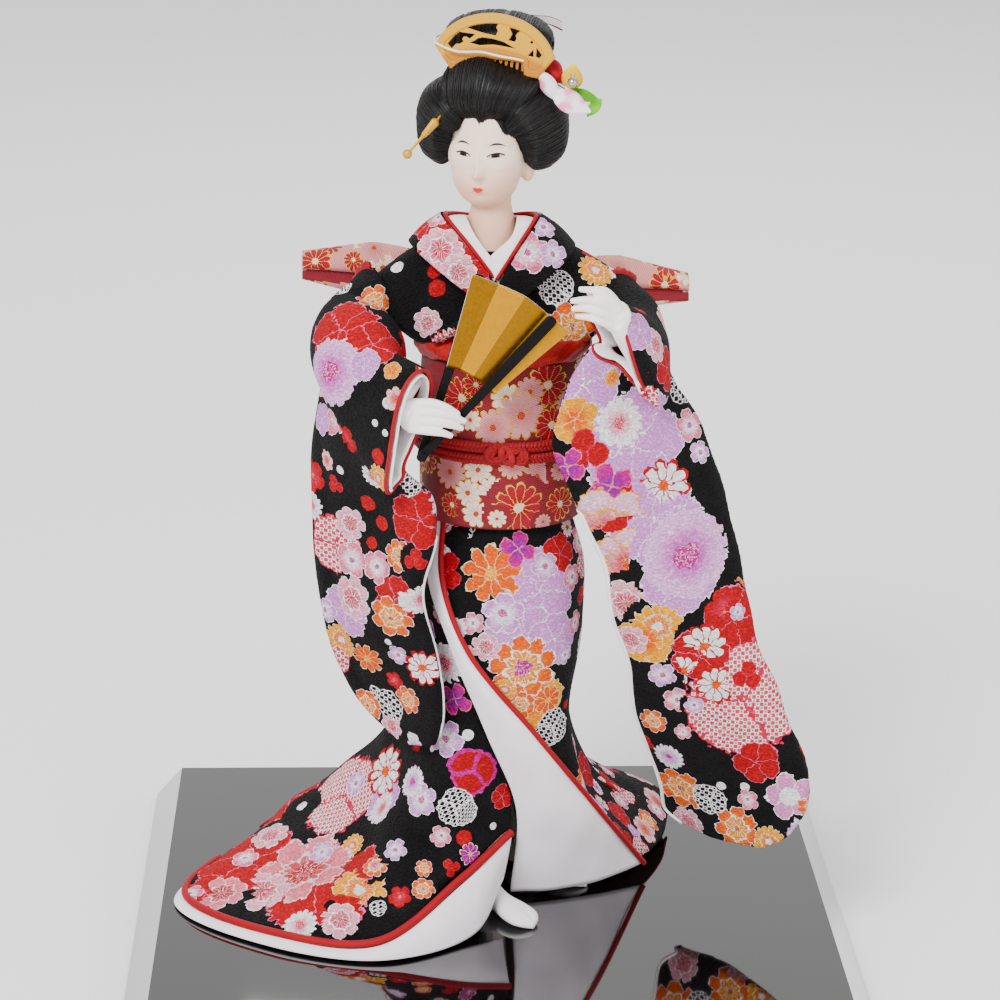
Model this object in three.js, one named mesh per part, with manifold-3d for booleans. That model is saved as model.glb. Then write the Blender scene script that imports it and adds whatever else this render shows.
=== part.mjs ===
// A standing display doll in a long-sleeved kimono on a lacquered board.
// Millimetres, +Z up. The origin is at the centre of the stand's underside, and the doll faces -Y.
// Left and right are the wearer's, so the left arm is at +X.
import * as THREE from "three";
import { mergeVertices } from "three/addons/utils/BufferGeometryUtils.js";
import Module from "manifold-3d";

const wasm = await Module();
wasm.setup();

// Stand
const BOARD_WIDTH = 290;
const BOARD_DEPTH = 250;
const BEVEL = 12;
const BOARD_THICK = 18;
const STRIP_THICK = 2;
const STRIP_WIDTH = 14;
const STRIP_INSET = 12;
const ROD_RADIUS = 1.5;
const ROD_TOP = 160;
const NUT_WIDTH = 7;
const NUT_THICK = 3;
const COUNTERBORE_DEPTH = 5;
const COUNTERBORE_RADIUS = 6;

// Body
const WAIST_HALF_WIDTH = 24;
const WAIST_HALF_DEPTH = 19.5;
const CORE_BOTTOM = 104;
const CORE_TOP = 286;
const ARM_RADIUS = 4.5;
const LEG_TOP_RADIUS = 8.5;
const ANKLE_RADIUS = 5;
const ANKLE_HEIGHT = 13;
const FOOT_LENGTH = 40;
const NECK_RADIUS = 7.5;
const NECK_FLARE = 12;
const PEG_RADIUS = 2;
const PEG_DEPTH = 18;
const FINGER_RADIUS = 1.7;

// Head, turned to the wearer's right about the neck
const HEAD_TURN = THREE.MathUtils.degToRad(-15);
const HEAD_HALF_WIDTH = 16;
const HEAD_HALF_DEPTH = 18;
const HEAD_HALF_HEIGHT = 20;
const COMB_THICK = 1.6;
const HAIRPIN_LENGTH = 32;

// Clothes
const CLOTH = 1;
const OBI_THICK = 1.4;
const OBI_BOTTOM = 182;
const OBI_TOP = 246;
const SCARF_RADIUS = 4;
const CORD_HALF_HEIGHT = 4.5;
const CORD_HEIGHT = 213;
const PIPING_RADIUS = 1.1;
const BOW_REACH = 76;
const BOW_HEIGHT = 22;
const BOW_DEPTH = 16;
const TAIL_WIDTH = 40;
const TAIL_LENGTH = 66;

// Fan
const FAN_RADIUS = 72;
const LEAF_ROOT = 34;
const GUARD_THICK = 1.2;
const GUARD_WIDTH = 4.4;
const LEAF_THICK = 0.8;
const LEAF_WAVE = 0.7;
const PLEATS = 9;
const REAR_GUARD_ANGLE = 74.5;
const FRONT_GUARD_ANGLE = 48;
const LEAF_END_ANGLE = 42;
const LEAF_OVERHANG = 2.5;

// Clearances: between pieces that touch, and along a bore
const GAP = 0.3;
const BOARD_TOP = STRIP_THICK + BOARD_THICK;

const COLOURS = {
  lacquer: ["#0a0a0c", 0.12, 0],
  rubber: ["#1b1b1b", 0.9, 0],
  steel: ["#b9bcc0", 0.35, 0.9],
  straw: ["#cdb98a", 0.9, 0],
  paper: ["#efe9df", 0.85, 0],
  skin: ["#f3e3dc", 0.45, 0],
  tabi: ["#f4f1ea", 0.7, 0],
  hair: ["#0c0b0d", 0.4, 0],
  gold: ["#d9a520", 0.35, 0.8],
  leaf_gold: ["#cf9a1f", 0.35, 0.8],
  black: ["#141210", 0.4, 0],
  red: ["#c31424", 0.75, 0],
  pink: ["#ec7f9c", 0.8, 0],
  yellow: ["#f0b429", 0.8, 0],
  green: ["#6fbf2c", 0.8, 0],
  white: ["#f2edf0", 0.8, 0],
  crepe: ["#3a1c24", 0.85, 0],
  brocade: ["#b4323c", 0.7, 0],
};

const point = (x, y, z) => new THREE.Vector3(x, y, z);
const points = (rows) => rows.map(([x, y, z]) => point(x, y, z));
const through = (rows, closed = false) => new THREE.CatmullRomCurve3(points(rows), closed);
const blend = THREE.MathUtils.lerp;

// A closed surface from points and triangles, turned to face outwards, as a solid
function solidOf(vertices, triangles) {
  const position = new Float32Array(vertices.flatMap((v) => [v.x, v.y, v.z]));
  let geometry = new THREE.BufferGeometry();
  geometry.setAttribute("position", new THREE.BufferAttribute(position, 3));
  geometry.setIndex(triangles);
  geometry = mergeVertices(geometry, 1e-4);
  return solidOfGeometry(geometry);
}

function solidOfGeometry(source) {
  const bare = source.clone();
  bare.deleteAttribute("normal");
  bare.deleteAttribute("uv");
  const geometry = mergeVertices(bare, 1e-4);
  const make = (triVerts) => {
    const vertProperties = geometry.attributes.position.array;
    return new wasm.Manifold(new wasm.Mesh({ numProp: 3, vertProperties, triVerts }));
  };
  const kept = [];
  const index = geometry.index.array;
  for (let i = 0; i < index.length; i += 3) {
    const [a, b, c] = [index[i], index[i + 1], index[i + 2]];
    if (a !== b && b !== c && a !== c) kept.push(a, b, c);
  }
  const solid = make(new Uint32Array(kept));
  if (solid.volume() > 0) return solid;
  for (let i = 0; i < kept.length; i += 3) [kept[i], kept[i + 1]] = [kept[i + 1], kept[i]];
  return make(new Uint32Array(kept));
}

function geometryOf(solid) {
  const mesh = solid.getMesh();
  const position = new Float32Array(mesh.numVert * 3);
  for (let i = 0; i < mesh.numVert; i++) {
    position.set(mesh.vertProperties.subarray(i * mesh.numProp, i * mesh.numProp + 3), i * 3);
  }
  const geometry = new THREE.BufferGeometry();
  geometry.setAttribute("position", new THREE.BufferAttribute(position, 3));
  geometry.setIndex(new THREE.BufferAttribute(mesh.triVerts, 1));
  geometry.computeVertexNormals();
  return geometry;
}

// The largest body of a solid: what a cut leaves of a cloth, without the scraps at its rim
function largest(solid) {
  const bodies = solid.decompose();
  return bodies.reduce((best, body) => (body.volume() > best.volume() ? body : best), bodies[0]);
}

const join = (...solids) => solids.reduce((sum, solid) => sum.add(solid));
const cut = (solid, ...tools) => largest(tools.reduce((rest, tool) => rest.subtract(tool), solid));

// Rings of equally many points, joined in order and closed at both ends
function loft(rings) {
  const count = rings[0].length;
  const vertices = rings.flat();
  const triangles = [];
  for (let i = 0; i + 1 < rings.length; i++) {
    for (let j = 0; j < count; j++) {
      const next = (j + 1) % count;
      const [a, b] = [i * count + j, i * count + next];
      triangles.push(a, b, b + count, a, b + count, a + count);
    }
  }
  for (const [ring, first] of [[0, true], [rings.length - 1, false]]) {
    const centre = rings[ring].reduce((sum, v) => sum.add(v), point(0, 0, 0)).divideScalar(count);
    const middle = vertices.push(centre) - 1;
    for (let j = 0; j < count; j++) {
      const [a, b] = [ring * count + j, ring * count + ((j + 1) % count)];
      triangles.push(...(first ? [middle, b, a] : [middle, a, b]));
    }
  }
  return solidOf(vertices, triangles);
}

// Sections of equally many points, joined all the way round
function hoop(sections) {
  const count = sections[0].length;
  const triangles = [];
  sections.forEach((_, i) => {
    const row = ((i + 1) % sections.length) * count;
    for (let j = 0; j < count; j++) {
      const next = (j + 1) % count;
      triangles.push(i * count + j, i * count + next, row + next);
      triangles.push(i * count + j, row + next, row + j);
    }
  });
  return solidOf(sections.flat(), triangles);
}

// A cloth: surface(u, v) gives its outer face, and its thickness lies behind that.
// lift moves it along its normal, and grow thickens it all round.
function sheet(surface, columns, rows, thick, { lift = 0, grow = 0, away = [0, 0], axis } = {}) {
  const step = 1e-3;
  const vertices = [];
  for (const side of [0, 1]) {
    for (let i = 0; i <= columns; i++) {
      for (let j = 0; j <= rows; j++) {
        const u = blend(-away[0] * Math.sign(grow), 1 + away[0] * Math.sign(grow), i / columns);
        const v = blend(-away[1] * Math.sign(grow), 1 + away[1] * Math.sign(grow), j / rows);
        const at = surface(u, v);
        const along = surface(u + step, v).sub(surface(u - step, v));
        const down = surface(u, v + step).sub(surface(u, v - step));
        const normal = along.cross(down).normalize();
        const outward = axis ? axis(at) : point(at.x, at.y, 0);
        if (normal.dot(outward) < 0) normal.negate();
        const depth = side === 0 ? lift + grow : lift - thick - grow;
        vertices.push(at.clone().addScaledVector(normal, depth));
      }
    }
  }
  const half = (columns + 1) * (rows + 1);
  const id = (i, j, side) => side * half + i * (rows + 1) + j;
  const triangles = [];
  const quad = (a, b, c, d) => triangles.push(a, b, c, a, c, d);
  for (let i = 0; i < columns; i++) {
    for (let j = 0; j < rows; j++) {
      quad(id(i, j, 0), id(i + 1, j, 0), id(i + 1, j + 1, 0), id(i, j + 1, 0));
      quad(id(i, j, 1), id(i, j + 1, 1), id(i + 1, j + 1, 1), id(i + 1, j, 1));
    }
  }
  for (let i = 0; i < columns; i++) {
    quad(id(i, 0, 1), id(i + 1, 0, 1), id(i + 1, 0, 0), id(i, 0, 0));
    quad(id(i, rows, 0), id(i + 1, rows, 0), id(i + 1, rows, 1), id(i, rows, 1));
  }
  for (let j = 0; j < rows; j++) {
    quad(id(0, j, 0), id(0, j + 1, 0), id(0, j + 1, 1), id(0, j, 1));
    quad(id(columns, j, 1), id(columns, j + 1, 1), id(columns, j + 1, 0), id(columns, j, 0));
  }
  return solidOf(vertices, triangles);
}

// A round bar along a curve, whose radius may change from end to end
function bar(curve, radius, sides = 8, steps = 12) {
  const radiusAt = typeof radius === "function" ? radius : () => radius;
  const frames = curve.computeFrenetFrames(steps, false);
  const rings = [];
  for (let i = 0; i <= steps; i++) {
    const centre = curve.getPointAt(i / steps);
    const r = radiusAt(i / steps);
    rings.push(circleRing(sides, (c, s) => centre.clone()
      .addScaledVector(frames.normals[i], r * c)
      .addScaledVector(frames.binormals[i], r * s)));
  }
  return loft(rings);
}

function circleRing(sides, place) {
  return Array.from({ length: sides }, (_, k) => {
    const angle = (2 * Math.PI * k) / sides;
    return place(Math.cos(angle), Math.sin(angle));
  });
}

const straight = (from, to) => new THREE.LineCurve3(point(...from), point(...to));
const roundBar = (from, to, radius, sides = 10) => bar(straight(from, to), radius, sides, 1);
const upright = (x, y, low, high, radius) => roundBar([x, y, low], [x, y, high], radius);

function ball([x, y, z], [rx, ry, rz], grow = 0, across = 8, high = 6) {
  const geometry = new THREE.SphereGeometry(1, across, high);
  geometry.rotateX(Math.PI / 2);
  geometry.scale(rx + grow, ry + grow, rz + grow);
  geometry.translate(x, y, z);
  return solidOfGeometry(geometry);
}

function placed(solid, matrix) {
  return solidOfGeometry(geometryOf(solid).applyMatrix4(matrix));
}

// A point of a curve, which runs on straight past either end
function pointOn(curve, t) {
  const inside = THREE.MathUtils.clamp(t, 0, 1);
  const at = curve.getPoint(inside);
  if (inside === t) return at;
  const end = curve.getPoint(inside === 0 ? 0.01 : 0.99);
  return at.add(at.clone().sub(end).multiplyScalar(Math.abs(t - inside) / 0.01));
}

// A surface drawn through upright lines of points that stand side by side
function acrossRibs(ribs) {
  const curves = ribs.map((rib) => through(rib));
  return (u, v) => {
    const row = curves.map((curve) => pointOn(curve, v));
    return pointOn(new THREE.CatmullRomCurve3(row), u);
  };
}

// Body: half-width and half-depth at each height
const BODY_X = 1.5;
const BODY_Y = -3;
const CORE_STATIONS = [
  [CORE_BOTTOM, 0.5, 1, -2, -1],
  [150, 1.5, -1, 2, 2],
  [OBI_BOTTOM, BODY_X, BODY_Y, 0, 0],
  [236, BODY_X, BODY_Y, 0, 0],
  [254, 0.5, -2, 3.5, -0.5],
  [266, 0, 0, 12, -4],
  [277, -1, 1, 6, -7],
  [CORE_TOP, -2, 1, -9, -10],
];

function coreRing(station, grow, sides = 16) {
  const [z, x, y, wider, deeper] = station;
  return circleRing(sides, (c, s) => point(
    x + (WAIST_HALF_WIDTH + wider + grow) * c,
    y + (WAIST_HALF_DEPTH + deeper + grow) * s,
    z,
  ));
}

const coreBlock = (grow = 0) => loft(CORE_STATIONS.map((station) => coreRing(station, grow)));

// Legs stand on the rods
const LEGS = {
  right: { at: [0, -14.5], toe: [15, -46] },
  left: { at: [13, 14], toe: [38, -8] },
};
const NECK = [-3.5, 0.5];

const rod = ([x, y], grow = 0) => upright(x, y, STRIP_THICK + 1 - grow, ROD_TOP + grow, ROD_RADIUS + grow);

function leg(at) {
  const foot = BOARD_TOP + ANKLE_HEIGHT;
  const tall = CORE_BOTTOM - GAP - foot - GAP;
  const profile = [[0, 0], [ANKLE_RADIUS, 0], [LEG_TOP_RADIUS - 2, 0.45 * tall],
    [LEG_TOP_RADIUS, 0.8 * tall], [LEG_TOP_RADIUS - 1, tall], [0, tall]];
  const turned = new THREE.LatheGeometry(profile.map(([r, z]) => new THREE.Vector2(r, z)), 12);
  turned.rotateX(Math.PI / 2);
  turned.translate(at[0], at[1], foot + GAP);
  return cut(solidOfGeometry(turned), rod(at, GAP));
}

function tabiFoot({ at, toe }) {
  const heading = new THREE.Vector2(toe[0] - at[0], toe[1] - at[1]).normalize();
  const sole = BOARD_TOP + GAP;
  const stations = [[-7, 1.5, 5], [-5, 4.6, 9], [0, 5, ANKLE_HEIGHT - GAP], [6, 4.8, 11.5], [14, 5, 8],
    [22, 5.4, 6.4], [FOOT_LENGTH - 13, 5, 5.6], [FOOT_LENGTH - 8.5, 3.2, 4.4], [FOOT_LENGTH - 7, 1.2, 2.6]];
  const rings = stations.map(([along, wide, tall]) => circleRing(10, (c, s) => point(
    at[0] + heading.x * along - heading.y * wide * c,
    at[1] + heading.y * along + heading.x * wide * c,
    sole + (s > 0 ? tall * (0.35 + 0.65 * s) : 0.35 * tall * (1 + Math.max(-1, 1.6 * s))),
  )));
  return cut(loft(rings), rod(at, GAP));
}

// Arms: the shoulder end of each sits in the body
const ARM_PATHS = {
  right: [[-26, 2, 266], [-44, 1, 264], [-58, -7, 252], [-61, -22, 242], [-46, -41, 238]],
  left: [[26, 2, 266], [41, 1, 264], [50, -6, 258], [54.5, -17, 251], [56, -27, 244]],
};
const arm = (path, grow = 0) => bar(through(path), ARM_RADIUS + grow, 8, 10);

// The fan's own plane, which the right hand holds
const FAN_ROOT = [-30, 217];
const FAN_FRONT = -47;
const LEAF_FRONT = FAN_FRONT + GUARD_THICK + GAP;
const REAR_GUARD_FRONT = LEAF_FRONT + LEAF_THICK + 2 * LEAF_WAVE + GAP;
const FINGER_PLANE = FAN_FRONT - GAP - FINGER_RADIUS;

function rightHand() {
  const wrist = bar(through([[-45.2, -42.5, 237.8], [-40, -47, 235.5], [-35, FINGER_PLANE, 234.5]]),
    (t) => blend(4, 4.8, t), 8, 4);
  const palm = ball([-31.5, FINGER_PLANE - 0.4, 234.5], [7, 2.1, 6.4], 0, 8, 5);
  const fingers = [3, 1, -1, -3].map((row, i) => {
    const reach = [14.5, 16.5, 16, 13][i];
    const start = [-31, FINGER_PLANE, 234.5 + 1.35 * row];
    const bend = [-31 + 0.55 * reach, FINGER_PLANE - 0.8, 234.8 + 1.1 * row];
    const end = [-31 + reach, FINGER_PLANE, 232.6 + 0.85 * row];
    return bar(through([start, bend, end]), (t) => blend(FINGER_RADIUS, FINGER_RADIUS - 0.5, t), 6, 2);
  });
  const tip = [-28.5, REAR_GUARD_FRONT + GUARD_THICK + 2, 246];
  const thumb = bar(through([[-37, -46, 237], [-33, -42.5, 243], tip]), FINGER_RADIUS - 0.1, 6, 4);
  return join(wrist, palm, ...fingers, thumb);
}

function leftHand() {
  const forearm = bar(through([[56, -28.5, 243.5], [52, -35.5, 250], [45.5, -42, 260], [41.5, -46, 268.5]]),
    (t) => blend(ARM_RADIUS, 4.2, t), 8, 6);
  const palm = ball([40, -46.5, 271.5], [7.4, 3, 6.4], 0, 8, 5);
  const fingers = [
    [[41, -48, 276], [34, -50, 281], [27, -48, 281.5]],
    [[38, -48, 274], [31, -51, 278], [24, -48, 277]],
    [[38, -47.5, 271], [31, -50.5, 275], [24.5, -47.5, 274]],
    [[38, -47, 268.5], [32, -49.5, 271.5], [26, -46.5, 271]],
    [[43, -45, 272], [38, -43, 279], [32, -43.5, 280]],
  ].map((path) => bar(through(path), (t) => blend(FINGER_RADIUS, FINGER_RADIUS - 0.5, t), 6, 2));
  return join(forearm, palm, ...fingers);
}

// Head: made facing -Y about the neck's axis, then turned
const SKULL = [0, 0, 332];
const JAW = [0, -5.5, 316.5];
// The head's own coordinates have the top of the body at this height
const NECK_SEAT = 286;
const turnHead = new THREE.Matrix4().makeTranslation(NECK[0], NECK[1], CORE_TOP - NECK_SEAT)
  .multiply(new THREE.Matrix4().makeRotationZ(HEAD_TURN));

function headShape(grow = 0) {
  const skull = ball(SKULL, [HEAD_HALF_WIDTH, HEAD_HALF_DEPTH, HEAD_HALF_HEIGHT], grow, 12, 7);
  const jaw = ball(JAW, [HEAD_HALF_WIDTH - 3.5, HEAD_HALF_DEPTH - 6, HEAD_HALF_HEIGHT - 4.5], grow, 10, 5);
  const low = NECK_SEAT + GAP;
  const profile = [[0, low - grow], [NECK_FLARE + grow, low - grow], [NECK_FLARE - 2 + grow, low + 2.2],
    [NECK_RADIUS + 0.8 + grow, low + 7], [NECK_RADIUS + grow, low + 12], [NECK_RADIUS + grow, JAW[2]],
    [0, JAW[2]]];
  const neck = new THREE.LatheGeometry(profile.map(([r, z]) => new THREE.Vector2(r, z)), 10);
  neck.rotateX(Math.PI / 2);
  const nose = ball([0, JAW[1] - HEAD_HALF_DEPTH + 6.2, JAW[2] + 1.5], [1.7, 1.9, 4.2], grow, 6, 4);
  const ears = [-1, 1].map((side) => (
    ball([side * (HEAD_HALF_WIDTH - 1.4), 2.5, 320], [1.8, 3, 5], grow, 6, 4)));
  return join(skull, jaw, solidOfGeometry(neck), nose, ...ears);
}

const peg = (grow = 0) => (
  upright(0, 0, NECK_SEAT - PEG_DEPTH - grow, NECK_SEAT + PEG_DEPTH + grow, PEG_RADIUS + grow));

// The dressed hair: each part gives way to those before it
const HAIR = {
  hair_front: [[0, -6.5, 350], [17.5, 14, 12]],
  hair_wing_left: [[16.5, -1, 333], [12.5, 15, 15.5]],
  hair_wing_right: [[-16.5, -1, 333], [12.5, 15, 15.5]],
  hair_back: [[0, 16.5, 326], [19, 13.5, 19]],
  topknot: [[0, 9, 362.5], [20, 13.5, 12]],
};

// The comb's plate lies in a plane that leans back with the hair
const COMB_LEAN = THREE.MathUtils.degToRad(-12);
const COMB_AT = [0, -8.5, 361];

const COMB_WINDOWS = [[-12, 4, 3.2], [-4.5, 7.4, 2.8], [4.5, 7.4, 2.8], [12, 4, 3.2]];

function combShape(grow = 0) {
  const outline = new THREE.Shape();
  outline.moveTo(-20 - grow, -6 - grow);
  outline.quadraticCurveTo(-23 - grow, 5, -14, 10.5 + grow);
  outline.quadraticCurveTo(0, 17.5 + grow, 14, 10.5 + grow);
  outline.quadraticCurveTo(23 + grow, 5, 20 + grow, -6 - grow);
  outline.quadraticCurveTo(0, -1, -20 - grow, -6 - grow);
  const thick = COMB_THICK + 2 * grow;
  const plate = new THREE.ExtrudeGeometry(outline, { depth: thick, bevelEnabled: false, curveSegments: 5 });
  plate.translate(0, 0, -thick / 2);
  const teeth = Array.from({ length: 7 }, (_, i) => {
    const tooth = new THREE.BoxGeometry(1.2 + 2 * grow, 12 + 2 * grow, COMB_THICK - 0.6 + 2 * grow);
    tooth.translate((i - 3) * 3.4, -7, 0);
    return solidOfGeometry(tooth);
  });
  const lean = new THREE.Matrix4().makeTranslation(...COMB_AT)
    .multiply(new THREE.Matrix4().makeRotationX(Math.PI / 2 + COMB_LEAN));
  const whole = join(solidOfGeometry(plate), ...teeth);
  if (grow > 0) return placed(whole, lean);
  const windows = COMB_WINDOWS.map(([x, z, half]) => loft([-thick, thick].map((depth) => (
    circleRing(8, (c, s) => point(x + half * c, z + 2 * s - 0.03 * x * half * c, depth))))));
  return placed(cut(whole, ...windows), lean);
}

// Hairpin: in head coordinates, from the ball end into the hair
const HAIRPIN_BALL = [-30.5, -27, 325];
const HAIRPIN_AIM = new THREE.Vector3(16, 12, 20).normalize();
const alongPin = (distance) => point(...HAIRPIN_BALL).addScaledVector(HAIRPIN_AIM, distance);

function hairpin(grow = 0) {
  const shaft = bar(new THREE.LineCurve3(alongPin(0), alongPin(HAIRPIN_LENGTH)), 0.7 + grow, 6, 1);
  const collar = bar(new THREE.LineCurve3(alongPin(9), alongPin(16)), (t) => blend(1.2, 2.6, t) + grow, 8, 2);
  return join(shaft, collar, ball(HAIRPIN_BALL, [1.5, 1.5, 1.5], grow));
}

// The crepe flower spray at the left of the topknot
const SPRAY = {
  crepe_flower_red: [[17.5, -3.5, 352.5], [5.4, 4.6, 4.8]],
  crepe_petal_pink: [[24, -9, 345.5], [8.6, 3, 4]],
  crepe_petal_yellow: [[28.5, -5.5, 352.8], [4.4, 3.4, 3.4]],
  crepe_leaf_green: [[33.2, -6.5, 345.2], [5.2, 3.2, 4.2]],
  flower_bell: [[29.5, -10.8, 352.6], [2.1, 2.1, 2.1]],
};
const SPRAY_PIN = [[31.5, -7, 348.5], [4, 3, 358]];
const sprayPin = (grow = 0) => roundBar(...SPRAY_PIN, 0.8 + grow, 8);
const SPRAY_AIM = point(...SPRAY_PIN[0]).sub(point(...SPRAY_PIN[1])).normalize();

// The hair as the spray meets it on its way out
function hairBehindSpray(centre, size) {
  return [3, 6, 9].map((out) => {
    const back = point(...centre).addScaledVector(SPRAY_AIM, -out);
    return ball([back.x, back.y, back.z], size, GAP, 12, 7);
  });
}

// Kimono surfaces round the body, by angle from the front and height
const BODICE_STATIONS = [
  [206, BODY_X, BODY_Y, 3, 3],
  [226, BODY_X, BODY_Y, 3, 3],
  [246.5, BODY_X, BODY_Y, 3.2, 3.2],
  [253, 0.5, -3, 13, 3.6],
  [261, 0, 0, 23.5, 2],
  [272, 0, 1, 24, -1],
  [280, -1, 2, 15, -4],
  [286, -2, 3, 5, -5.5],
];
const BODICE_SIDES = 18;
const BODICE_STEPS = 7;

// Upright rows of points on the bodice, one for each direction round the body
const bodiceRows = (lift) => circleRing(BODICE_SIDES, (c, s) => {
  const curve = through(BODICE_STATIONS.map(([z, x, y, wider, deeper]) => [
    x + (WAIST_HALF_WIDTH + wider + lift) * c,
    y + (WAIST_HALF_DEPTH + deeper + lift) * s,
    z,
  ]));
  return Array.from({ length: BODICE_STEPS + 1 }, (_, i) => curve.getPoint(i / BODICE_STEPS));
});

function bodiceShell() {
  const inner = bodiceRows(-CLOTH);
  return hoop(bodiceRows(0).map((row, k) => [...row, ...inner[k].reverse()]));
}

function bodiceBlock(grow) {
  const rows = bodiceRows(grow);
  return loft(rows[0].map((_, i) => rows.map((row) => row[i])));
}

// Collars: a band between an inner and an outer edge, from one front end round the nape to the other
const COLLAR_INNER = [[-14, -26, 262], [-2, -24.6, 278.5], [7, -18.5, 292], [12.5, -8, 302], [10, 7, 303],
  [-3, 15, 301], [-16, 7, 303], [-20, -9, 303], [-12, -18, 291], [-3, -22.6, 278.5], [7, -23.8, 262]];
const COLLAR_OUTER = [[-27, -22.5, 256], [-12, -26, 261], [9, -24.4, 273], [26, -13, 287], [22, 12, 291],
  [-3, 21, 288], [-28, 12, 291], [-32, -12, 290], [-17, -21.4, 276], [4, -24.4, 262], [15, -22.4, 256]];
const collarSurface = (u, v) => {
  const edge = pointOn(through(COLLAR_INNER), u);
  return edge.lerp(pointOn(through(COLLAR_OUTER), u), v);
};
const awayFromNeck = (at) => point(at.x - NECK[0], at.y - NECK[1], 12);
const kimonoCollar = (grow = 0) => sheet(collarSurface, 22, 2, 1.6, { lift: 1, grow, axis: awayFromNeck });
const edging = (grow = 0) => {
  const inner = COLLAR_INNER.map(([x, y, z]) => [
    blend(x, NECK[0], 0.06), blend(y, NECK[1], 0.06), z + 0.3,
  ]);
  return bar(through(inner.slice(1, 10)), 0.85 + grow, 5, 18);
};
const UNDER_INNER = [[-4, -16.8, 288.5], [4, -14.5, 297], [8.2, -6, 304], [7, 6, 303.5], [-3, 11.5, 302],
  [-14, 6, 303.5], [-16.2, -6, 304], [-10, -15, 296], [-4.4, -17.8, 288.5]];
const UNDER_OUTER = [[-2.5, -22.2, 278.8], [6, -17.5, 290.5], [11.4, -7.5, 300.5], [9.4, 6.4, 301.5],
  [-3, 13.8, 299.5], [-15.6, 6.4, 301.5], [-18.8, -8.5, 301.5], [-11.6, -17.2, 289.5], [-3, -20.8, 278.6]];
const underSurface = (u, v) => {
  return pointOn(through(UNDER_INNER), u).lerp(pointOn(through(UNDER_OUTER), u), v);
};
const UNDER_COLLAR_THICK = 0.9;
const underCollar = (grow = 0) => (
  sheet(underSurface, 20, 1, UNDER_COLLAR_THICK, { grow, away: [0.02, 0.03], axis: awayFromNeck }));

// The sash and what is tied round it
function aroundWaist(low, high, inner, outer, sides = 24) {
  return hoop(circleRing(sides, (c, s) => [[outer, low], [outer, high], [inner, high], [inner, low]].map(
    ([offset, z]) => point(
      BODY_X + (WAIST_HALF_WIDTH + offset) * c,
      BODY_Y + (WAIST_HALF_DEPTH + offset) * s,
      z,
    ),
  )));
}

function rollRoundWaist(z, offset, halfHeight, halfDepth, rise = () => 0) {
  return hoop(circleRing(24, (c, s) => circleRing(6, (p, q) => point(
    BODY_X + (WAIST_HALF_WIDTH + offset + halfDepth * p) * c,
    BODY_Y + (WAIST_HALF_DEPTH + offset + halfDepth * p) * s,
    z + halfHeight * q + rise(c, s),
  ))));
}

const OBI_INNER = 5.8;
const OBI_OUTER = OBI_INNER + OBI_THICK;
const obi = (grow = 0) => aroundWaist(OBI_BOTTOM - grow, OBI_TOP + grow, OBI_INNER - grow, OBI_OUTER + grow);
const obiScarf = (grow = 0) => (
  rollRoundWaist(OBI_TOP + GAP + SCARF_RADIUS, OBI_INNER + 1.2, SCARF_RADIUS + grow, 3.4 + grow));
const CORD_DEPTH = 1.6;
const CORD_OFFSET = OBI_OUTER + GAP + CORD_DEPTH;

function obiCord(grow = 0) {
  const band = rollRoundWaist(CORD_HEIGHT, CORD_OFFSET, CORD_HALF_HEIGHT + grow, CORD_DEPTH + grow);
  const front = BODY_Y - WAIST_HALF_DEPTH - CORD_OFFSET - 1.4;
  const knot = ball([2, front, CORD_HEIGHT], [6.5, 2.6, CORD_HALF_HEIGHT + 0.8], grow, 8, 5);
  return join(band, knot.subtract(obi(GAP)));
}

// The bow behind the shoulders
const BOW_CENTRE = [0, 33, 265];
// How far the end of each loop hangs below the knot
const BOW_DROOP = { left: 4.5, right: -4 };
const BOW_TAPER = 0.5;

function bowLoop(side, grow = 0) {
  const sign = side === "left" ? 1 : -1;
  const rings = (inset, ends) => ends.map((t) => {
    const reach = blend(7, BOW_REACH, t);
    const open = Math.sin(Math.min(1, 0.25 + t) * Math.PI * 0.5);
    const narrowed = open * blend(1, BOW_TAPER, Math.max(0, (t - 0.6) / 0.4));
    return circleRing(12, (c, s) => point(
      BOW_CENTRE[0] + sign * reach,
      BOW_CENTRE[1] + (BOW_DEPTH / 2 - inset) * open * c * (1 - 0.25 * s) + 4 * t,
      BOW_CENTRE[2] - BOW_DROOP[side] * t + (BOW_HEIGHT / 2 - inset) * narrowed * s,
    ));
  });
  const outer = loft(rings(-grow, [0, 0.2, 0.45, 0.7, 0.9, 1]));
  if (grow > 0) return outer;
  return cut(outer, loft(rings(OBI_THICK, [0.08, 0.3, 0.6, 0.85, 1.02])));
}

const bowKnot = (grow = 0) => ball([0, BOW_CENTRE[1], BOW_CENTRE[2] - 3], [8.5, 12, 14.5], grow, 10, 8);

function bowTail(grow = 0) {
  const top = BOW_CENTRE[2] - 6;
  const ribs = [-0.5, -0.25, 0, 0.25, 0.5].map((share) => {
    const x = share * TAIL_WIDTH;
    const crown = 3 * Math.cos(Math.PI * share);
    return [[x * 0.5, 33 + crown, top], [x * 0.9, 36 + crown, top - 0.3 * TAIL_LENGTH],
      [x, 34 + crown, top - 0.7 * TAIL_LENGTH], [x, 31 + crown, top - TAIL_LENGTH]];
  });
  return sheet(acrossRibs(ribs), 5, 5, 2.4, { grow, axis: () => point(0, 1, 0) });
}

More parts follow.
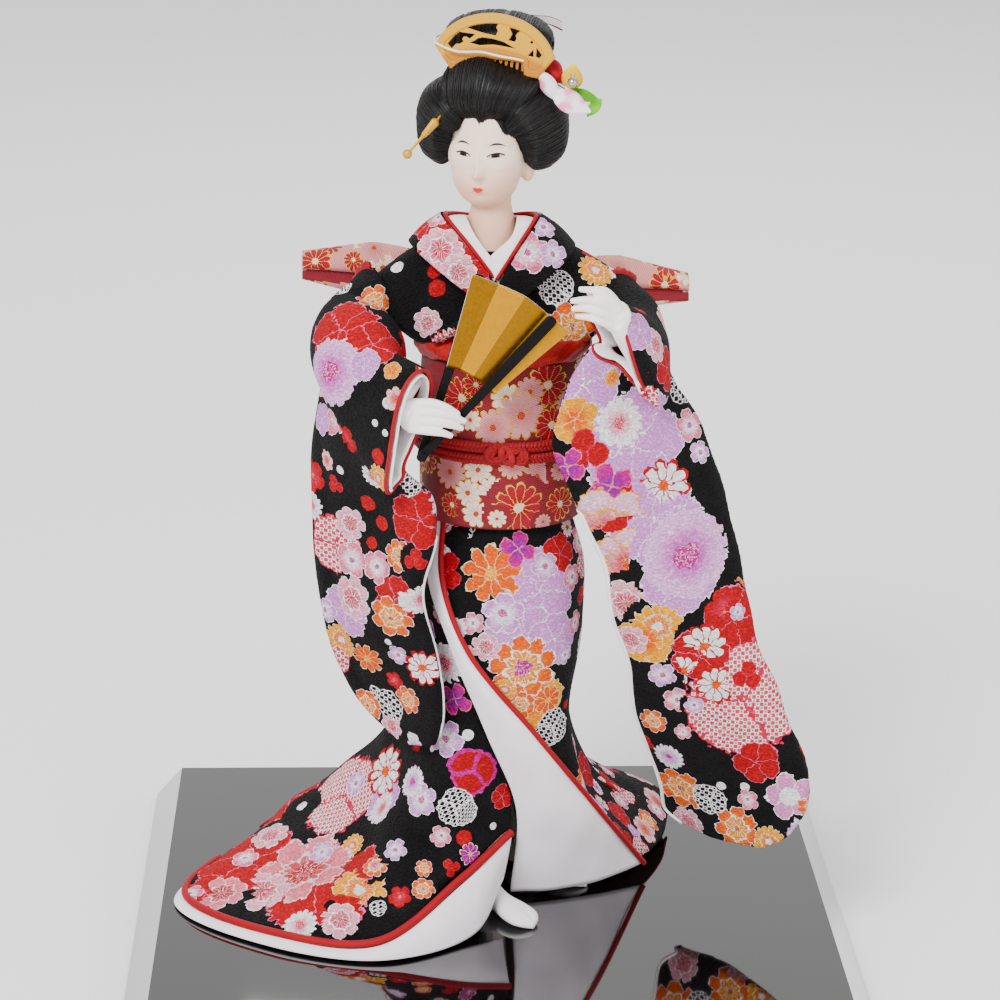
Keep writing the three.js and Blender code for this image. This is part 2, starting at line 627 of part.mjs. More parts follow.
// Skirt: upright lines from the waist to the hem, in order round the body.
// The waist end of each is given by its angle from the front, towards the left hand.
const WAIST_LINE = 200;
function rib(degrees, lift, rest) {
  const angle = THREE.MathUtils.degToRad(degrees);
  const waist = (z) => [
    BODY_X + (WAIST_HALF_WIDTH + lift) * Math.sin(angle),
    BODY_Y - (WAIST_HALF_DEPTH + lift) * Math.cos(angle),
    z,
  ];
  return [waist(WAIST_LINE), waist(OBI_BOTTOM), ...rest];
}
const UNDER_LIFT = 2.2;
const OVER_LIFT = 3.7;
const FACING_LIFT = 4.7;

const LEFT_RIBS = [
  rib(-58, OVER_LIFT, [[-26.5, -22, 162], [-18, -29.5, 134], [-5, -28, 98], [7, -24.5, 64], [9, -17, 27]]),
  rib(-5, OVER_LIFT, [[4, -31, 162], [9, -31, 134], [16, -28.5, 98], [24, -23, 64], [34, -9, 27]]),
  rib(42, OVER_LIFT, [[24, -25.5, 162], [26, -24, 134], [28, -19, 98], [37, -16, 64], [59, 4, 27]]),
  rib(82, OVER_LIFT, [[34, -8, 162], [34, -6, 134], [30, -3, 98], [35, 6, 60], [72, 26, 26]]),
  rib(118, OVER_LIFT, [[30.5, 12, 162], [31, 13, 134], [30, 17, 98], [42, 32, 57], [77, 52, 26]]),
];
const BACK_RIBS = [
  rib(112, UNDER_LIFT, [[30, 9, 162], [30, 10, 134], [29, 13, 98], [40, 27, 57], [75, 46, 25]]),
  rib(148, UNDER_LIFT, [[18, 21, 162], [20, 23, 134], [22, 31, 98], [38, 56, 54], [70, 88, 26]]),
  rib(178, UNDER_LIFT, [[2, 25, 162], [0, 28, 134], [-2, 37, 98], [-2, 66, 54], [12, 102, 26]]),
  rib(212, UNDER_LIFT, [[-16, 22, 162], [-20, 25, 134], [-26, 33, 98], [-38, 56, 54], [-42, 94, 26]]),
  rib(250, UNDER_LIFT, [[-29, 9, 162], [-31, 9, 134], [-33, 14, 98], [-62, 30, 56], [-96, 38, 26]]),
];
const RIGHT_RIBS = [
  rib(252, UNDER_LIFT,
    [[-29.2, 7.6, 162], [-31.2, 7.4, 134], [-33.2, 12.2, 98], [-62.5, 28, 56], [-97.4, 35, 26]]),
  rib(275, UNDER_LIFT, [[-30, -6, 162], [-31, -6, 134], [-31, -5, 98], [-62, -2, 50], [-123, -20, 25]]),
  rib(300, UNDER_LIFT, [[-24, -19, 162], [-25, -19, 134], [-24, -20, 98], [-42, -32, 52], [-86, -54, 25]]),
  rib(325, UNDER_LIFT, [[-14, -26, 162], [-14, -27, 134], [-12, -28, 98], [-20, -38, 58], [-46, -64, 27]]),
  rib(348, UNDER_LIFT, [[-5, -27.5, 162], [-5, -27.5, 134], [-3, -27.5, 98], [-6, -32, 66], [-15, -45, 44]]),
  rib(368, UNDER_LIFT, [[3, -27, 162], [3, -27, 134], [4, -25.5, 98], [5.6, -24.5, 72], [6.2, -26, 55]]),
];

// The train lies in soft waves, which die out towards the knee
function waved(surface, count, depth, phase = 0) {
  return (u, v) => {
    const at = surface(u, v);
    const fade = Math.max(0, (v - 0.55) / 0.45) * Math.max(0, 1 - ((v - 0.8) / 0.2) ** 2 * 0.75);
    at.z += depth * fade * Math.sin(2 * Math.PI * (count * u + phase));
    return at;
  };
}
const leftSkirt = acrossRibs(LEFT_RIBS);
const backSkirt = waved(acrossRibs(BACK_RIBS), 3, 3);
const rightSkirt = acrossRibs(RIGHT_RIBS);
const fromAxis = (at) => point(at.x - 0.4 * at.x, at.y + 4, 14);

const panel = (surface, columns, thick, grow) => (
  sheet(surface, columns, 10, thick, { grow, away: [0.005, 0.003], axis: fromAxis }));
const skirtLeft = (grow = 0) => panel(leftSkirt, 10, CLOTH, grow);
const skirtBack = (grow = 0) => panel(backSkirt, 12, CLOTH, grow);
const skirtRight = (grow = 0) => panel(rightSkirt, 14, CLOTH, grow);

// The turned-back white facing of the top panel, from its fold to its piped edge
const FACING_THICK = 0.8;
const FOLD_LINE = rib(-60, FACING_LIFT,
  [[-27.5, -23, 162], [-18.5, -31, 134], [-4.5, -30, 98], [8, -26, 64], [7, -18, 23]]);
const PIPED_EDGE = rib(-54, FACING_LIFT,
  [[-22.5, -27.5, 162], [-13, -32.4, 134], [14, -31, 98], [39, -19.5, 62], [61.5, 4, 25]]);
const facingSurface = (u, v) => {
  const fold = pointOn(through(FOLD_LINE), v);
  const piped = pointOn(through(PIPED_EDGE), v);
  const bulge = 4.5 * v * Math.sin(Math.PI * THREE.MathUtils.clamp(u, 0, 1));
  const at = fold.lerp(piped, u);
  at.x += 0.35 * bulge;
  at.y -= bulge;
  at.z -= 1.5 * Math.max(0, v - 0.9) * 10 * Math.sin(Math.PI * THREE.MathUtils.clamp(u, 0, 1));
  return at;
};
const facing = (grow = 0) => panel(facingSurface, 5, FACING_THICK, grow);
const piping = (grow = 0) => bar(through(PIPED_EDGE.map(([x, y, z], i) => [
  x + 0.2 + 0.16 * i, y - 0.2, Math.max(z, BOARD_TOP + GAP + PIPING_RADIUS + grow),
])), PIPING_RADIUS + grow, 6, 20);

// The padded white hem of the under panel, from the train to the crossing of the panels
const HEM_TOP = [[-98, 34, 23.6], [-124, -20, 23.4], [-87, -56, 23.6], [-46, -67.5, 25], [-14, -48, 41],
  [6.5, -28.5, 52.5]];
const HEM_LOW = [[-100, 35, 21.2], [-128, -22, 21.2], [-89, -60, 21.2], [-44, -73, 21.4], [-9, -54, 22.6],
  [3.5, -27, 33]];
const hemSurface = (u, v) => {
  const at = pointOn(through(HEM_TOP), u).lerp(pointOn(through(HEM_LOW), u), v);
  const round = 1.6 * Math.sin(Math.PI * THREE.MathUtils.clamp(v, 0, 1)) * (0.4 + u);
  return at.add(point(0, -round, 0.3 * round));
};
const HEM_THICK = 0.9;
const hemBand = (grow = 0) => sheet(hemSurface, 18, 2, HEM_THICK, { grow, axis: fromAxis });

// Sleeves: a wide tube round the forearm and a bag that hangs from it
const SLEEVES = {
  right: {
    tube: [[[-49, 1, 263], 13, 17], [[-58, -6, 252], 14, 17], [[-52, -24, 245], 17.5, 21],
      [[-47, -39, 232], 9, 23], [[-38.5, -49.5, 226], 5, 26]],
    mouth: [-32, -56, 224],
    outer: [[-66, -6, 240], [-71, -5, 210], [-71, -5, 185], [-70, -5, 160], [-64, -4, 124], [-57, -4, 108],
      [-47, -10, 96], [-37, -20, 89]],
    inner: [[-44, -44, 238], [-38, -47, 212], [-27, -43, 199], [-26, -41, 182], [-31, -42, 162],
      [-24, -37, 134], [-22, -36, 108], [-24, -33, 94]],
    swell: [5, 6, 6.5, 6.5, 6, 5, 3.6, 2.6],
    crease: 2.4,
    openFrom: 0.42,
    lean: 0.1,
  },
  left: {
    tube: [[[45, 1, 262], 13, 16], [[50.5, -7, 257], 12, 16], [[53.5, -23, 251], 10.5, 19],
      [[50, -37, 254], 8.5, 22], [[45.5, -44, 255.5], 6, 24]],
    mouth: [40, -50, 257],
    outer: [[62, -14, 247], [73, -18, 228], [83, -22, 205], [92, -26, 175], [101, -30, 138], [113, -34, 108],
      [121, -38, 84], [121, -40, 69], [115, -40, 57], [105, -36, 50]],
    inner: [[31, -45, 262], [22, -45, 242], [18, -43, 222], [27, -41, 200], [37, -37, 172], [47, -29, 134],
      [57, -17, 93], [64, -9, 68], [69, -4, 53], [77, -5, 47]],
    swell: [3, 4, 4.5, 5, 6, 6.5, 6, 5, 3.6, 2.6],
    crease: 0.8,
    openFrom: 0.36,
    lean: -0.58,
  },
};

// A sleeve's drop below the arm, and how far its opening beside the body is cut back
const SLEEVE_LENGTH = 170;
const FURI_CUT = 5;
// How far out of the bag's middle the crease lies, as a share of the way to its outer edge
const CREASE_AT = 0.5;

function armRing([x, y, z], wide, tall, heading, lean, inset) {
  const across = new THREE.Vector3(-heading.y, heading.x, 0).normalize();
  const up = point(lean, 0, 1).normalize();
  return circleRing(8, (c, s) => point(x, y, z)
    .addScaledVector(across, (wide - inset) * c)
    .addScaledVector(up, (tall - inset) * s));
}

// With open ends, the tube runs on past the shoulder and out of the cuff
function sleeveTube({ tube, mouth, lean }, inset, open) {
  const last = tube.length - 1;
  const rings = tube.map(([at, wide, tall], i) => {
    const before = tube[Math.max(0, i - 1)][0];
    const after = tube[Math.min(last, i + 1)][0];
    const heading = point(after[0] - before[0], after[1] - before[1], 0);
    return armRing(at, wide, tall, heading, (lean * i) / last, inset);
  });
  if (open) {
    const out = point(...mouth).sub(point(...tube[last][0]));
    const back = point(...tube[0][0]).sub(point(...tube[1][0])).normalize();
    rings.push(rings[last].map((v) => v.clone().add(out)));
    rings.unshift(rings[0].map((v) => v.clone().add(back)));
  }
  return loft(rings);
}

// Where a sleeve's bag lies at a share of its length: its middle, half its width, its front, its depth
// and the depth of the long crease that runs down its front
function sleeveSection({ outer, inner, swell, crease }, t) {
  const a = through(outer).getPoint(t);
  const b = through(inner).getPoint(t);
  const middle = a.clone().add(b).multiplyScalar(0.5);
  const half = a.clone().sub(b).multiplyScalar(0.5);
  const front = point(half.y, -half.x, 0).normalize();
  if (front.y > 0) front.negate();
  const place = t * (swell.length - 1);
  const low = Math.min(Math.floor(place), swell.length - 2);
  const depth = blend(swell[low], swell[low + 1], place - low);
  return { middle, half, front, depth, fold: crease * Math.sin(Math.PI * t) };
}

function sleeveBag(sleeve, inset) {
  const steps = 7;
  return loft(Array.from({ length: steps + 1 }, (_, i) => {
    const t = blend(inset / SLEEVE_LENGTH, 1 - inset / SLEEVE_LENGTH, i / steps);
    const { middle, half, front, depth, fold } = sleeveSection(sleeve, t);
    const reach = half.length();
    return circleRing(12, (c, s) => middle.clone()
      .addScaledVector(half, (Math.sign(c) * Math.abs(c) ** 0.7 * (reach - inset)) / reach)
      .addScaledVector(front, (depth - inset) * Math.sign(s) * Math.abs(s) ** 0.8)
      .addScaledVector(front, s > 0 ? -fold * Math.exp(-(((c - CREASE_AT) / 0.2) ** 2)) : 0));
  }));
}

// What is cut off the bag's inner edge, to leave it open beside the body
function sleeveOpening(sleeve) {
  const steps = 5;
  return loft(Array.from({ length: steps + 1 }, (_, i) => {
    const { middle, half, front, depth } = sleeveSection(sleeve, blend(sleeve.openFrom, 0.97, i / steps));
    const reach = half.length();
    const corners = [[FURI_CUT - reach, -1], [-reach - 9, -1], [-reach - 9, 1], [FURI_CUT - reach, 1]];
    return corners.map(([along, side]) => middle.clone()
      .addScaledVector(half, along / reach)
      .addScaledVector(front, side * (depth + 3)));
  }));
}

// A layer of a sleeve's cloth between two depths, with its mouth and its inner edge open
function sleeveLayer(side, outer, inner) {
  const sleeve = SLEEVES[side];
  const whole = join(sleeveTube(sleeve, outer, false), sleeveBag(sleeve, outer));
  const hollow = join(sleeveTube(sleeve, inner, true), sleeveBag(sleeve, inner));
  return whole.subtract(hollow).subtract(sleeveOpening(sleeve));
}
const LINING = 0.7;
const sleeveShell = (side) => sleeveLayer(side, 0, CLOTH);
const liningShell = (side) => sleeveLayer(side, CLOTH + 2 * GAP, CLOTH + 2 * GAP + LINING);

// Fan pieces lie in upright planes about the root
function fanGuard(angle, front, grow = 0) {
  const outline = new THREE.Shape();
  const half = GUARD_WIDTH / 2 + grow;
  outline.absarc(0, 0, half, Math.PI / 2, (3 * Math.PI) / 2);
  outline.lineTo(FAN_RADIUS - 2 + grow, -half * 0.8);
  outline.lineTo(FAN_RADIUS - 2 + grow, half * 0.8);
  outline.closePath();
  const depth = GUARD_THICK + 2 * grow;
  const plate = new THREE.ExtrudeGeometry(outline, { depth, bevelEnabled: false, curveSegments: 6 });
  plate.rotateX(Math.PI / 2);
  plate.rotateY(THREE.MathUtils.degToRad(-angle));
  plate.translate(FAN_ROOT[0], front + depth - grow, FAN_ROOT[1]);
  const bore = roundBar([FAN_ROOT[0], front - 2, FAN_ROOT[1]], [FAN_ROOT[0], front + 4, FAN_ROOT[1]],
    RIVET_RADIUS + GAP);
  const solid = solidOfGeometry(plate);
  return grow > 0 ? solid : cut(solid, bore);
}
const RIVET_RADIUS = 0.9;

function fanLeaf() {
  const surface = (u, v) => {
    const angle = THREE.MathUtils.degToRad(blend(REAR_GUARD_ANGLE + LEAF_OVERHANG, LEAF_END_ANGLE, u));
    const reach = blend(LEAF_ROOT, FAN_RADIUS, v);
    const wave = LEAF_WAVE * Math.cos(Math.PI * u * 2 * PLEATS);
    return point(
      FAN_ROOT[0] + reach * Math.cos(angle),
      LEAF_FRONT + LEAF_WAVE - wave,
      FAN_ROOT[1] + reach * Math.sin(angle),
    );
  };
  return sheet(surface, 4 * PLEATS, 1, LEAF_THICK, { axis: () => point(0, -1, 0) });
}

function fanRivet() {
  const back = REAR_GUARD_FRONT + GUARD_THICK;
  const [x, z] = FAN_ROOT;
  return join(
    roundBar([x, FAN_FRONT - 1, z], [x, back + 1, z], RIVET_RADIUS),
    roundBar([x, FAN_FRONT - GAP - 0.7, z], [x, FAN_FRONT - GAP, z], RIVET_RADIUS + 0.8),
    roundBar([x, back + GAP, z], [x, back + GAP + 0.7, z], RIVET_RADIUS + 0.8),
  );
}

// Stand pieces
function board() {
  const corners = (inset, z) => [[-1, -1], [1, -1], [1, 1], [-1, 1]].map(([sx, sy]) => (
    point(sx * (BOARD_WIDTH / 2 - inset), sy * (BOARD_DEPTH / 2 - inset), z)));
  const slab = loft([corners(0, STRIP_THICK), corners(BEVEL, BOARD_TOP)]);
  const bores = Object.values(LEGS).flatMap(({ at: [x, y] }) => [
    upright(x, y, 0, BOARD_TOP + 1, ROD_RADIUS + GAP),
    upright(x, y, 0, STRIP_THICK + COUNTERBORE_DEPTH, COUNTERBORE_RADIUS),
  ]);
  return cut(slab, ...bores);
}

function strip(side) {
  const long = BOARD_DEPTH - 2 * STRIP_INSET;
  const box = new THREE.BoxGeometry(STRIP_WIDTH, long, STRIP_THICK);
  box.translate(side * (BOARD_WIDTH / 2 - STRIP_INSET - STRIP_WIDTH / 2), 0, STRIP_THICK / 2);
  return solidOfGeometry(box);
}

function nut([x, y]) {
  const top = STRIP_THICK + COUNTERBORE_DEPTH - GAP;
  const block = bar(straight([x, y, top - NUT_THICK], [x, y, top]), NUT_WIDTH / Math.sqrt(3), 6, 1);
  return cut(block, rod([x, y], GAP));
}

function hairTie() {
  const ring = circleRing(20, (c, s) => circleRing(4, (p, q) => {
    const [x, y, z] = [21 * c, 3 + 15.5 * s, 363.5];
    return point(x + 0.6 * p * c, y + 0.6 * p * s, z + 0.6 * q);
  }));
  return hoop(ring);
}

const ribbonSurface = (u, v) => point(
  blend(-6, 25, u),
  19 + 2 * Math.sin(Math.PI * u),
  blend(376.4, 368, u) - 5 * v + 3 * Math.sin(Math.PI * u) * u,
);

// Builds the head's pieces in its own coordinates and turns them
function headPieces() {
  const pieces = {};
  pieces.neck_peg = peg();
  pieces.head = cut(headShape(), peg(GAP));
  pieces.comb = combShape();
  pieces.hairpin = hairpin();
  pieces.flower_pin = sprayPin();
  const order = Object.entries(HAIR);
  order.forEach(([name, [centre, size]], i) => {
    const before = order.slice(0, i).map(([, [at, radii]]) => ball(at, radii, GAP, 12, 7));
    const hard = [headShape(GAP), combShape(GAP), hairpin(GAP), sprayPin(GAP)];
    pieces[name] = cut(ball(centre, size, 0, 12, 7), ...hard, ...before);
  });
  const hair = order.map(([, [centre, size]]) => ball(centre, size, GAP, 12, 7));
  pieces.hair_tie = cut(hairTie(), ...hair, combShape(GAP), hairpin(GAP), sprayPin(GAP));
  const cleared = hairBehindSpray(...HAIR.hair_wing_left);
  const petals = Object.entries(SPRAY);
  petals.forEach(([name, [centre, size]], i) => {
    const before = petals.slice(0, i).map(([, [at, radii]]) => ball(at, radii, GAP));
    pieces[name] = cut(ball(centre, size), ...hair, ...cleared, sprayPin(GAP), combShape(GAP), ...before);
  });
  pieces.paper_ribbon = cut(sheet(ribbonSurface, 10, 2, 0.8, { axis: () => point(0, 1, 0) }), ...hair);
  for (const name of Object.keys(pieces)) pieces[name] = placed(pieces[name], turnHead);
  return pieces;
}

function bodyPieces() {
  const pieces = {
    base_board: board(),
    base_strip_left: strip(1),
    base_strip_right: strip(-1),
  };
  for (const side of ["left", "right"]) {
    pieces[`leg_rod_${side}`] = rod(LEGS[side].at);
    pieces[`rod_nut_${side}`] = nut(LEGS[side].at);
    pieces[`leg_${side}`] = leg(LEGS[side].at);
    pieces[`tabi_foot_${side}`] = tabiFoot(LEGS[side]);
    pieces[`arm_${side}`] = arm(ARM_PATHS[side]);
  }
  const sockets = Object.values(ARM_PATHS).map((path) => arm(path, GAP))
    .concat(Object.values(LEGS).map(({ at }) => rod(at, GAP)));
  const neckSocket = placed(peg(GAP), turnHead);
  pieces.torso_core = cut(coreBlock(), neckSocket, ...sockets);
  pieces.hand_left = cut(leftHand(), arm(ARM_PATHS.left, GAP));
  pieces.hand_right = cut(rightHand(), arm(ARM_PATHS.right, GAP));
  return pieces;
}

function fanPieces() {
  return {
    fan_guard_front: fanGuard(FRONT_GUARD_ANGLE, FAN_FRONT),
    fan_guard_rear: fanGuard(REAR_GUARD_ANGLE, REAR_GUARD_FRONT),
    fan_leaf: fanLeaf(),
    fan_rivet: fanRivet(),
  };
}

function clothPieces() {
  const arms = [arm(ARM_PATHS.left, GAP), arm(ARM_PATHS.right, GAP)];
  const neck = placed(headShape(GAP), turnHead);
  const pieces = {};
  pieces.kimono_bodice = cut(bodiceShell(), coreBlock(GAP), ...arms);
  pieces.under_collar = cut(underCollar(), neck, bodiceBlock(GAP));
  pieces.collar_edging = cut(edging(), bodiceBlock(GAP), neck, underCollar(GAP));
  pieces.kimono_collar = cut(kimonoCollar(), bodiceBlock(GAP), edging(GAP), underCollar(GAP));
  pieces.obi = cut(obi(), ...arms);
  pieces.obi_cord = obiCord();
  pieces.obi_scarf = cut(obiScarf(), bodiceBlock(GAP));
  pieces.bow_knot = cut(bowKnot(), bodiceBlock(GAP), obi(GAP), obiScarf(GAP));
  pieces.bow_tail = cut(bowTail(), bowKnot(GAP), bodiceBlock(GAP), obi(GAP), obiScarf(GAP), obiCord(GAP));
  for (const side of ["left", "right"]) {
    pieces[`bow_loop_${side}`] = cut(bowLoop(side), bowKnot(GAP), bowTail(GAP), bodiceBlock(GAP));
  }
  pieces.skirt_panel_right = skirtRight();
  pieces.skirt_back = skirtBack();
  pieces.hem_band_right = cut(hemBand(), skirtRight(GAP), skirtBack(GAP));
  pieces.skirt_panel_left = cut(skirtLeft(), skirtRight(GAP), skirtBack(GAP), hemBand(GAP));
  const under = [skirtLeft(GAP), skirtRight(GAP), hemBand(GAP)];
  pieces.skirt_piping = cut(piping(), ...under, obi(GAP));
  pieces.skirt_facing = cut(facing(), ...under, piping(GAP));
  const hands = { left: leftHand(), right: rightHand() };
  for (const side of ["left", "right"]) {
    const inner = [bodiceBlock(GAP), arm(ARM_PATHS[side], GAP), hands[side], obiScarf(GAP)];
    if (side === "right") inner.push(skirtRight(GAP), obi(GAP));
    pieces[`sleeve_${side}`] = cut(sleeveShell(side), ...inner);
    pieces[`sleeve_lining_${side}`] = cut(liningShell(side), ...inner);
  }
  return pieces;
}

const FINISH = {
  base_board: "lacquer", base_strip_left: "rubber", base_strip_right: "rubber",
  leg_rod_left: "steel", leg_rod_right: "steel", rod_nut_left: "steel", rod_nut_right: "steel",
  torso_core: "straw", leg_left: "paper", leg_right: "paper", arm_left: "paper", arm_right: "paper",
  tabi_foot_left: "tabi", tabi_foot_right: "tabi", hand_left: "skin", hand_right: "skin",
  neck_peg: "straw", head: "skin", hair_front: "hair", hair_wing_left: "hair", hair_wing_right: "hair",
  hair_back: "hair", topknot: "hair", hair_tie: "white", comb: "gold", hairpin: "gold",
  flower_pin: "steel", crepe_flower_red: "red", crepe_petal_pink: "pink", crepe_petal_yellow: "yellow",
  crepe_leaf_green: "green", flower_bell: "gold", paper_ribbon: "white",
  fan_guard_rear: "black", fan_guard_front: "black", fan_leaf: "leaf_gold", fan_rivet: "steel",
  under_collar: "white", collar_edging: "red", kimono_collar: "crepe", kimono_bodice: "crepe",
  sleeve_left: "crepe", sleeve_right: "crepe", sleeve_lining_left: "white", sleeve_lining_right: "white",
  obi: "brocade", obi_scarf: "red", obi_cord: "red", bow_loop_left: "brocade", bow_loop_right: "brocade",
  bow_knot: "brocade", bow_tail: "brocade", skirt_panel_left: "crepe", skirt_panel_right: "crepe",
  skirt_back: "crepe", skirt_facing: "white", skirt_piping: "red", hem_band_right: "white",
};

const doll = new THREE.Group();
const solids = { ...bodyPieces(), ...headPieces(), ...fanPieces(), ...clothPieces() };
for (const [name, solid] of Object.entries(solids)) {
  const [color, roughness, metalness] = COLOURS[FINISH[name]];
  const finish = new THREE.MeshStandardMaterial({ color, roughness, metalness });
  const mesh = new THREE.Mesh(geometryOf(solid), finish);
  mesh.name = name;
  doll.add(mesh);
}

export default doll;
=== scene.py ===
# %% [markdown]
# # A standing doll in a long-sleeved kimono
# The hard parts of this doll are already exact: they come packed in a frame, in metres, with the joints
# they turn on. What a frame can't give is cloth, hair and paint, and that is what this file makes. A piece
# is drawn where the frame says it is, so nothing has to be fitted afterwards. Every piece but the fan's leaf
# rides on a body of the frame, and then it follows when the head or the fan's guard turns.

# %% Load the frame
import math
from contextlib import contextmanager

import bmesh
import bpy
import numpy as np
from mathutils import Matrix, Vector
from mathutils.bvhtree import BVHTree


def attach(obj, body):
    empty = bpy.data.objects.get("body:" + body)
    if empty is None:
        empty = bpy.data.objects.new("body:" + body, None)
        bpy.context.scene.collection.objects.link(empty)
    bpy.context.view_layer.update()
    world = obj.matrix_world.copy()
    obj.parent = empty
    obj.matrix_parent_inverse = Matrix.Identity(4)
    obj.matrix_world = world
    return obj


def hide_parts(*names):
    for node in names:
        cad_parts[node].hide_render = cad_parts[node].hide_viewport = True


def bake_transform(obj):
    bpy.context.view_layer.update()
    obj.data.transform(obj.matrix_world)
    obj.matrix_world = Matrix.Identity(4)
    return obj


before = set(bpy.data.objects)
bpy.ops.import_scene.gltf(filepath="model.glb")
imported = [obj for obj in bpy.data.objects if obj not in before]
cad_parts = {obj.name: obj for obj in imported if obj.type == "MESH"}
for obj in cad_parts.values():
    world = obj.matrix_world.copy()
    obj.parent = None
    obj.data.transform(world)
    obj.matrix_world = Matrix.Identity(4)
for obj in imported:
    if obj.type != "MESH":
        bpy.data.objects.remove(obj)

MM = 0.001
scene = bpy.context.scene
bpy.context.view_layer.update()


def link(name, data):
    """Puts a mesh, a lamp or a camera in the scene."""
    made = bpy.data.objects.new(name, data)
    scene.collection.objects.link(made)
    return made


# %% [markdown]
# ## Camera
# The photograph looks down on the stand by 19 degrees through a long lens. The place and the turn of the
# camera were worked out from the edges of the square stand. A camera can be aimed with an empty, but a
# matrix built from three directions keeps the small roll of the picture as well. The same directions turn
# a point of the photograph into a ray, which places the printed flowers later on.

# %% Aim the camera
CAMERA_AT = Vector((-47.886, -1109.526, 563.668)) * MM
DOWN, TURN, ROLL = (math.radians(angle) for angle in (18.88, 2.536, 0.784))
FOCAL, HALF_PHOTO = 3000, 500
SENSOR = 36

forward = Vector((math.sin(TURN) * math.cos(DOWN), math.cos(TURN) * math.cos(DOWN), -math.sin(DOWN)))
level = Vector((math.cos(TURN), -math.sin(TURN), 0))
upward = level.cross(forward)
across = math.cos(ROLL) * level + math.sin(ROLL) * upward
upright = math.cos(ROLL) * upward - math.sin(ROLL) * level

camera = link("camera", bpy.data.cameras.new("camera"))
camera.data.sensor_fit = "HORIZONTAL"
camera.data.sensor_width = SENSOR
camera.data.lens = SENSOR * FOCAL / (2 * HALF_PHOTO)
camera.data.clip_end = 20
aimed = Matrix((across, upright, -forward)).transposed().to_4x4()
camera.matrix_world = Matrix.Translation(CAMERA_AT) @ aimed
scene.camera = camera


def photo_ray(x, y):
    """The direction in which the photograph's point (x, y) lies."""
    ray = forward + across * (x - HALF_PHOTO) / FOCAL - upright * (y - HALF_PHOTO) / FOCAL
    return ray.normalized()


print("camera", [round(value, 3) for value in camera.location], "lens", camera.data.lens)

# %% [markdown]
# ## Light and floor
# The doll was photographed on white, with big soft lights. Glossy black lacquer shows whatever stands
# round it, so the room matters more than the lamps: a pale world and a pale floor give the grey sheen on
# the lacquer, and three large area lights shape the cloth. Small lamps would leave hard shadows.

# %% Light the scene
world = bpy.data.worlds.new("pale_room")
world.use_nodes = True
world.node_tree.nodes["Background"].inputs["Color"].default_value = (1.0, 0.99, 0.985, 1)
world.node_tree.nodes["Background"].inputs["Strength"].default_value = 1.1
scene.world = world


DOLL_MIDDLE = Vector((0, 0, 0.18))


def soft_light(name, place, size, power):
    lamp = link(name, bpy.data.lights.new(name, "AREA"))
    lamp.data.size = size
    lamp.data.energy = power
    lamp.location = place
    lamp.rotation_euler = (DOLL_MIDDLE - Vector(place)).to_track_quat("-Z", "Y").to_euler()


soft_light("key_light", (-0.9, -1.5, 1.7), 0.7, 62)
soft_light("fill_light", (1.4, -1.2, 0.9), 1.2, 11)
soft_light("back_light", (0.3, 1.3, 1.5), 1.2, 14)

FLOOR_REACH = 6
floor = link("floor", bpy.data.meshes.new("floor"))
floor.data.from_pydata([(x * FLOOR_REACH, y * FLOOR_REACH, 0)
                        for x, y in ((-1, -1), (1, -1), (1, 1), (-1, 1))],
                       [], [(0, 1, 2, 3)])
print("three lights and a floor")

# %% [markdown]
# ## Writing materials as formulas
# A material in Blender is a graph of nodes. Long graphs are hard to read, so this small class lets a
# formula such as `1 - radius * 2` make its own Math nodes. What comes out is an ordinary node tree that
# can be opened and changed in the shader editor.

# %% A number that changes over a surface
class Number:
    def __init__(self, tree, socket):
        self.tree = tree
        self.socket = socket

    def math(self, operation, *others):
        node = add(self.tree, "Math", dict(enumerate((self, *others))), operation=operation)
        return Number(self.tree, node.outputs[0])

    def __add__(self, other):
        return self.math("ADD", other)

    def __sub__(self, other):
        return self.math("SUBTRACT", other)

    def __mul__(self, other):
        return self.math("MULTIPLY", other)

    def __truediv__(self, other):
        return self.math("DIVIDE", other)

    def __rsub__(self, other):
        return self * -1 + other

    __radd__ = __add__
    __rmul__ = __mul__

    def under(self, edge):
        return self.math("LESS_THAN", edge)

    def over(self, edge):
        return self.math("GREATER_THAN", edge)

    def smooth(self, low, high):
        node = add(self.tree, "MapRange", {"Value": self, "From Min": low, "From Max": high},
                   interpolation_type="SMOOTHSTEP")
        return Number(self.tree, node.outputs["Result"])


def feed(tree, socket, value):
    """Links a number, a socket or the only output of a node to a socket, or sets the socket's value."""
    if isinstance(value, Number):
        value = value.socket
    if isinstance(value, bpy.types.NodeSocket):
        tree.links.new(value, socket)
    else:
        socket.default_value = value


def add(tree, kind, inputs=None, family="ShaderNode", **settings):
    """A new node. Its inputs are named or numbered."""
    node = tree.nodes.new(family + kind)
    for name, value in settings.items():
        setattr(node, name, value)
    for name, value in (inputs or {}).items():
        feed(tree, node.inputs[name], value)
    return node


def mix(tree, share, first, second, how="MIX"):
    """A colour between two others."""
    node = add(tree, "Mix", data_type="RGBA", blend_type=how)
    for place, value in ((0, share), (6, first), (7, second)):
        feed(tree, node.inputs[place], value)
    return node.outputs[2]


def vector(tree, operation, first, second):
    inputs = {0: first, "Scale" if operation == "SCALE" else 1: second}
    return add(tree, "VectorMath", inputs, operation=operation).outputs[0]


def parts(tree, place):
    node = add(tree, "SeparateXYZ", {"Vector": place})
    return [Number(tree, output) for output in node.outputs]


def where(tree):
    return add(tree, "TexCoord").outputs["Object"]


def stretched(tree, place, scale, turn=(0, 0, 0)):
    return add(tree, "Mapping", {"Vector": place, "Scale": scale, "Rotation": turn}).outputs["Vector"]


def noise(tree, place, scale, detail):
    node = add(tree, "TexNoise", {"Vector": place, "Scale": scale, "Detail": detail, "Roughness": 0.5})
    return Number(tree, node.outputs["Fac"])


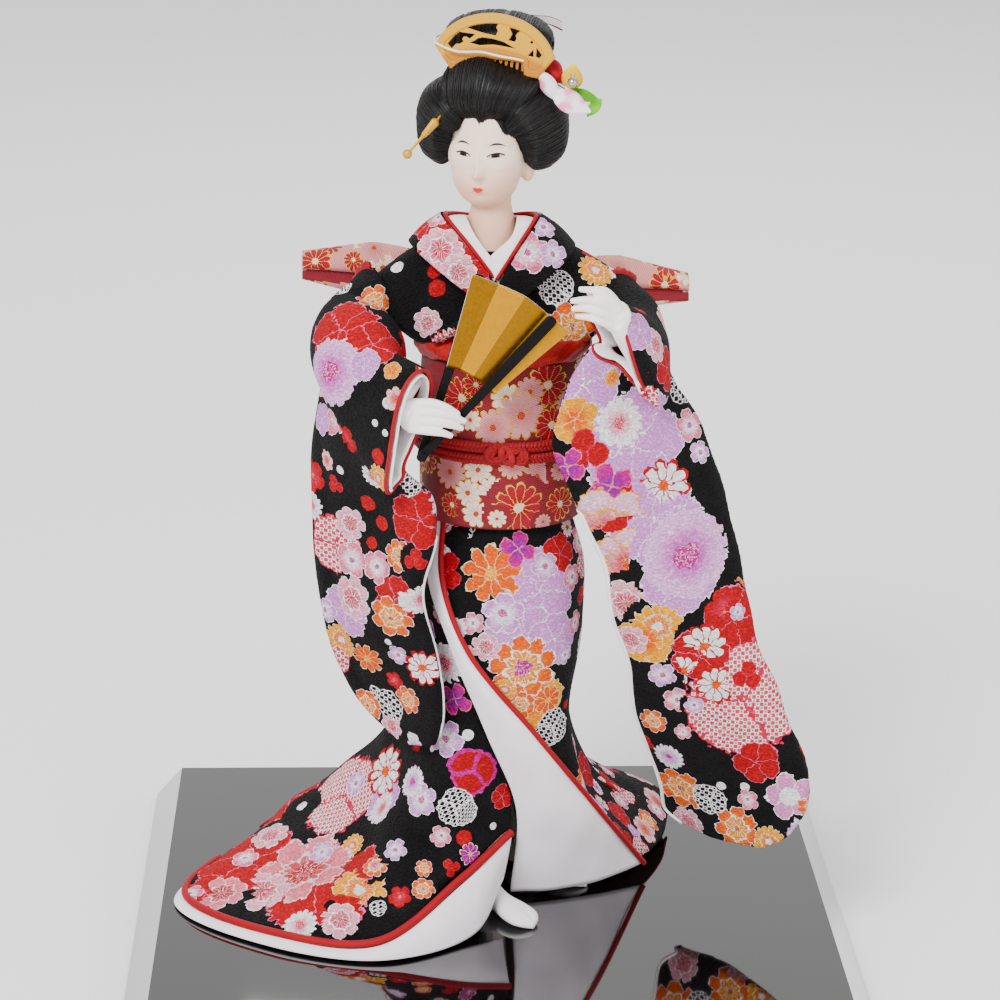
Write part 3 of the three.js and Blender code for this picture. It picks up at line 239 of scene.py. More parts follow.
def colour(code):
    """A colour written as on a web page, as the linear light that shaders work in."""
    channels = [int(code[place:place + 2], 16) / 255 for place in (0, 2, 4)]
    return (*(c / 12.92 if c < 0.04045 else ((c + 0.055) / 1.055) ** 2.4 for c in channels), 1)


def effect(name, takes, gives, family="ShaderNodeTree"):
    """A node group with named sockets, for what more than one material or piece uses."""
    tree = bpy.data.node_groups.new(name, family)
    for label, (kind, value) in takes.items():
        socket = tree.interface.new_socket(label, in_out="INPUT", socket_type="NodeSocket" + kind)
        if value is not None:
            socket.default_value = value
    for label, kind in gives.items():
        tree.interface.new_socket(label, in_out="OUTPUT", socket_type="NodeSocket" + kind)
    return tree, tree.nodes.new("NodeGroupInput").outputs, tree.nodes.new("NodeGroupOutput").inputs


def use(tree, group, inputs):
    return add(tree, "Group", inputs, node_tree=group).outputs


def material(name, **settings):
    """A new material, with its Principled shader's plain sockets set."""
    made = bpy.data.materials.new(name)
    made.use_nodes = True
    shader = made.node_tree.nodes["Principled BSDF"]
    for label, value in settings.items():
        shader.inputs[label.replace("_", " ")].default_value = value
    made.diffuse_color = settings.get("Base_Color", (0.5, 0.5, 0.5, 1))
    return made, made.node_tree, shader.inputs


def bump(tree, shader, height, depth, strength=1.0):
    """Lets a height, given from 0 to 1, show as relief that is depth metres high."""
    node = add(tree, "Bump", {"Height": height, "Distance": depth, "Strength": strength})
    tree.links.new(node.outputs["Normal"], shader["Normal"])


# %% [markdown]
# ## Effects that several materials share
# Nothing on a real doll is one flat colour. Crepe is pebbled by its twisted thread, silk has a fine rib,
# paint has a faint mottle, and everything carries a little dust. Each of these is one node group, placed in
# the materials with its own values. The groups read Object coordinates: every piece sits at the origin, so
# a grain of one millimetre is one millimetre everywhere.

# %% Crepe grain
crepe_grain, given, out = effect("crepe_grain", {"Size": ("Float", 0.0011), "Along": ("Float", 1.5)},
                                 {"Height": "Float", "Shade": "Float"})
tree = crepe_grain
rate = Number(tree, given["Size"]).math("POWER", -1.0)
squash = add(tree, "CombineXYZ", {"X": 1.0, "Y": 1.0, "Z": given["Along"]}).outputs[0]
pebble = add(tree, "TexNoise", {"Vector": vector(tree, "MULTIPLY", where(tree), squash), "Scale": rate,
                                "Detail": 3.0, "Roughness": 0.55, "Distortion": 0.4})
height = Number(tree, pebble.outputs["Fac"]).smooth(0.3, 0.7)
feed(tree, out["Height"], height)
# Shade is painted shade: a colour factor from the height, darker in the pebble's hollows and lighter on its
# tops.
feed(tree, out["Shade"], height * 0.5 + 0.68)
print("crepe grain")

# %% Woven rib
woven_rib, given, out = effect("woven_rib", {"Pitch": ("Float", 0.0007)}, {"Height": "Float"})
rate = Number(woven_rib, given["Pitch"]).math("POWER", -1.0) * (2 * math.pi)
x, y, z = parts(woven_rib, where(woven_rib))
warp = ((x + y * 0.6) * rate).math("SINE")
weft = ((z + y * 0.4) * rate).math("SINE")
feed(woven_rib, out["Height"], (warp * weft) * 0.5 + 0.5)
print("woven rib")

# %% Mottle and dust
mottle, given, out = effect(
    "mottle", {"Colour": ("Color", (0.8, 0.8, 0.8, 1)), "Size": ("Float", 0.02), "Amount": ("Float", 0.1)},
    {"Colour": "Color", "Fac": "Float"})
rate = Number(mottle, given["Size"]).math("POWER", -1.0)
cloud = add(mottle, "TexNoise", {"Vector": where(mottle), "Scale": rate, "Detail": 4.0})
shade = Number(mottle, cloud.outputs["Fac"]).smooth(0.3, 0.7)
dim = Number(mottle, given["Amount"]) * shade
feed(mottle, out["Colour"], mix(mottle, dim, given["Colour"], (0.02, 0.02, 0.02, 1)))
feed(mottle, out["Fac"], shade)
print("mottle")

# %% [markdown]
# ## Curves and surfaces from a few points
# A dressmaker drapes cloth over a few supports; here the supports are lines of points in millimetres, and
# the cloth is a smooth surface drawn through them. The curve is the centripetal Catmull-Rom curve, which
# passes through every point without looping back, so a hem goes exactly where its points say.

# %% A smooth curve through points
def spline(points, shares):
    p = np.asarray(points, float)
    shares = np.atleast_1d(shares)
    place = np.clip(shares, 0, 1) * (len(p) - 1)
    i = np.minimum(np.floor(place).astype(int), len(p) - 2)
    w = (place - i)[:, None]
    ends = np.vstack([2 * p[0] - p[1], p, 2 * p[-1] - p[-2]])
    p0, p1, p2, p3 = ends[i], ends[i + 1], ends[i + 2], ends[i + 3]
    d0, d1, d2 = (np.maximum(np.linalg.norm(b - a, axis=1), 1e-4)[:, None] ** 0.5
                  for a, b in ((p0, p1), (p1, p2), (p2, p3)))
    leave = ((p1 - p0) / d0 - (p2 - p0) / (d0 + d1) + (p2 - p1) / d1) * d1
    arrive = ((p2 - p1) / d1 - (p3 - p1) / (d1 + d2) + (p3 - p2) / d2) * d1
    bend = (2 * p1 - 2 * p2 + leave + arrive) * w**3 + (3 * p2 - 3 * p1 - 2 * leave - arrive) * w**2
    return bend + leave * w + p1


def across_ribs(ribs, columns, rows):
    """A grid of points on the surface through ribs that stand side by side."""
    down = np.linspace(0, 1, rows)
    curves = np.stack([spline(rib, down) for rib in ribs])
    aside = np.linspace(0, 1, columns)
    return np.stack([spline(curves[:, row], aside) for row in range(rows)], axis=1)


def unit(vectors):
    return vectors / np.maximum(np.linalg.norm(vectors, axis=-1, keepdims=True), 1e-9)


def is_closed(grid):
    return bool(np.allclose(grid[0], grid[-1], atol=1e-6))


def facing_out(grid, outside):
    """The normals of a grid of points, on the side that the directions outside point to."""
    wide = np.concatenate([grid[-2:-1], grid, grid[1:2]]) if is_closed(grid) else grid
    along = np.gradient(wide, axis=0)[1:-1] if is_closed(grid) else np.gradient(wide, axis=0)
    normal = unit(np.cross(along, np.gradient(grid, axis=1)))
    side = np.sign((normal * outside).sum())
    return normal * side, side


def ripples(grid, length, height, seed):
    """Soft unevenness, like that of cloth laid by hand: a few waves in seeded directions."""
    dice = np.random.default_rng(seed)
    total = np.zeros(grid.shape[:-1])
    for _ in range(7):
        way = unit(dice.normal(size=3))
        total += np.sin(grid @ way * 2 * math.pi / (length * dice.uniform(0.7, 1.5)) + dice.uniform(0, 6.3))
    return total * height / 3


# %% [markdown]
# ## From points to pieces
# `make_piece` turns points and faces into a finished Blender object: at the origin, smooth, riding on a
# body, and with a UV map in metres where the pattern follows the cloth. `make_cloth` gives a grid of points
# its thickness. A Solidify modifier could do that too, but it thickens towards both sides at sharp folds,
# while this way the outer face stays exactly on its points.

# %% Make a piece
def sew(name, points, faces, finishes=(), edges=()):
    """A smooth object from points in millimetres."""
    mesh = bpy.data.meshes.new(name)
    mesh.from_pydata((np.asarray(points) * MM).tolist(), edges, [tuple(face) for face in faces])
    mesh.update()
    for finish in finishes:
        mesh.materials.append(finish)
    mesh.polygons.foreach_set("use_smooth", [True] * len(mesh.polygons))
    return link(name, mesh)


def read(items, what, size=1, kind=float):
    """What each point, corner or face of a mesh has: one number, or a row of them."""
    values = np.empty(len(items) * size, kind)
    items.foreach_get(what, values)
    return values.reshape(-1, size) if size > 1 else values


def map_flat(made, name, places):
    """Gives a piece a UV map from two numbers for each of its points."""
    corners = read(made.data.loops, "vertex_index", kind=int)
    layer = made.data.uv_layers.new(name=name)
    layer.data.foreach_set("uv", np.asarray(places)[corners].ravel())


@contextmanager
def opened(made):
    """Opens a mesh for changes and closes it again."""
    work = bmesh.new()
    work.from_mesh(made.data)
    yield work
    work.to_mesh(made.data)
    work.free()


def make_piece(name, points, faces, finishes, body="doll", slot=None, stands_for=(), face_finish=None,
               uv=None):
    made = sew(name, points, faces, finishes)
    if face_finish is not None:
        made.data.polygons.foreach_set("material_index", face_finish)
    if uv is not None:
        map_flat(made, "cloth", np.asarray(uv) * MM)
    settle(made, body, stands_for)
    return made


def settle(made, body, stands_for):
    """Attaches a finished piece to the body it moves with and hides the solids it stands for. A piece
    given no body is left unattached."""
    if body:
        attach(made, body)
    if stands_for:
        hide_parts(*stands_for)
    print(f"{made.name}: {len(made.data.polygons)} faces")


def grid_faces(columns, rows, start=0, turned=False):
    i, j = np.meshgrid(np.arange(columns - 1), np.arange(rows - 1), indexing="ij")
    a = start + (i * rows + j).ravel()
    faces = np.stack([a, a + rows, a + rows + 1, a + 1], axis=1)
    return faces[:, ::-1] if turned else faces


def measured(grid):
    """A flat map of a cloth: its distances along and down, its flat size, at least 1 cm, and its area."""
    along = np.linalg.norm(np.diff(grid, axis=0), axis=-1)
    down = np.linalg.norm(np.diff(grid, axis=1), axis=-1)
    u = np.vstack([np.zeros(grid.shape[1]), np.cumsum(along, axis=0)])
    v = np.hstack([np.zeros((grid.shape[0], 1)), np.cumsum(down, axis=1)])
    u -= u[-1] / 2
    sides = np.cross(grid[1:, :-1] - grid[:-1, :-1], grid[:-1, 1:] - grid[:-1, :-1])
    area = np.linalg.norm(sides, axis=-1).sum() * MM**2
    long = max(down.sum(axis=1).max() * MM, 0.0101)
    flat = (min(along.sum(axis=0).max() * MM, area / (0.32 * long)), long)
    return np.stack([u, v], axis=-1), flat, area


def make_cloth(name, grid, thick, outside, finishes, held="draped", rests_on=(), **more):
    """A cloth of a grid's shape. Its finishes are the outer face's, the inner face's and the rim's."""
    columns, rows = grid.shape[:2]
    normal, side = facing_out(grid, outside)
    points = np.vstack([grid.reshape(-1, 3), (grid - thick * normal).reshape(-1, 3)])
    half = columns * rows
    outer = grid_faces(columns, rows, turned=side < 0)
    inner = grid_faces(columns, rows, half, turned=side > 0)
    first, last = np.arange(rows), (columns - 1) * rows + np.arange(rows)
    top, low = np.arange(columns) * rows, np.arange(columns) * rows + rows - 1
    rims = []
    edges = [(top, True), (low, False)]
    if not is_closed(grid):
        edges = [(first, False), (last, True), *edges]
    for edge, flip in edges:
        a, b = edge[:-1], edge[1:]
        rim = np.stack([a, b, b + half, a + half], axis=1)
        rims.append(rim[:, ::-1] if flip != (side < 0) else rim)
    rim = np.vstack(rims)
    faces = np.vstack([outer, inner, rim])
    finish = [0] * len(outer) + [min(1, len(finishes) - 1)] * len(inner) + [len(finishes) - 1] * len(rim)
    uv, flat, area = measured(grid)
    uv = np.vstack([uv.reshape(-1, 2)] * 2)
    made = make_piece(name, points, faces, finishes, face_finish=finish, uv=uv, **more)
    if is_closed(grid):
        with opened(made) as work:
            bmesh.ops.remove_doubles(work, verts=work.verts, dist=1e-7)
    min(area, flat[0] * flat[1])
    return made


# %% Rings, tubes and blobs
def ring_loft(rings, closed_ends=True):
    """Points and faces of rings joined in order."""
    rings = np.asarray(rings, float)
    count, sides = rings.shape[:2]
    points = list(rings.reshape(-1, 3))
    faces = []
    for i in range(count - 1):
        for j in range(sides):
            a, b = i * sides + j, i * sides + (j + 1) % sides
            faces.append((a, b, b + sides, a + sides))
    if closed_ends:
        faces.append(tuple(range(sides))[::-1])
        faces.append(tuple(range((count - 1) * sides, count * sides)))
    return points, faces


def tube(path, radius, sides=8, squash=1.0, up=(0, 0, 1), loop=False):
    """Points and faces of a tube along points. The radius may be a list, one for each point."""
    path = np.asarray(path, float)
    if loop:
        heading = unit(np.roll(path, -1, axis=0) - np.roll(path, 1, axis=0))
    else:
        heading = unit(np.gradient(path, axis=0))
    radius = np.broadcast_to(np.asarray(radius, float), len(path))
    first = unit(np.cross(heading, np.asarray(up, float)) + 1e-6)
    second = np.cross(first, heading)
    angle = np.arange(sides) * 2 * math.pi / sides
    rings = (path[:, None] + radius[:, None, None] * (np.cos(angle)[None, :, None] * first[:, None]
             + squash * np.sin(angle)[None, :, None] * second[:, None]))
    if not loop:
        return ring_loft(rings)
    points, faces = ring_loft(rings, closed_ends=False)
    last = (len(rings) - 1) * sides
    faces += [(last + j, last + (j + 1) % sides, (j + 1) % sides, j) for j in range(sides)]
    return points, faces


def merged(*shapes):
    """Several shapes' points and faces as one."""
    points, faces = [], []
    for some_points, some_faces in shapes:
        start = len(points)
        points += list(some_points)
        faces += [tuple(start + corner for corner in face) for face in some_faces]
    return points, faces


def egg(centre, radii, across=24, high=16):
    """Points and faces of an ellipsoid."""
    rings = []
    for i in range(1, high):
        lift = math.pi * i / high
        rings.append([(centre[0] + radii[0] * math.sin(lift) * math.cos(turn),
                       centre[1] + radii[1] * math.sin(lift) * math.sin(turn),
                       centre[2] - radii[2] * math.cos(lift))
                      for turn in np.arange(across) * 2 * math.pi / across])
    points, faces = ring_loft(rings, closed_ends=False)
    low, top = len(points), len(points) + 1
    points += [np.array(centre) - (0, 0, radii[2]), np.array(centre) + (0, 0, radii[2])]
    last = (high - 2) * across
    for j in range(across):
        faces.append((low, (j + 1) % across, j))
        faces.append((top, last + j, last + (j + 1) % across))
    return points, faces


def keep_result(made, modifier):
    """Applies a modifier to an object's mesh at once."""
    made.update_tag()
    graph = bpy.context.evaluated_depsgraph_get()
    result = bpy.data.meshes.new_from_object(made.evaluated_get(graph))
    made.modifiers.remove(modifier)
    made.data = result


def reshape(made, kind, **settings):
    modifier = made.modifiers.new(kind.lower(), kind)
    for name, value in settings.items():
        setattr(modifier, name, value)
    keep_result(made, modifier)


def draft(name, shape, finishes):
    """An unfinished object with its faces outwards, to be remeshed or cut before it is settled."""
    made = sew(name, *shape, finishes)
    with opened(made) as work:
        bmesh.ops.remove_doubles(work, verts=work.verts, dist=1e-7)
        bmesh.ops.recalc_face_normals(work, faces=work.faces)
    return made


def melt(made, grain, smoothing):
    """Turns overlapping closed shapes into one smooth skin of even quads."""
    reshape(made, "REMESH", mode="VOXEL", voxel_size=grain * MM, use_smooth_shade=True)
    reshape(made, "SMOOTH", factor=0.5, iterations=smoothing)


def move_points(made, rule):
    """Moves an object's points by a rule that takes and gives millimetres."""
    made.data.vertices.foreach_set("co", (rule(points_of(made)) * MM).ravel())
    made.data.update()


def points_of(made):
    return read(made.data.vertices, "co", 3) / MM


def bump_along(made, height):
    """Moves points along their normals by heights in millimetres."""
    lift = read(made.data.vertices, "normal", 3) * height[:, None]
    move_points(made, lambda points: points + lift)


print("shape helpers ready")

# %% [markdown]
# ## Silks
# Three plain cloths finish the printed one: white silk for the turned-back hem and the inside of the
# sleeves, red silk for the lining and the piping, and the red crepe of the scarf and cord. Silk is smooth and
# slightly shiny along its rib, so it gets a fine weave, a little sheen and a low bump.

# %% Silk finishes
def silk(name, shade, rough, pitch=0.0006, depth=0.00006):
    made, tree, shader = material(name, Base_Color=colour(shade), Roughness=rough, Sheen_Weight=0.08,
                                  Sheen_Roughness=0.4, Specular_IOR_Level=0.15)
    tint = use(tree, mottle, {"Colour": colour(shade), "Size": 0.012, "Amount": 0.07})
    feed(tree, shader["Base Color"], tint["Colour"])
    weave = use(tree, woven_rib, {"Pitch": pitch})
    feed(tree, shader["Roughness"], Number(tree, tint["Fac"]) * 0.1 + rough)
    bump(tree, shader, weave["Height"], depth)
    return made


white_silk = silk("white_silk", "f4eef4", 0.6)
lining_white = silk("white_lining_silk", "f8f3f4", 0.6)
red_silk = silk("red_silk", "920412", 0.5)
piping_red = silk("piping_silk", "980214", 0.5)
print("silks:", white_silk.name, red_silk.name, piping_red.name)

# %% [markdown]
# ## Printed crepe
# The kimono is crepe printed with traditional flowers: white daisies with red outlines, peonies,
# chrysanthemums, plum blossoms, and patches of tie-dye squares on black, lilac and red. Painting this as an
# image would tie it to one size. Instead one node group draws any flower from its petal count, depth and
# colours, and each face of the cloth knows, in eight layers, which flower covers it and where its middle is.
# A flower is placed by a point of the photograph, whose ray is followed to the cloth.

# %% The kinds of printed flower
WHITE, CREAM, PINK, ROSE, RED = "f6f1f5", "f4dcaa", "ee6c96", "d01c48", "b40414"
LILAC, PURPLE, MAGENTA, ORANGE, YELLOW, BLACK = "d68cd8", "8c1c98", "c00c88", "ee5a04", "f8a404", "0c0a0c"

# petals, depth, centre, line, second ring, squares, outer, inner, outline, middle
FLOWERS = {
    "daisy": (10, 0.3, 0.2, 0.15, 0, 0, WHITE, WHITE, RED, ORANGE),
    "plum": (5, 0.3, 0.16, 0.05, 0, 0, PINK, WHITE, WHITE, MAGENTA),
    "plum_lilac": (5, 0.3, 0.2, 0.06, 0, 0, LILAC, WHITE, WHITE, MAGENTA),
    "plum_red": (5, 0.3, 0.12, 0.04, 0, 0, RED, ROSE, RED, YELLOW),
    "peony": (7, 0.22, 0.1, 0.04, 1, 0, "f2bcd2", "d83850", "f0a030", RED),
    "peony_pink": (7, 0.22, 0.12, 0.045, 1, 0, "f4a8bc", ROSE, WHITE, RED),
    "peony_red": (7, 0.22, 0.12, 0.045, 1, 0, "ee7c8c", RED, "f8d4d6", ROSE),
    "peony_gold": (7, 0.25, 0.12, 0.04, 1, 0, ORANGE, YELLOW, WHITE, RED),
    "mum": (16, 0.2, 0.22, 0.03, 1, 0, WHITE, LILAC, LILAC, MAGENTA),
    "mum_magenta": (16, 0.25, 0.3, 0.04, 1, 0, LILAC, MAGENTA, WHITE, WHITE),
    "mum_pink": (14, 0.22, 0.25, 0.04, 1, 0, WHITE, PINK, WHITE, ROSE),
    "mum_gold": (14, 0.22, 0.2, 0.05, 1, 0, YELLOW, ORANGE, CREAM, WHITE),
    "kiku": (9, 0.4, 0.22, 0.07, 0, 0, ORANGE, ORANGE, CREAM, YELLOW),
    "kiku_purple": (9, 0.4, 0.2, 0.06, 0, 0, MAGENTA, PURPLE, WHITE, YELLOW),
    "leaf_red": (3, 0.55, 0.0, 0.06, 0, 0, RED, RED, ROSE, RED),
    "leaf_purple": (4, 0.6, 0.0, 0.08, 0, 0, MAGENTA, PURPLE, PINK, PURPLE),
    "dots_black": (3, 0.12, 0.0, 0.06, 0, 1, BLACK, BLACK, WHITE, WHITE),
    "dots_red": (3, 0.12, 0.0, 0.05, 0, 1, "dc3a50", "dc3a50", ROSE, WHITE),
    "dot_white": (3, 0.05, 0.0, 0.0, 0, 0, WHITE, WHITE, WHITE, WHITE),
    "dot_red": (3, 0.05, 0.0, 0.0, 0, 0, RED, RED, RED, RED),
    "patch_lilac": (5, 0.15, 0.0, 0.03, 0, 0, LILAC, LILAC, WHITE, LILAC),
    "patch_red": (5, 0.15, 0.0, 0.03, 0, 0, RED, RED, PINK, RED),
    "patch_black": (5, 0.1, 0.0, 0.0, 0, 0, BLACK, BLACK, BLACK, BLACK),
    "patch_gold": (5, 0.15, 0.0, 0.03, 0, 0, YELLOW, ORANGE, CREAM, YELLOW),
    "burst": (18, 0.08, 0.3, 0.012, 0, 0, "e8a8e4", "c83cb4", WHITE, MAGENTA),
    "burst_small": (9, 0.25, 0.24, 0.05, 1, 0, ORANGE, YELLOW, WHITE, MAGENTA),
    "plum_pinklilac": (5, 0.3, 0.42, 0.06, 0, 0, "e58ac0", LILAC, WHITE, WHITE),
    "edged_red": (3, 0.1, 0.0, 0.14, 0, 0, RED, RED, MAGENTA, RED),
    "gold_pink": (12, 0.3, 0.16, 0.07, 0, 0, "d88e96", "c8707c", "e0a828", "a00c24"),
    "gold_cream": (9, 0.32, 0.18, 0.07, 0, 0, "f4dccc", "eac4b4", "e0a828", "a00c24"),
    "gold_red": (12, 0.35, 0.2, 0.09, 0, 0, "a80c28", "980820", "e6b840", "f0d4bc"),
}
KINDS = list(FLOWERS)
print(len(KINDS), "kinds of flower")


def lookup(tree, kind, rows):
    """A colour ramp that gives the row of a flower's kind."""
    ramp = add(tree, "ValToRGB", {"Fac": (kind + 0.5) / len(rows)})
    ramp.color_ramp.interpolation = "CONSTANT"
    marks = ramp.color_ramp.elements
    while len(marks) < len(rows):
        marks.new(0.5)
    for place, row in enumerate(rows):
        marks[place].position = place / len(rows)
    for place, row in enumerate(rows):
        marks[place].color = row
    return ramp.outputs["Color"]


# %% [markdown]
# The numbers of a kind reach the group through colour ramps, which hold nothing above one. So petals are
# counted in twentieths and lines are kept five times as wide, and both are turned back inside.

# %% Draw one layer of flowers
MOST_PETALS, LINE_GAIN = 20, 5
TIED_DOT = 0.0031
printed_flower, given, out = effect(
    "printed_flower", {"Place": ("Vector", None), "Under": ("Color", None), "Cloth": ("Vector", None)},
    {"Colour": "Color"})
tree = printed_flower
x, y, kind = parts(tree, given["Place"])
shape = lookup(tree, kind, [(row[0] / MOST_PETALS, row[1], row[2], 1) for row in FLOWERS.values()])
extra = lookup(tree, kind, [(row[3] * LINE_GAIN, row[4], row[5], 1) for row in FLOWERS.values()])
outer, inner, line, middle = (lookup(tree, kind, [colour(row[place]) for row in FLOWERS.values()])
                              for place in (6, 7, 8, 9))
petals, depth, centre = parts(tree, shape)
width, doubled, squared = parts(tree, extra)
petals, width = petals * MOST_PETALS, width * (1 / LINE_GAIN)
radius = (x * x + y * y).math("SQRT")
angle = y.math("ARCTAN2", x)
lobe = (angle * petals * 0.5).math("COSINE").math("ABSOLUTE")
edge = 1.0 - depth * (1.0 - lobe).math("POWER", 1.6)
second = (angle * petals * 0.5).math("SINE").math("ABSOLUTE")
inner_edge = 0.56 - depth * 0.5 * (1.0 - second)
shape_mask = radius.under(edge)
between = (lobe * radius).under(width * 0.9) * radius.over(centre)
rim = radius.over(edge - width)
ring = ((radius - inner_edge).math("ABSOLUTE").under(width * 0.8)
        + (second * radius).under(width * 0.6) * radius.under(inner_edge)).math("MINIMUM", 1.0) * doubled
drawn = (between + rim + ring).math("MINIMUM", 1.0)
u, v, _ = parts(tree, given["Cloth"])
pitch = 2 * math.pi / TIED_DOT
cell = ((u + v) * pitch).math("COSINE") + ((u - v) * pitch).math("COSINE")
square = cell.over(-0.1) - cell.over(1.45)
streak = noise(tree, stretched(tree, given["Place"], (3, 3, 1)), 2.2, 2)
fill = mix(tree, (radius * (streak * 0.8 + 0.6)).smooth(0.15, 0.8), inner, outer)
fill = mix(tree, square * squared, fill, middle)
fill = mix(tree, drawn, fill, line)
stamen = ((angle * 7).math("COSINE") * (radius * 60).math("COSINE")).over(0.35)
heart = mix(tree, stamen * 0.6, middle, line)
fill = mix(tree, radius.under(centre), fill, heart)
feed(tree, out["Colour"], mix(tree, shape_mask, given["Under"], fill))
print("printed flower:", len(tree.nodes), "nodes")

# %% The printed crepe itself
LAYERS = 8


def print_over(tree, paint, cloth, fineness, sway):
    """Draws every layer of flowers over a paint. Their edges wander a little, as dye and thread do."""
    wobble = add(tree, "TexNoise", {"Vector": where(tree), "Scale": fineness, "Detail": 1.0}).outputs["Color"]
    shift = vector(tree, "MULTIPLY", vector(tree, "SUBTRACT", wobble, (0.5, 0.5, 0.5)), (sway, sway, 0))
    for layer in range(1, LAYERS + 1):
        spot = add(tree, "Attribute", attribute_name=f"print_{layer}").outputs["Vector"]
        paint = use(tree, printed_flower, {"Place": vector(tree, "ADD", spot, shift), "Under": paint,
                                           "Cloth": cloth})["Colour"]
    return paint


def printed_crepe(name, ground):
    """Crepe of a ground colour, with what each face's layers say printed over it."""
    made, tree, shader = material(name, Base_Color=colour(ground), Roughness=0.85, Sheen_Weight=0.02,
                                  Sheen_Roughness=0.5, Specular_IOR_Level=0.1)
    cloth = add(tree, "UVMap", uv_map="cloth").outputs["UV"]
    paint = use(tree, mottle, {"Colour": colour(ground), "Size": 0.008, "Amount": 0.15})["Colour"]
    paint = print_over(tree, paint, cloth, 420, 0.3)
    grain = use(tree, crepe_grain, {"Size": 0.0012, "Along": 1.7})
    # The colour is multiplied by the grain's painted shade, darker in the crepe's hollows and lighter on its
    # tops.
    shade = add(tree, "CombineColor", {0: grain["Shade"], 1: grain["Shade"], 2: grain["Shade"]}).outputs[0]
    feed(tree, shader["Base Color"], mix(tree, 1.0, paint, shade, "MULTIPLY"))
    feed(tree, shader["Roughness"], 0.92 - Number(tree, grain["Height"]) * 0.2)
    bump(tree, shader, grain["Height"], 0.0006, 1.0)
    return made


black_crepe = printed_crepe("printed_crepe", BLACK)
print("printed crepe:", LAYERS, "layers")

# %% Place the flowers
GARDEN = ("daisy", "plum", "plum_lilac", "peony", "peony_pink", "mum", "mum_pink", "mum_gold", "kiku",
          "kiku_purple", "dots_red", "dots_black", "plum_red", "leaf_red", "patch_red", "patch_lilac",
          "peony_gold")
PATCH = 0.003
NOWHERE = (9.0, 9.0, 0.0)


def print_flowers(made, motifs, scattered, seed, sizes=(3.5, 8.0), kinds=GARDEN):
    """Prints flowers on a piece, the last on top. The motifs are a text with, between commas, a kind, a
    point of the photograph and a radius in its pixels. Scattered ones fill the sides it doesn't show."""
    mesh = made.data
    middles, normals = (read(mesh.polygons, what, 3) for what in ("center", "normal"))
    areas = read(mesh.polygons, "area")
    printable = read(mesh.polygons, "material_index", kind=int) == 0
    corners = read(mesh.loops, "vertex_index", kind=int)
    points = read(mesh.vertices, "co", 3)
    face_of_corner = np.repeat(np.arange(len(mesh.polygons)), read(mesh.polygons, "loop_total", kind=int))
    used = np.zeros(len(mesh.polygons), int)
    covered = np.zeros(len(mesh.polygons), bool)
    layers = np.full((LAYERS, len(mesh.loops), 3), NOWHERE)
    work = bmesh.new()
    work.from_mesh(mesh)
    tree = BVHTree.FromBMesh(work)
    work.free()

    def stamp(kind, spot, normal, radius, turn, needed=True):
        normal = np.asarray(normal, float)
        aside = np.cross(normal, (0, 0, 1)) + 1e-6
        aside = unit(np.cross((0, 0, 1), normal) if np.linalg.norm(aside) > 0.2 else np.array((1.0, 0, 0)))
        aloft = np.cross(normal, aside)
        c, s = math.cos(turn), math.sin(turn)
        aside, aloft = aside * c + aloft * s, aloft * c - aside * s
        near = (((middles - spot) ** 2).sum(axis=1) < (1.25 * radius + 0.001) ** 2) & printable
        near &= normals @ normal > 0.05
        if not near.any() or (used[near].max() >= LAYERS and not needed):
            return
        layer = min(LAYERS, 1 + used[near].max())
        used[near] = layer
        if radius > PATCH:
            covered[near] = True
        chosen = near[face_of_corner]
        away = (points[corners[chosen]] - spot) / radius
        layers[layer - 1, chosen, 0] = away @ aside
        layers[layer - 1, chosen, 1] = away @ aloft
        layers[layer - 1, chosen, 2] = KINDS.index(kind)

    for motif in filter(str.strip, motifs.split(",")):
        kind, *numbers = motif.split()
        px, py, size = map(float, numbers)
        hit, normal, _, distance = tree.ray_cast(CAMERA_AT, photo_ray(px, py))
        if hit is not None:
            stamp(kind, np.array(hit), normal, size * distance / FOCAL, px * 0.7)
    dice = np.random.default_rng(seed)
    chances = np.where(printable, areas, 0)
    for index in dice.choice(len(areas), size=scattered, p=chances / chances.sum()):
        if not covered[index]:
            stamp(dice.choice(kinds), middles[index], normals[index], dice.uniform(*sizes) * MM,
                  dice.uniform(0, 6.3), False)
    for layer in range(LAYERS):
        attribute = mesh.attributes.new(f"print_{layer + 1}", "FLOAT_VECTOR", "CORNER")
        attribute.data.foreach_set("vector", layers[layer].ravel())
    print(f"{made.name}: {motifs.count(',')} flowers by hand, {int(covered.sum())} faces covered")

# %% [markdown]
# ## Skirt
# The kimono is closed left over right. Its skirt is three cloths here: the under panel that spreads to the
# doll's right as a train, the back, and the top panel, whose edge is folded outwards so that its white
# facing shows. Each is drawn through upright ribs, the same ones as in the frame, but with many more points
# between them and with the small ripples that the solids leave out. A cloth simulation would move the
# hems away from where the photograph has them, so the folds are given one by one.

# %% Ribs of the skirt
WAIST_X, WAIST_Y, WAIST_WIDE, WAIST_DEEP = 1.5, -3.0, 24.0, 19.5
OBI_BOTTOM, OBI_TOP = 182, 246
UNDER, OVER, FACING = 2.2, 3.7, 4.7


def on_waist(angle, lift, z):
    return (WAIST_X + (WAIST_WIDE + lift) * math.sin(angle),
            WAIST_Y - (WAIST_DEEP + lift) * math.cos(angle), z)


def rib(degrees, lift, rest):
    angle = math.radians(degrees)
    return [on_waist(angle, lift, 200), on_waist(angle, lift, OBI_BOTTOM), *rest]


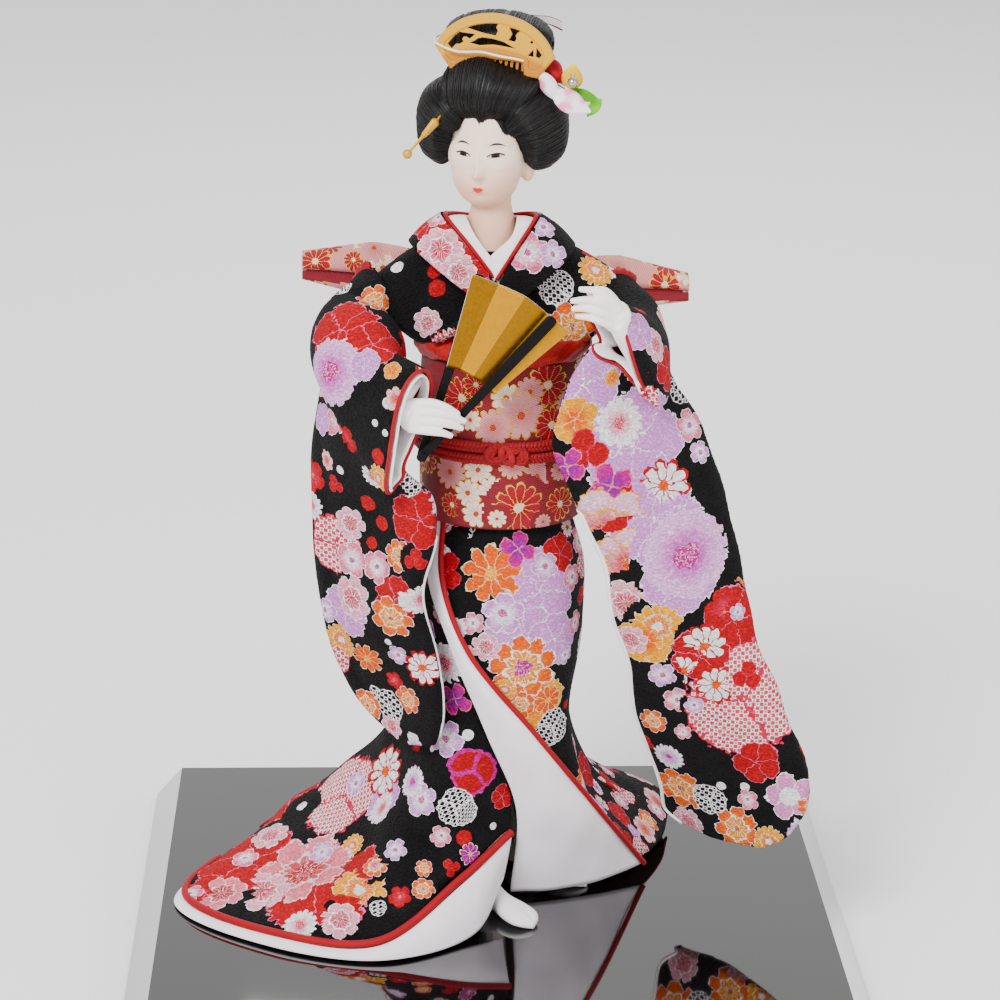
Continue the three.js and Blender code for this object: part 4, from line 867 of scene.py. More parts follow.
LEFT_RIBS = [
    rib(-58, OVER, [(-26.5, -22, 162), (-18, -29.5, 134), (-5, -28, 98), (7, -24.5, 64), (9, -17, 27)]),
    rib(-5, OVER, [(4, -31, 162), (9, -31, 134), (16, -28.5, 98), (24, -23, 64), (34, -9, 27)]),
    rib(42, OVER, [(24, -25.5, 162), (26, -24, 134), (28, -19, 98), (37, -16, 64), (59, 4, 27)]),
    rib(82, OVER, [(34, -8, 162), (34, -6, 134), (30, -3, 98), (35, 6, 60), (72, 26, 26)]),
    rib(118, OVER, [(30.5, 12, 162), (31, 13, 134), (30, 17, 98), (42, 32, 57), (77, 52, 26)]),
]
BACK_RIBS = [
    rib(112, UNDER, [(30, 9, 162), (30, 10, 134), (29, 13, 98), (40, 27, 57), (75, 46, 25)]),
    rib(148, UNDER, [(18, 21, 162), (20, 23, 134), (22, 31, 98), (38, 56, 54), (70, 88, 26)]),
    rib(178, UNDER, [(2, 25, 162), (0, 28, 134), (-2, 37, 98), (-2, 66, 54), (12, 102, 26)]),
    rib(212, UNDER, [(-16, 22, 162), (-20, 25, 134), (-26, 33, 98), (-38, 56, 54), (-42, 94, 26)]),
    rib(250, UNDER, [(-29, 9, 162), (-31, 9, 134), (-33, 14, 98), (-62, 30, 56), (-96, 38, 26)]),
]
RIGHT_RIBS = [
    rib(252, UNDER, [(-29.2, 7.6, 162), (-31.2, 7.4, 134), (-33.2, 12.2, 98), (-62.5, 28, 56),
                     (-97.4, 35, 26)]),
    rib(275, UNDER, [(-30, -6, 162), (-31, -6, 134), (-31, -5, 98), (-62, -2, 50), (-123, -20, 25)]),
    rib(300, UNDER, [(-24, -19, 162), (-25, -19, 134), (-24, -20, 98), (-42, -32, 52), (-86, -54, 25)]),
    rib(325, UNDER, [(-14, -26, 162), (-14, -27, 134), (-12, -28, 98), (-20, -38, 58), (-46, -64, 27)]),
    rib(348, UNDER, [(-5, -27.5, 162), (-5, -27.5, 134), (-3, -27.5, 98), (-6, -32, 66), (-15, -45, 44)]),
    rib(368, UNDER, [(3, -27, 162), (3, -27, 134), (4, -25.5, 98), (5.6, -24.5, 72), (6.2, -26, 55)]),
]


def away_from_axis(grid):
    return unit(np.stack([0.6 * grid[..., 0], grid[..., 1] + 4, np.full(grid.shape[:-1], 14.0)], axis=-1))


def shares(columns, rows):
    return np.meshgrid(np.linspace(0, 1, columns), np.linspace(0, 1, rows), indexing="ij")


def rippled(grid, length, height, seed, start=0.3):
    """Ripples that grow from the waist down."""
    _, down = shares(*grid.shape[:2])
    normal, _ = facing_out(grid, away_from_axis(grid))
    lift = ripples(grid, length, height, seed) * np.clip((down - start) / (1 - start), 0, 1)
    return grid + normal * lift[..., None]


def panel(name, grid, node):
    """A panel of printed crepe lined with red silk, from the waist to the board."""
    return make_cloth(name, grid, 1.0, away_from_axis(grid), [black_crepe, red_silk],
                      rests_on=["base_board"], slot="printed_crepe", stands_for=[node])


# %% Back and under panel
back_grid = across_ribs(BACK_RIBS, 120, 130)
u, v = shares(120, 130)
fade = np.clip((v - 0.55) / 0.45, 0, 1) * np.clip(1 - ((v - 0.8) / 0.2) ** 2 * 0.75, 0, 1)
back_grid[..., 2] += 3 * fade * np.sin(2 * math.pi * 3 * u)
back_grid = rippled(back_grid, 34, 1.2, 3)
skirt_back = panel("kimono_skirt_back", back_grid, "skirt_back")

right_grid = across_ribs(RIGHT_RIBS, 150, 140)
u, v = shares(150, 140)
low = np.clip((v - 0.55) / 0.3, 0, 1) * np.clip((1 - v) / 0.08, 0, 1)
right_grid[..., 2] += 3.4 * low * np.sin(2 * math.pi * (2.6 * u + 0.1)) * np.clip(1.3 - u, 0, 1)
right_grid = rippled(right_grid, 30, 1.2, 5)
skirt_right = panel("kimono_skirt_under", right_grid, "skirt_panel_right")

# %% Top panel
left_grid = across_ribs(LEFT_RIBS, 130, 150)
left_grid = rippled(left_grid, 36, 0.8, 9)
skirt_left = panel("kimono_skirt_top", left_grid, "skirt_panel_left")

# %% [markdown]
# ## Facing, piping and hem
# The facing is the white silk that lines the top panel's edge. It narrows to nothing at the waist and
# widens to a hand's breadth at the floor, with red piping where it meets the print. The under panel ends in
# a padded white hem with piping of its own. Piping is a cord wrapped in bias-cut silk: a thin tube that
# follows the seam.

# %% Facing
FOLD_LINE = rib(-60, FACING, [(-27.5, -23, 162), (-18.5, -31, 134), (-4.5, -30, 98), (8, -26, 64),
                              (7, -18, 23)])
PIPED_EDGE = rib(-54, FACING, [(-22.5, -27.5, 162), (-13, -32.4, 134), (14, -31, 98), (39, -19.5, 62),
                               (61.5, 4, 25)])
u, v = shares(40, 130)
fold, piped = (spline(line, np.linspace(0, 1, 130)) for line in (FOLD_LINE, PIPED_EDGE))
facing_grid = fold[None] * (1 - u[..., None]) + piped[None] * u[..., None]
bulge = 4.5 * v * np.sin(math.pi * u)
facing_grid[..., 0] += 0.35 * bulge
facing_grid[..., 1] -= bulge
facing_grid[..., 2] -= 15 * np.clip(v - 0.9, 0, 1) * np.sin(math.pi * u)
facing_grid = rippled(facing_grid, 26, 0.5, 13, start=0.2)
make_cloth("hem_facing", facing_grid, 0.8, away_from_axis(facing_grid), [white_silk],
           rests_on=["base_board"], slot="white_silk", stands_for=["skirt_facing"])

# %% Piping and hem band
BOARD_TOP = 20
piping_line = spline([(x + 0.2 + 0.16 * i, y - 0.2, max(z, BOARD_TOP + 1.4))
                      for i, (x, y, z) in enumerate(PIPED_EDGE)], np.linspace(0, 1, 160))
make_piece("top_panel_piping", *tube(piping_line, 1.1, 10), [piping_red], slot="red_silk",
           stands_for=["skirt_piping"])

HEM_TOP = [(-98, 34, 23.6), (-124, -20, 23.4), (-87, -56, 23.6), (-46, -67.5, 25), (-14, -48, 41),
           (6.5, -28.5, 52.5)]
HEM_LOW = [(-100, 35, 21.2), (-128, -22, 21.2), (-89, -60, 21.2), (-44, -73, 21.4), (-9, -54, 22.6),
           (3.5, -27, 33)]
u, v = shares(150, 20)
top, low = (spline(line, np.linspace(0, 1, 150)) for line in (HEM_TOP, HEM_LOW))
hem_grid = top[:, None] * (1 - v[..., None]) + low[:, None] * v[..., None]
puff = 1.6 * np.sin(math.pi * v) * (0.4 + u)
hem_grid[..., 1] -= puff
hem_grid[..., 2] += 0.3 * puff
make_cloth("padded_hem", hem_grid, 0.9, away_from_axis(hem_grid), [white_silk], rests_on=["base_board"],
           slot="white_silk", stands_for=["hem_band_right"])
panel_edge = [line[-1] for line in RIGHT_RIBS]
hem_line = spline((np.array(HEM_TOP) + panel_edge) / 2 + (0, -0.3, 0.3), np.linspace(0.08, 1, 150))
make_piece("hem_piping", *tube(hem_line, 1.6, 12), [piping_red], slot="red_silk")

# %% [markdown]
# ## Sleeves
# A long-sleeved kimono has a narrow tube round the arm and a bag that hangs from it nearly to the hem. The
# bag is open at the cuff and along the edge beside the body. Drawing both as one grid would pinch where
# they meet. Instead two closed lofts are melted into one skin by a voxel remesh, a cutter opens the cuff
# and the inner edge, and Solidify gives the skin its lining. The cut edges are then known exactly, and
# piping and a white band are laid along them.

# %% What a sleeve hangs on
SLEEVES = {
    "right": {
        "tube": [(-49, 1, 263, 13, 17), (-58, -6, 252, 14, 17), (-52, -24, 245, 17.5, 21),
                 (-46, -39, 233, 10, 23), (-36.5, -50, 227, 7.5, 25)],
        "mouth": (-33, -57, 225.5),
        "outer": [(-66, -6, 240), (-71, -5, 210), (-71, -5, 185), (-70, -5, 160), (-64, -4, 124),
                  (-57, -4, 108), (-47, -10, 96), (-37, -20, 89)],
        "inner": [(-44, -44, 238), (-38, -47, 212), (-27, -43, 199), (-26, -41, 182), (-31, -42, 162),
                  (-24, -37, 134), (-22, -36, 108), (-24, -33, 94)],
        "swell": (5, 6, 6.5, 6.5, 6, 5, 3.6, 2.6), "crease": 2.4, "open_from": 0.42, "open_front": -0.25,
        "lean": 0.25, "seams": ((-43.821, -52.344, 208.966), (-23.261, -30.972, 116.148))},
    "left": {
        "tube": [(45, 1, 262, 13, 16), (50.5, -7, 257, 12, 16), (53.5, -23, 251, 10.5, 19),
                 (50, -37, 254, 9, 22), (45.5, -44, 255.5, 7.2, 24)],
        "mouth": (40, -50, 257),
        "outer": [(62, -14, 247), (73, -18, 228), (83, -22, 205), (92, -26, 175), (101, -30, 138),
                  (113, -34, 108), (121, -38, 84), (121, -40, 69), (115, -40, 57), (105, -36, 50)],
        "inner": [(33, -43, 259), (23, -44, 241), (18, -43, 222), (27, -41, 200), (37, -37, 172),
                  (47, -29, 134), (57, -17, 93), (64, -9, 68), (69, -4, 53), (77, -5, 47)],
        "swell": (3, 4, 4.5, 5, 6, 6.5, 6, 5, 3.6, 2.6), "crease": 0.8, "open_from": 0.36, "open_front": 0.3,
        "lean": -0.58, "seams": ((36.477, -38.574, 258.466), (52.997, -25.732, 128.628))},
}
FURI_CUT = 5
CREASE_AT = 0.5


def tube_rings(sleeve, count, sides, grow=0.0):
    stations = spline([(*station, i / 4) for i, station in enumerate(sleeve["tube"])],
                      np.linspace(0, 1, count))
    places = stations[:, :3]
    heading = np.gradient(places, axis=0) * (1, 1, 0)
    aside = unit(np.stack([-heading[:, 1], heading[:, 0], 0 * heading[:, 0]], axis=1))
    up = unit(np.stack([sleeve["lean"] * stations[:, 5], 0 * stations[:, 5], 1 + 0 * stations[:, 5]], axis=1))
    angle = np.arange(sides) * 2 * math.pi / sides
    wide, tall = stations[:, 3] + grow, stations[:, 4] + grow
    taper = 1 + 0.45 * stations[:, 5:] ** 2 * np.sin(angle)
    return (places[:, None] + (wide[:, None] * np.cos(angle) * taper)[..., None] * aside[:, None]
            + (tall[:, None] * np.sin(angle))[..., None] * up[:, None])


def sleeve_section(sleeve, along):
    a, b = spline(sleeve["outer"], along), spline(sleeve["inner"], along)
    middle, half = (a + b) / 2, (a - b) / 2
    front = unit(np.stack([half[:, 1], -half[:, 0], 0 * half[:, 0]], axis=1))
    front *= np.where(front[:, 1:2] > 0, -1, 1)
    depth = np.interp(along, np.linspace(0, 1, len(sleeve["swell"])), sleeve["swell"])
    return middle, half, front, depth, sleeve["crease"] * np.sin(math.pi * along)


def bag_rings(sleeve, count, sides):
    middle, half, front, depth, fold = sleeve_section(sleeve, np.linspace(0, 1, count))
    angle = np.arange(sides) * 2 * math.pi / sides
    c, s = np.cos(angle), np.sin(angle)
    along = np.sign(c) * np.abs(c) ** 0.7
    out = np.sign(s) * np.abs(s) ** 0.8
    groove = np.where(s > 0, np.exp(-(((c - CREASE_AT) / 0.16) ** 2)), 0)
    return (middle[:, None] + along[None, :, None] * half[:, None]
            + ((depth[:, None] * out) - fold[:, None] * groove)[..., None] * front[:, None])


# %% Sew a sleeve
def sleeve_cutters(sleeve):
    """What opens a sleeve: a block in front of its cuff, and a wedge along the edge beside the body."""
    last = tube_rings(sleeve, 9, 24, grow=2.2)[-1]
    out = np.array(sleeve["mouth"]) - np.array(sleeve["tube"][-1][:3])
    way = unit(out)
    cuff = ring_loft([last - 0.2 * way, last + 26 * way])
    middle, half, front, depth, _ = sleeve_section(sleeve, np.linspace(sleeve["open_from"], 0.97, 12))
    reach = np.linalg.norm(half, axis=1, keepdims=True)
    front_side = sleeve["open_front"]
    corners = [(FURI_CUT - reach, -1), (-reach - 9, -1), (-reach - 9, front_side),
               (FURI_CUT - reach, front_side)]
    wedge = ring_loft(np.stack([middle + half * (side_way / reach) + front * side * (depth[:, None] + 3)
                                for side_way, side in corners], axis=1))
    return cuff, wedge, way


def edge_loops(made, seams):
    """The open edges of a skin, each as an even, smooth line of points in order that starts at its seam."""
    work = bmesh.new()
    work.from_mesh(made.data)
    rim = [edge for edge in work.edges if edge.is_boundary]
    middles = np.array([(edge.verts[0].co + edge.verts[1].co) / 2 for edge in rim]) / MM
    loops = []
    for seam in seams:
        first = rim[np.linalg.norm(middles - seam, axis=1).argmin()]
        ahead = set(rim) - {first}
        start, here = first.verts
        line = [start.co.copy(), here.co.copy()]
        while here != start:
            nexts = [e for e in here.link_edges if e in ahead]
            if not nexts:
                break
            ahead.discard(nexts[0])
            here = nexts[0].other_vert(here)
            line.append(here.co.copy())
        loops.append(np.array(line[:-1]) / MM)
    work.free()
    kept = []
    for line in loops:
        closed = np.vstack([line, line[:1]])
        run = np.concatenate([[0], np.cumsum(np.linalg.norm(np.diff(closed, axis=0), axis=1))])
        even = np.linspace(0, run[-1], max(40, int(run[-1] / 1.2)), endpoint=False)
        line = np.stack([np.interp(even, run, closed[:, axis]) for axis in range(3)], axis=1)
        for _ in range(4):
            line = (np.roll(line, 1, axis=0) + 2 * line + np.roll(line, -1, axis=0)) / 4
        kept.append(line)
    return kept


def sew_sleeve(side):
    sleeve = SLEEVES[side]
    whole = merged(ring_loft(tube_rings(sleeve, 26, 40)), ring_loft(bag_rings(sleeve, 60, 56)))
    made = draft(f"kimono_sleeve_{side}", whole, [black_crepe, red_silk])
    melt(made, 1.15, 6)
    bump_along(made, ripples(points_of(made), 30, 0.9, 17 if side == "left" else 23))
    cuff, wedge, way = sleeve_cutters(sleeve)
    for shape in (cuff, wedge):
        cutter = draft("cutter", shape, [black_crepe, red_silk])
        cutter.data.polygons.foreach_set("material_index", [1] * len(cutter.data.polygons))
        reshape(made, "BOOLEAN", operation="DIFFERENCE", object=cutter, solver="EXACT")
        bpy.data.objects.remove(cutter)
    with opened(made) as work:
        cut = [face for face in work.faces if face.material_index == 1]
        bmesh.ops.delete(work, geom=cut, context="FACES")
        bmesh.ops.remove_doubles(work, verts=work.verts, dist=2e-5)
        for face in work.faces:
            face.smooth = True
    loops = edge_loops(made, sleeve["seams"])
    reshape(made, "SOLIDIFY", thickness=1.0 * MM, offset=-1, material_offset=1)
    map_flat(made, "cloth", points_of(made)[:, [0, 2]] * MM)
    settle(made, "doll", [f"sleeve_{side}", f"sleeve_lining_{side}"])
    return made, loops, way


BAND_STANDS_OUT = 1.2


def lay_band(name, line, way, depth, inset, thick, finish, slot):
    """A strip of cloth inside an opening, from just outside its edge to some way in."""
    inward = unit(np.cross(way, np.roll(line, -1, axis=0) - np.roll(line, 1, axis=0)))
    inward *= np.sign((inward * (line.mean(axis=0) - line)).sum())
    closed = np.vstack([line, line[:1]])
    inward = np.vstack([inward, inward[:1]])
    across_band = np.linspace(BAND_STANDS_OUT, -depth, 7)
    grid = closed[:, None] + inset * inward[:, None] + across_band[None, :, None] * way
    return make_cloth(name, grid, thick, -inward[:, None] + 0 * grid, [finish], held="folded", slot=slot)


sleeves = {}
for side in SLEEVES:
    sleeves[side], (cuff_line, inner_line), way = sew_sleeve(side)
    make_piece(f"cuff_piping_{side}", *tube(cuff_line, 0.75, 8, up=way, loop=True), [piping_red],
               slot="red_silk")
    lay_band(f"cuff_band_{side}", cuff_line, way, 9, 1.5, 0.6, lining_white, "white_silk")
    make_piece(f"sleeve_edge_{side}", *tube(inner_line, 0.8, 8, up=(0, 1, 0), loop=True), [lining_white],
               slot="white_silk")

# %% [markdown]
# ## Bodice and collars
# Above the sash the kimono is one tube of cloth round the chest and shoulders. The collar is a stiffened
# band that goes round the nape and crosses in front, left over right. Under it shows the white collar of the
# under-robe and its narrow red edging. The tube is a surface round the body; each band is a surface
# between an inner and an outer edge, because a band made by thickening a line would twist at the nape.

# %% Bodice
BODICE_STATIONS = [
    (206, 1.5, -3, 3, 3), (226, 1.5, -3, 3, 3), (246.5, 1.5, -3, 3.2, 3.2), (253, 0.5, -3, 13, 3.6),
    (261, 0, 0, 23.5, 2), (272, 0, 1, 24, -1), (280, -1, 2, 15, -4), (286, -2, 3, 5, -5.5)]


def round_body(stations, columns, rows):
    """A closed surface round the body, with its seam at the back."""
    columns_of_points = []
    for angle in np.linspace(math.pi / 2, math.pi * 5 / 2, columns):
        c, s = math.cos(angle), math.sin(angle)
        columns_of_points.append(spline([(x + (WAIST_WIDE + wider) * c, y + (WAIST_DEEP + deeper) * s, z)
                                         for z, x, y, wider, deeper in stations], np.linspace(0, 1, rows)))
    return np.stack(columns_of_points)


def away_from_body(grid):
    return unit(np.stack([grid[..., 0], grid[..., 1] + 2, 0 * grid[..., 0] + 4.0], axis=-1))


bodice_grid = round_body(BODICE_STATIONS, 150, 80)
u, v = shares(150, 80)
tucks = np.sin(u * 2 * math.pi * 9 + 5 * v) * 0.35 * np.clip(1 - v * 1.4, 0, 1)
normal, _ = facing_out(bodice_grid, away_from_body(bodice_grid))
bodice_grid = bodice_grid + normal * (tucks + ripples(bodice_grid, 26, 0.35, 31))[..., None]
bodice = make_cloth("kimono_bodice_cloth", bodice_grid, 1.0, away_from_body(bodice_grid),
                    [black_crepe, red_silk], slot="printed_crepe", stands_for=["kimono_bodice"])

# %% Collar bands
COLLAR_INNER = [(-14, -26, 262), (-2, -24.6, 278.5), (7, -18.5, 290.5), (14, -8, 298.5), (13, 6, 297),
                (-3, 14.5, 294), (-19, 6, 297), (-22, -8, 299), (-12.5, -18, 289.5), (-3, -22.6, 278.5),
                (7, -23.8, 262)]
COLLAR_OUTER = [(-27, -22.5, 256), (-12, -26, 261), (9, -24.4, 273), (26, -13, 286), (24, 12, 286),
                (-3, 21, 284), (-30, 12, 286), (-33, -12, 288), (-17, -21.4, 276), (4, -24.4, 262),
                (15, -22.4, 256)]
UNDER_INNER = [(-7.5, -18.6, 281.5), (-4, -16.8, 286.5), (3.6, -13, 293), (5.9, -5, 298),
               (5.4, 5, 296.5), (-3.5, 9.8, 295.5), (-12.4, 5, 296.5), (-13, -5, 298.5),
               (-10, -14, 293.5), (-4.4, -17.8, 286.5), (0.5, -19.8, 281)]
UNDER_OUTER = [(-6, -22, 273.5), (-2.5, -22.2, 278.8), (6, -17.5, 288.5), (12.6, -7.5, 297),
               (11, 6.4, 295.5), (-3, 13, 293), (-17.5, 6.4, 295.5), (-20.6, -8, 298),
               (-11.6, -17.2, 287.8), (-3, -20.8, 278.6), (1.5, -21.6, 273)]
NECK = np.array((-3.5, 0.5, 0))


def away_from_neck(grid):
    return unit(np.stack([grid[..., 0] - NECK[0], grid[..., 1] - NECK[1], 0 * grid[..., 0] + 12.0], axis=-1))


def band(inner, outer, columns, rows, crown, lift):
    """A surface between two edges, crowned across its width."""
    _, v = shares(columns, rows)
    first, second = (spline(edge, np.linspace(0, 1, columns)) for edge in (inner, outer))
    grid = first[:, None] * (1 - v[..., None]) + second[:, None] * v[..., None]
    normal, _ = facing_out(grid, away_from_neck(grid))
    return grid + normal * (lift + crown * np.sin(math.pi * v))[..., None]


collar_grid = band(COLLAR_INNER, COLLAR_OUTER, 170, 24, 0.9, 1.0)
collar = make_cloth("kimono_collar_band", collar_grid, 1.5, away_from_neck(collar_grid), [black_crepe],
                    slot="printed_crepe", stands_for=["kimono_collar"], held="folded")
under_grid = band(UNDER_INNER, UNDER_OUTER, 120, 12, 0.3, 0.1)
make_cloth("under_collar_band", under_grid, 0.9, away_from_neck(under_grid), [lining_white],
           slot="white_silk", stands_for=["under_collar"], held="folded")
edging_line = spline([(x + 0.06 * (NECK[0] - x), y + 0.06 * (NECK[1] - y), z + 0.3)
                      for x, y, z in COLLAR_INNER[1:10]], np.linspace(0, 1, 120))
make_piece("collar_piping", *tube(edging_line, 0.85, 10), [piping_red], slot="red_silk",
           stands_for=["collar_edging"])

# %% [markdown]
# ## Brocade
# The sash and the bow are brocade: a crimson ground with chrysanthemums in pink and cream silk, outlined
# in gold thread. The flowers are the same node group as the printed ones, with kinds of their own, but the
# surface is another: coarse twill that shows each thread, and gold that glitters on the raised ridges.

# %% Brocade finish
twill, given, out = effect("twill", {"Cloth": ("Vector", None), "Pitch": ("Float", 0.0009)},
                           {"Height": "Float", "Gold": "Float"})
u, v, _ = parts(twill, given["Cloth"])
rate = Number(twill, given["Pitch"]).math("POWER", -1.0) * (2 * math.pi)
ridge = ((u * 0.5 + v) * rate).math("SINE")
course = ((u * 1.6 - v * 0.3) * rate).math("SINE")
feed(twill, out["Height"], (ridge * 0.5 + 0.5) * (course * 0.3 + 0.7))
feed(twill, out["Gold"], (ridge * course).smooth(0.1, 0.5))


def woven_brocade(name, ground):
    made, tree, shader = material(name, Base_Color=colour(ground), Roughness=0.6, Sheen_Weight=0.02,
                                  Specular_IOR_Level=0.15)
    cloth = add(tree, "UVMap", uv_map="cloth").outputs["UV"]
    weave = use(tree, twill, {"Cloth": cloth, "Pitch": 0.0009})
    paint = mix(tree, Number(tree, weave["Gold"]) * 0.22, colour(ground), colour("c08060"))
    paint = print_over(tree, paint, cloth, 500, 0.16)
    height = Number(tree, weave["Height"])
    # Painted shade and light of the weave: the colour is darker in the twill's grooves and lighter on its
    # ridges.
    shade = height * 0.4 + 0.72
    level = add(tree, "CombineColor", {0: shade, 1: shade, 2: shade})
    red, green, blue = (Number(tree, output) for output in add(tree, "SeparateColor", {0: paint}).outputs)
    gold = (green - blue).over(0.3) * red.over(0.5)
    feed(tree, shader["Base Color"], mix(tree, 1.0, paint, level.outputs[0], "MULTIPLY"))
    feed(tree, shader["Metallic"], gold * 0.6)
    feed(tree, shader["Roughness"], 0.62 - gold * 0.25)
    bump(tree, shader, height, 0.00018, 0.9)
    return made


brocade = woven_brocade("gold_brocade", "7c0024")
pale_brocade = woven_brocade("pale_brocade", "dc8c90")


def woven_red(name, shade, rough, size, depth):
    """Red crepe, for the scarf, or plain twisted silk, for the cord."""
    made, tree, shader = material(name, Base_Color=colour(shade), Roughness=rough, Sheen_Weight=0.03,
                                  Specular_IOR_Level=0.2)
    grain = use(tree, crepe_grain, {"Size": size, "Along": 1.0})
    tint = use(tree, mottle, {"Colour": colour(shade), "Size": 0.006, "Amount": 0.25})["Colour"]
    # Painted light on the grain: the raised pebbles are mixed towards a lighter red.
    feed(tree, shader["Base Color"], mix(tree, Number(tree, grain["Height"]) * 0.2, tint, colour("c41810")))
    bump(tree, shader, grain["Height"], depth)
    return made


scarf_red = woven_red("scarf_crepe", "aa0408", 0.5, 0.0009, 0.0002)
cord_red = woven_red("cord_silk", "900010", 0.5, 0.0005, 0.00008)
print("brocade and red crepe")

# %% [markdown]
# ## Sash, scarf and cord
# The sash is wound flat and firm round the waist, and bulges a little above and below the cord that holds
# it. The scarf is a soft roll of crepe tucked in at its upper edge. The cord is braided from silk
# strands: here two flat plaits lie side by side, each of three strands that change places by a sine, and
# they cross in a knot at the front.

# %% Sash
OBI_OUTER = 7.2
CORD_Z = 213


def round_waist(angle, lift, z):
    """Points round the waist, lifted off it."""
    return np.stack([WAIST_X + (WAIST_WIDE + lift) * np.cos(angle),
                     WAIST_Y + (WAIST_DEEP + lift) * np.sin(angle), z + 0 * angle], axis=-1)


def once_round(columns):
    return np.linspace(math.pi / 2, math.pi * 5 / 2, columns)[:, None]


u, v = shares(220, 70)
z = OBI_BOTTOM + (OBI_TOP - OBI_BOTTOM) * v
from_cord = np.abs(z - CORD_Z)
belly = 0.9 * np.sin(np.clip(from_cord / 32, 0, 1) * math.pi) * (from_cord > 4)
pucker = 0.22 * np.sin(u * 2 * math.pi * 26 + 2 * np.sin(u * 40)) * np.exp(-((from_cord - 6) / 7) ** 2)
obi_grid = round_waist(once_round(220), OBI_OUTER + belly * 0.7 + pucker, z)
obi = make_cloth("obi_brocade", obi_grid, 1.4, away_from_body(obi_grid), [brocade], held="folded",
                 slot="brocade", stands_for=["obi"])

# %% Scarf
SCARF_Z, SCARF_LIFT = OBI_TOP + 4.3, 7.0
u, v = shares(240, 36)
turn = v * 2 * math.pi
fold = 1 + 0.1 * np.sin(3 * turn + 9 * u * 2 * math.pi) + 0.06 * np.sin(5 * turn - 17 * u * 2 * math.pi)
scarf_grid = round_waist(once_round(240), SCARF_LIFT + 3.2 * fold * np.cos(turn),
                         SCARF_Z + 4 * fold * np.sin(turn))
centre = round_waist(once_round(240), SCARF_LIFT + 0 * v, SCARF_Z + 0 * v)
make_cloth("obi_scarf_roll", scarf_grid, 0.6, scarf_grid - centre, [scarf_red], held="folded",
           slot="red_silk", stands_for=["obi_scarf"])

# %% Braided cord
strands = []
angle = np.linspace(0, 2 * math.pi, 700, endpoint=False)
for middle in (-2.3, 2.3):
    for strand in range(3):
        phase = angle * 44 + strand * 2 * math.pi / 3
        path = round_waist(angle, OBI_OUTER + 1.9 + 0.62 * np.sin(2 * phase),
                           CORD_Z + middle + 1.25 * np.sin(phase))
        strands.append(tube(path, 1.0, 6, loop=True))
knot_at = np.array((2.0, WAIST_Y - WAIST_DEEP - OBI_OUTER - 2.6, CORD_Z))
turn = np.linspace(0, 2 * math.pi, 160, endpoint=False)
KNOT_LOOPS = ((5.6, 2.2, 2, 0.1, 0.2), (7.4, 2.3, 2, -0.08, 0.7), (1.7, 3.1, 1, 0.45, 1.4))
for wide, tall, lobes, tilt, out in KNOT_LOOPS:
    x, z = wide * np.cos(turn), tall * np.sin(lobes * turn)
    loop = np.stack([x * math.cos(tilt) - z * math.sin(tilt), 0.7 * np.sin((lobes + 1) * turn) - out,
                     x * math.sin(tilt) + z * math.cos(tilt)], axis=1)
    side_way = unit(np.cross(np.roll(loop, -1, axis=0) - loop, (0.0, 1.0, 0.0)))
    for twist in range(3):
        spin = turn * 15 * lobes + twist * 2 * math.pi / 3
        strand = knot_at + loop + 0.75 * np.cos(spin)[:, None] * side_way + np.stack(
            [0 * spin, 0.5 * np.sin(2 * spin), 0 * spin], axis=1)
        strands.append(tube(strand, 0.72, 6, up=(0, 1, 0), loop=True))
make_piece("braided_cord", *merged(*strands), [cord_red], slot="red_silk", stands_for=["obi_cord"])

# %% [markdown]
# ## Bow
# The sash ends in a wide flat bow behind the shoulders: two hollow loops, a knot and a hanging tail. The
# loops are sleeves of brocade, wrinkled where the knot gathers them and open at their ends, where the
# photograph shows the dark fold between the layers.

# %% Loops
BOW_CENTRE = np.array((0, 33, 265.0))
BOW_ROOT, BOW_REACH, BOW_HIGH, BOW_DEEP = 7, 76, 22, 16
DROOP = {"left": 4.5, "right": -4}
FOLD_AT = 1.07
bow = []
for side, sign in (("left", 1), ("right", -1)):
    u, v = shares(72, 60)
    t = 0.02 + 0.98 * v
    open_share = np.sin(np.minimum(1, 0.25 + t) * math.pi * 0.5)
    narrow = open_share * (1 - 0.5 * np.clip((t - 0.6) / 0.4, 0, 1))
    turn = u * 2 * math.pi
    gather = 1 + 0.1 * np.sin(7 * turn) * (1 - t) ** 1.5
    gather = gather + 0.05 * np.sin(4 * turn + 5 * t) * np.sin(math.pi * t)
    in_fold = np.exp(-((turn - math.pi * FOLD_AT) / 0.3) ** 2)
    gather -= 0.42 * in_fold * np.clip(t * 2, 0, 1)
    deep = BOW_DEEP / 2 * open_share * gather * np.cos(turn) * (1 - 0.25 * np.sin(turn))
    high = BOW_HIGH / 2 * narrow * gather * np.sin(turn)
    grid = np.stack([sign * (BOW_ROOT + (BOW_REACH - BOW_ROOT) * t), BOW_CENTRE[1] + deep + 4 * t,
                     BOW_CENTRE[2] - DROOP[side] * t + high], axis=-1)
    core = grid.mean(axis=0, keepdims=True)
    loop = make_cloth(f"bow_loop_cloth_{side}", grid, 1.2, grid - core, [pale_brocade, red_silk, brocade],
                      held="folded", slot="brocade", stands_for=[f"bow_loop_{side}"])
    middles = read(loop.data.polygons, "center", 3) / MM
    finish = read(loop.data.polygons, "material_index", kind=int)
    share = np.clip((np.abs(middles[:, 0]) - BOW_ROOT) / (BOW_REACH - BOW_ROOT), 0, 1)
    low = (middles[:, 2] - BOW_CENTRE[2] + DROOP[side] * share) / BOW_HIGH * 2
    # Painted shade: the faces along the front fold of each loop get the dark crimson brocade in place of the
    # pale one.
    painted_dark_fold = (middles[:, 1] < BOW_CENTRE[1] - 1) & (low > -0.42) & (low < -0.02) & (finish == 0)
    loop.data.polygons.foreach_set("material_index", np.where(painted_dark_fold, 2, finish))
    bow.append(loop)

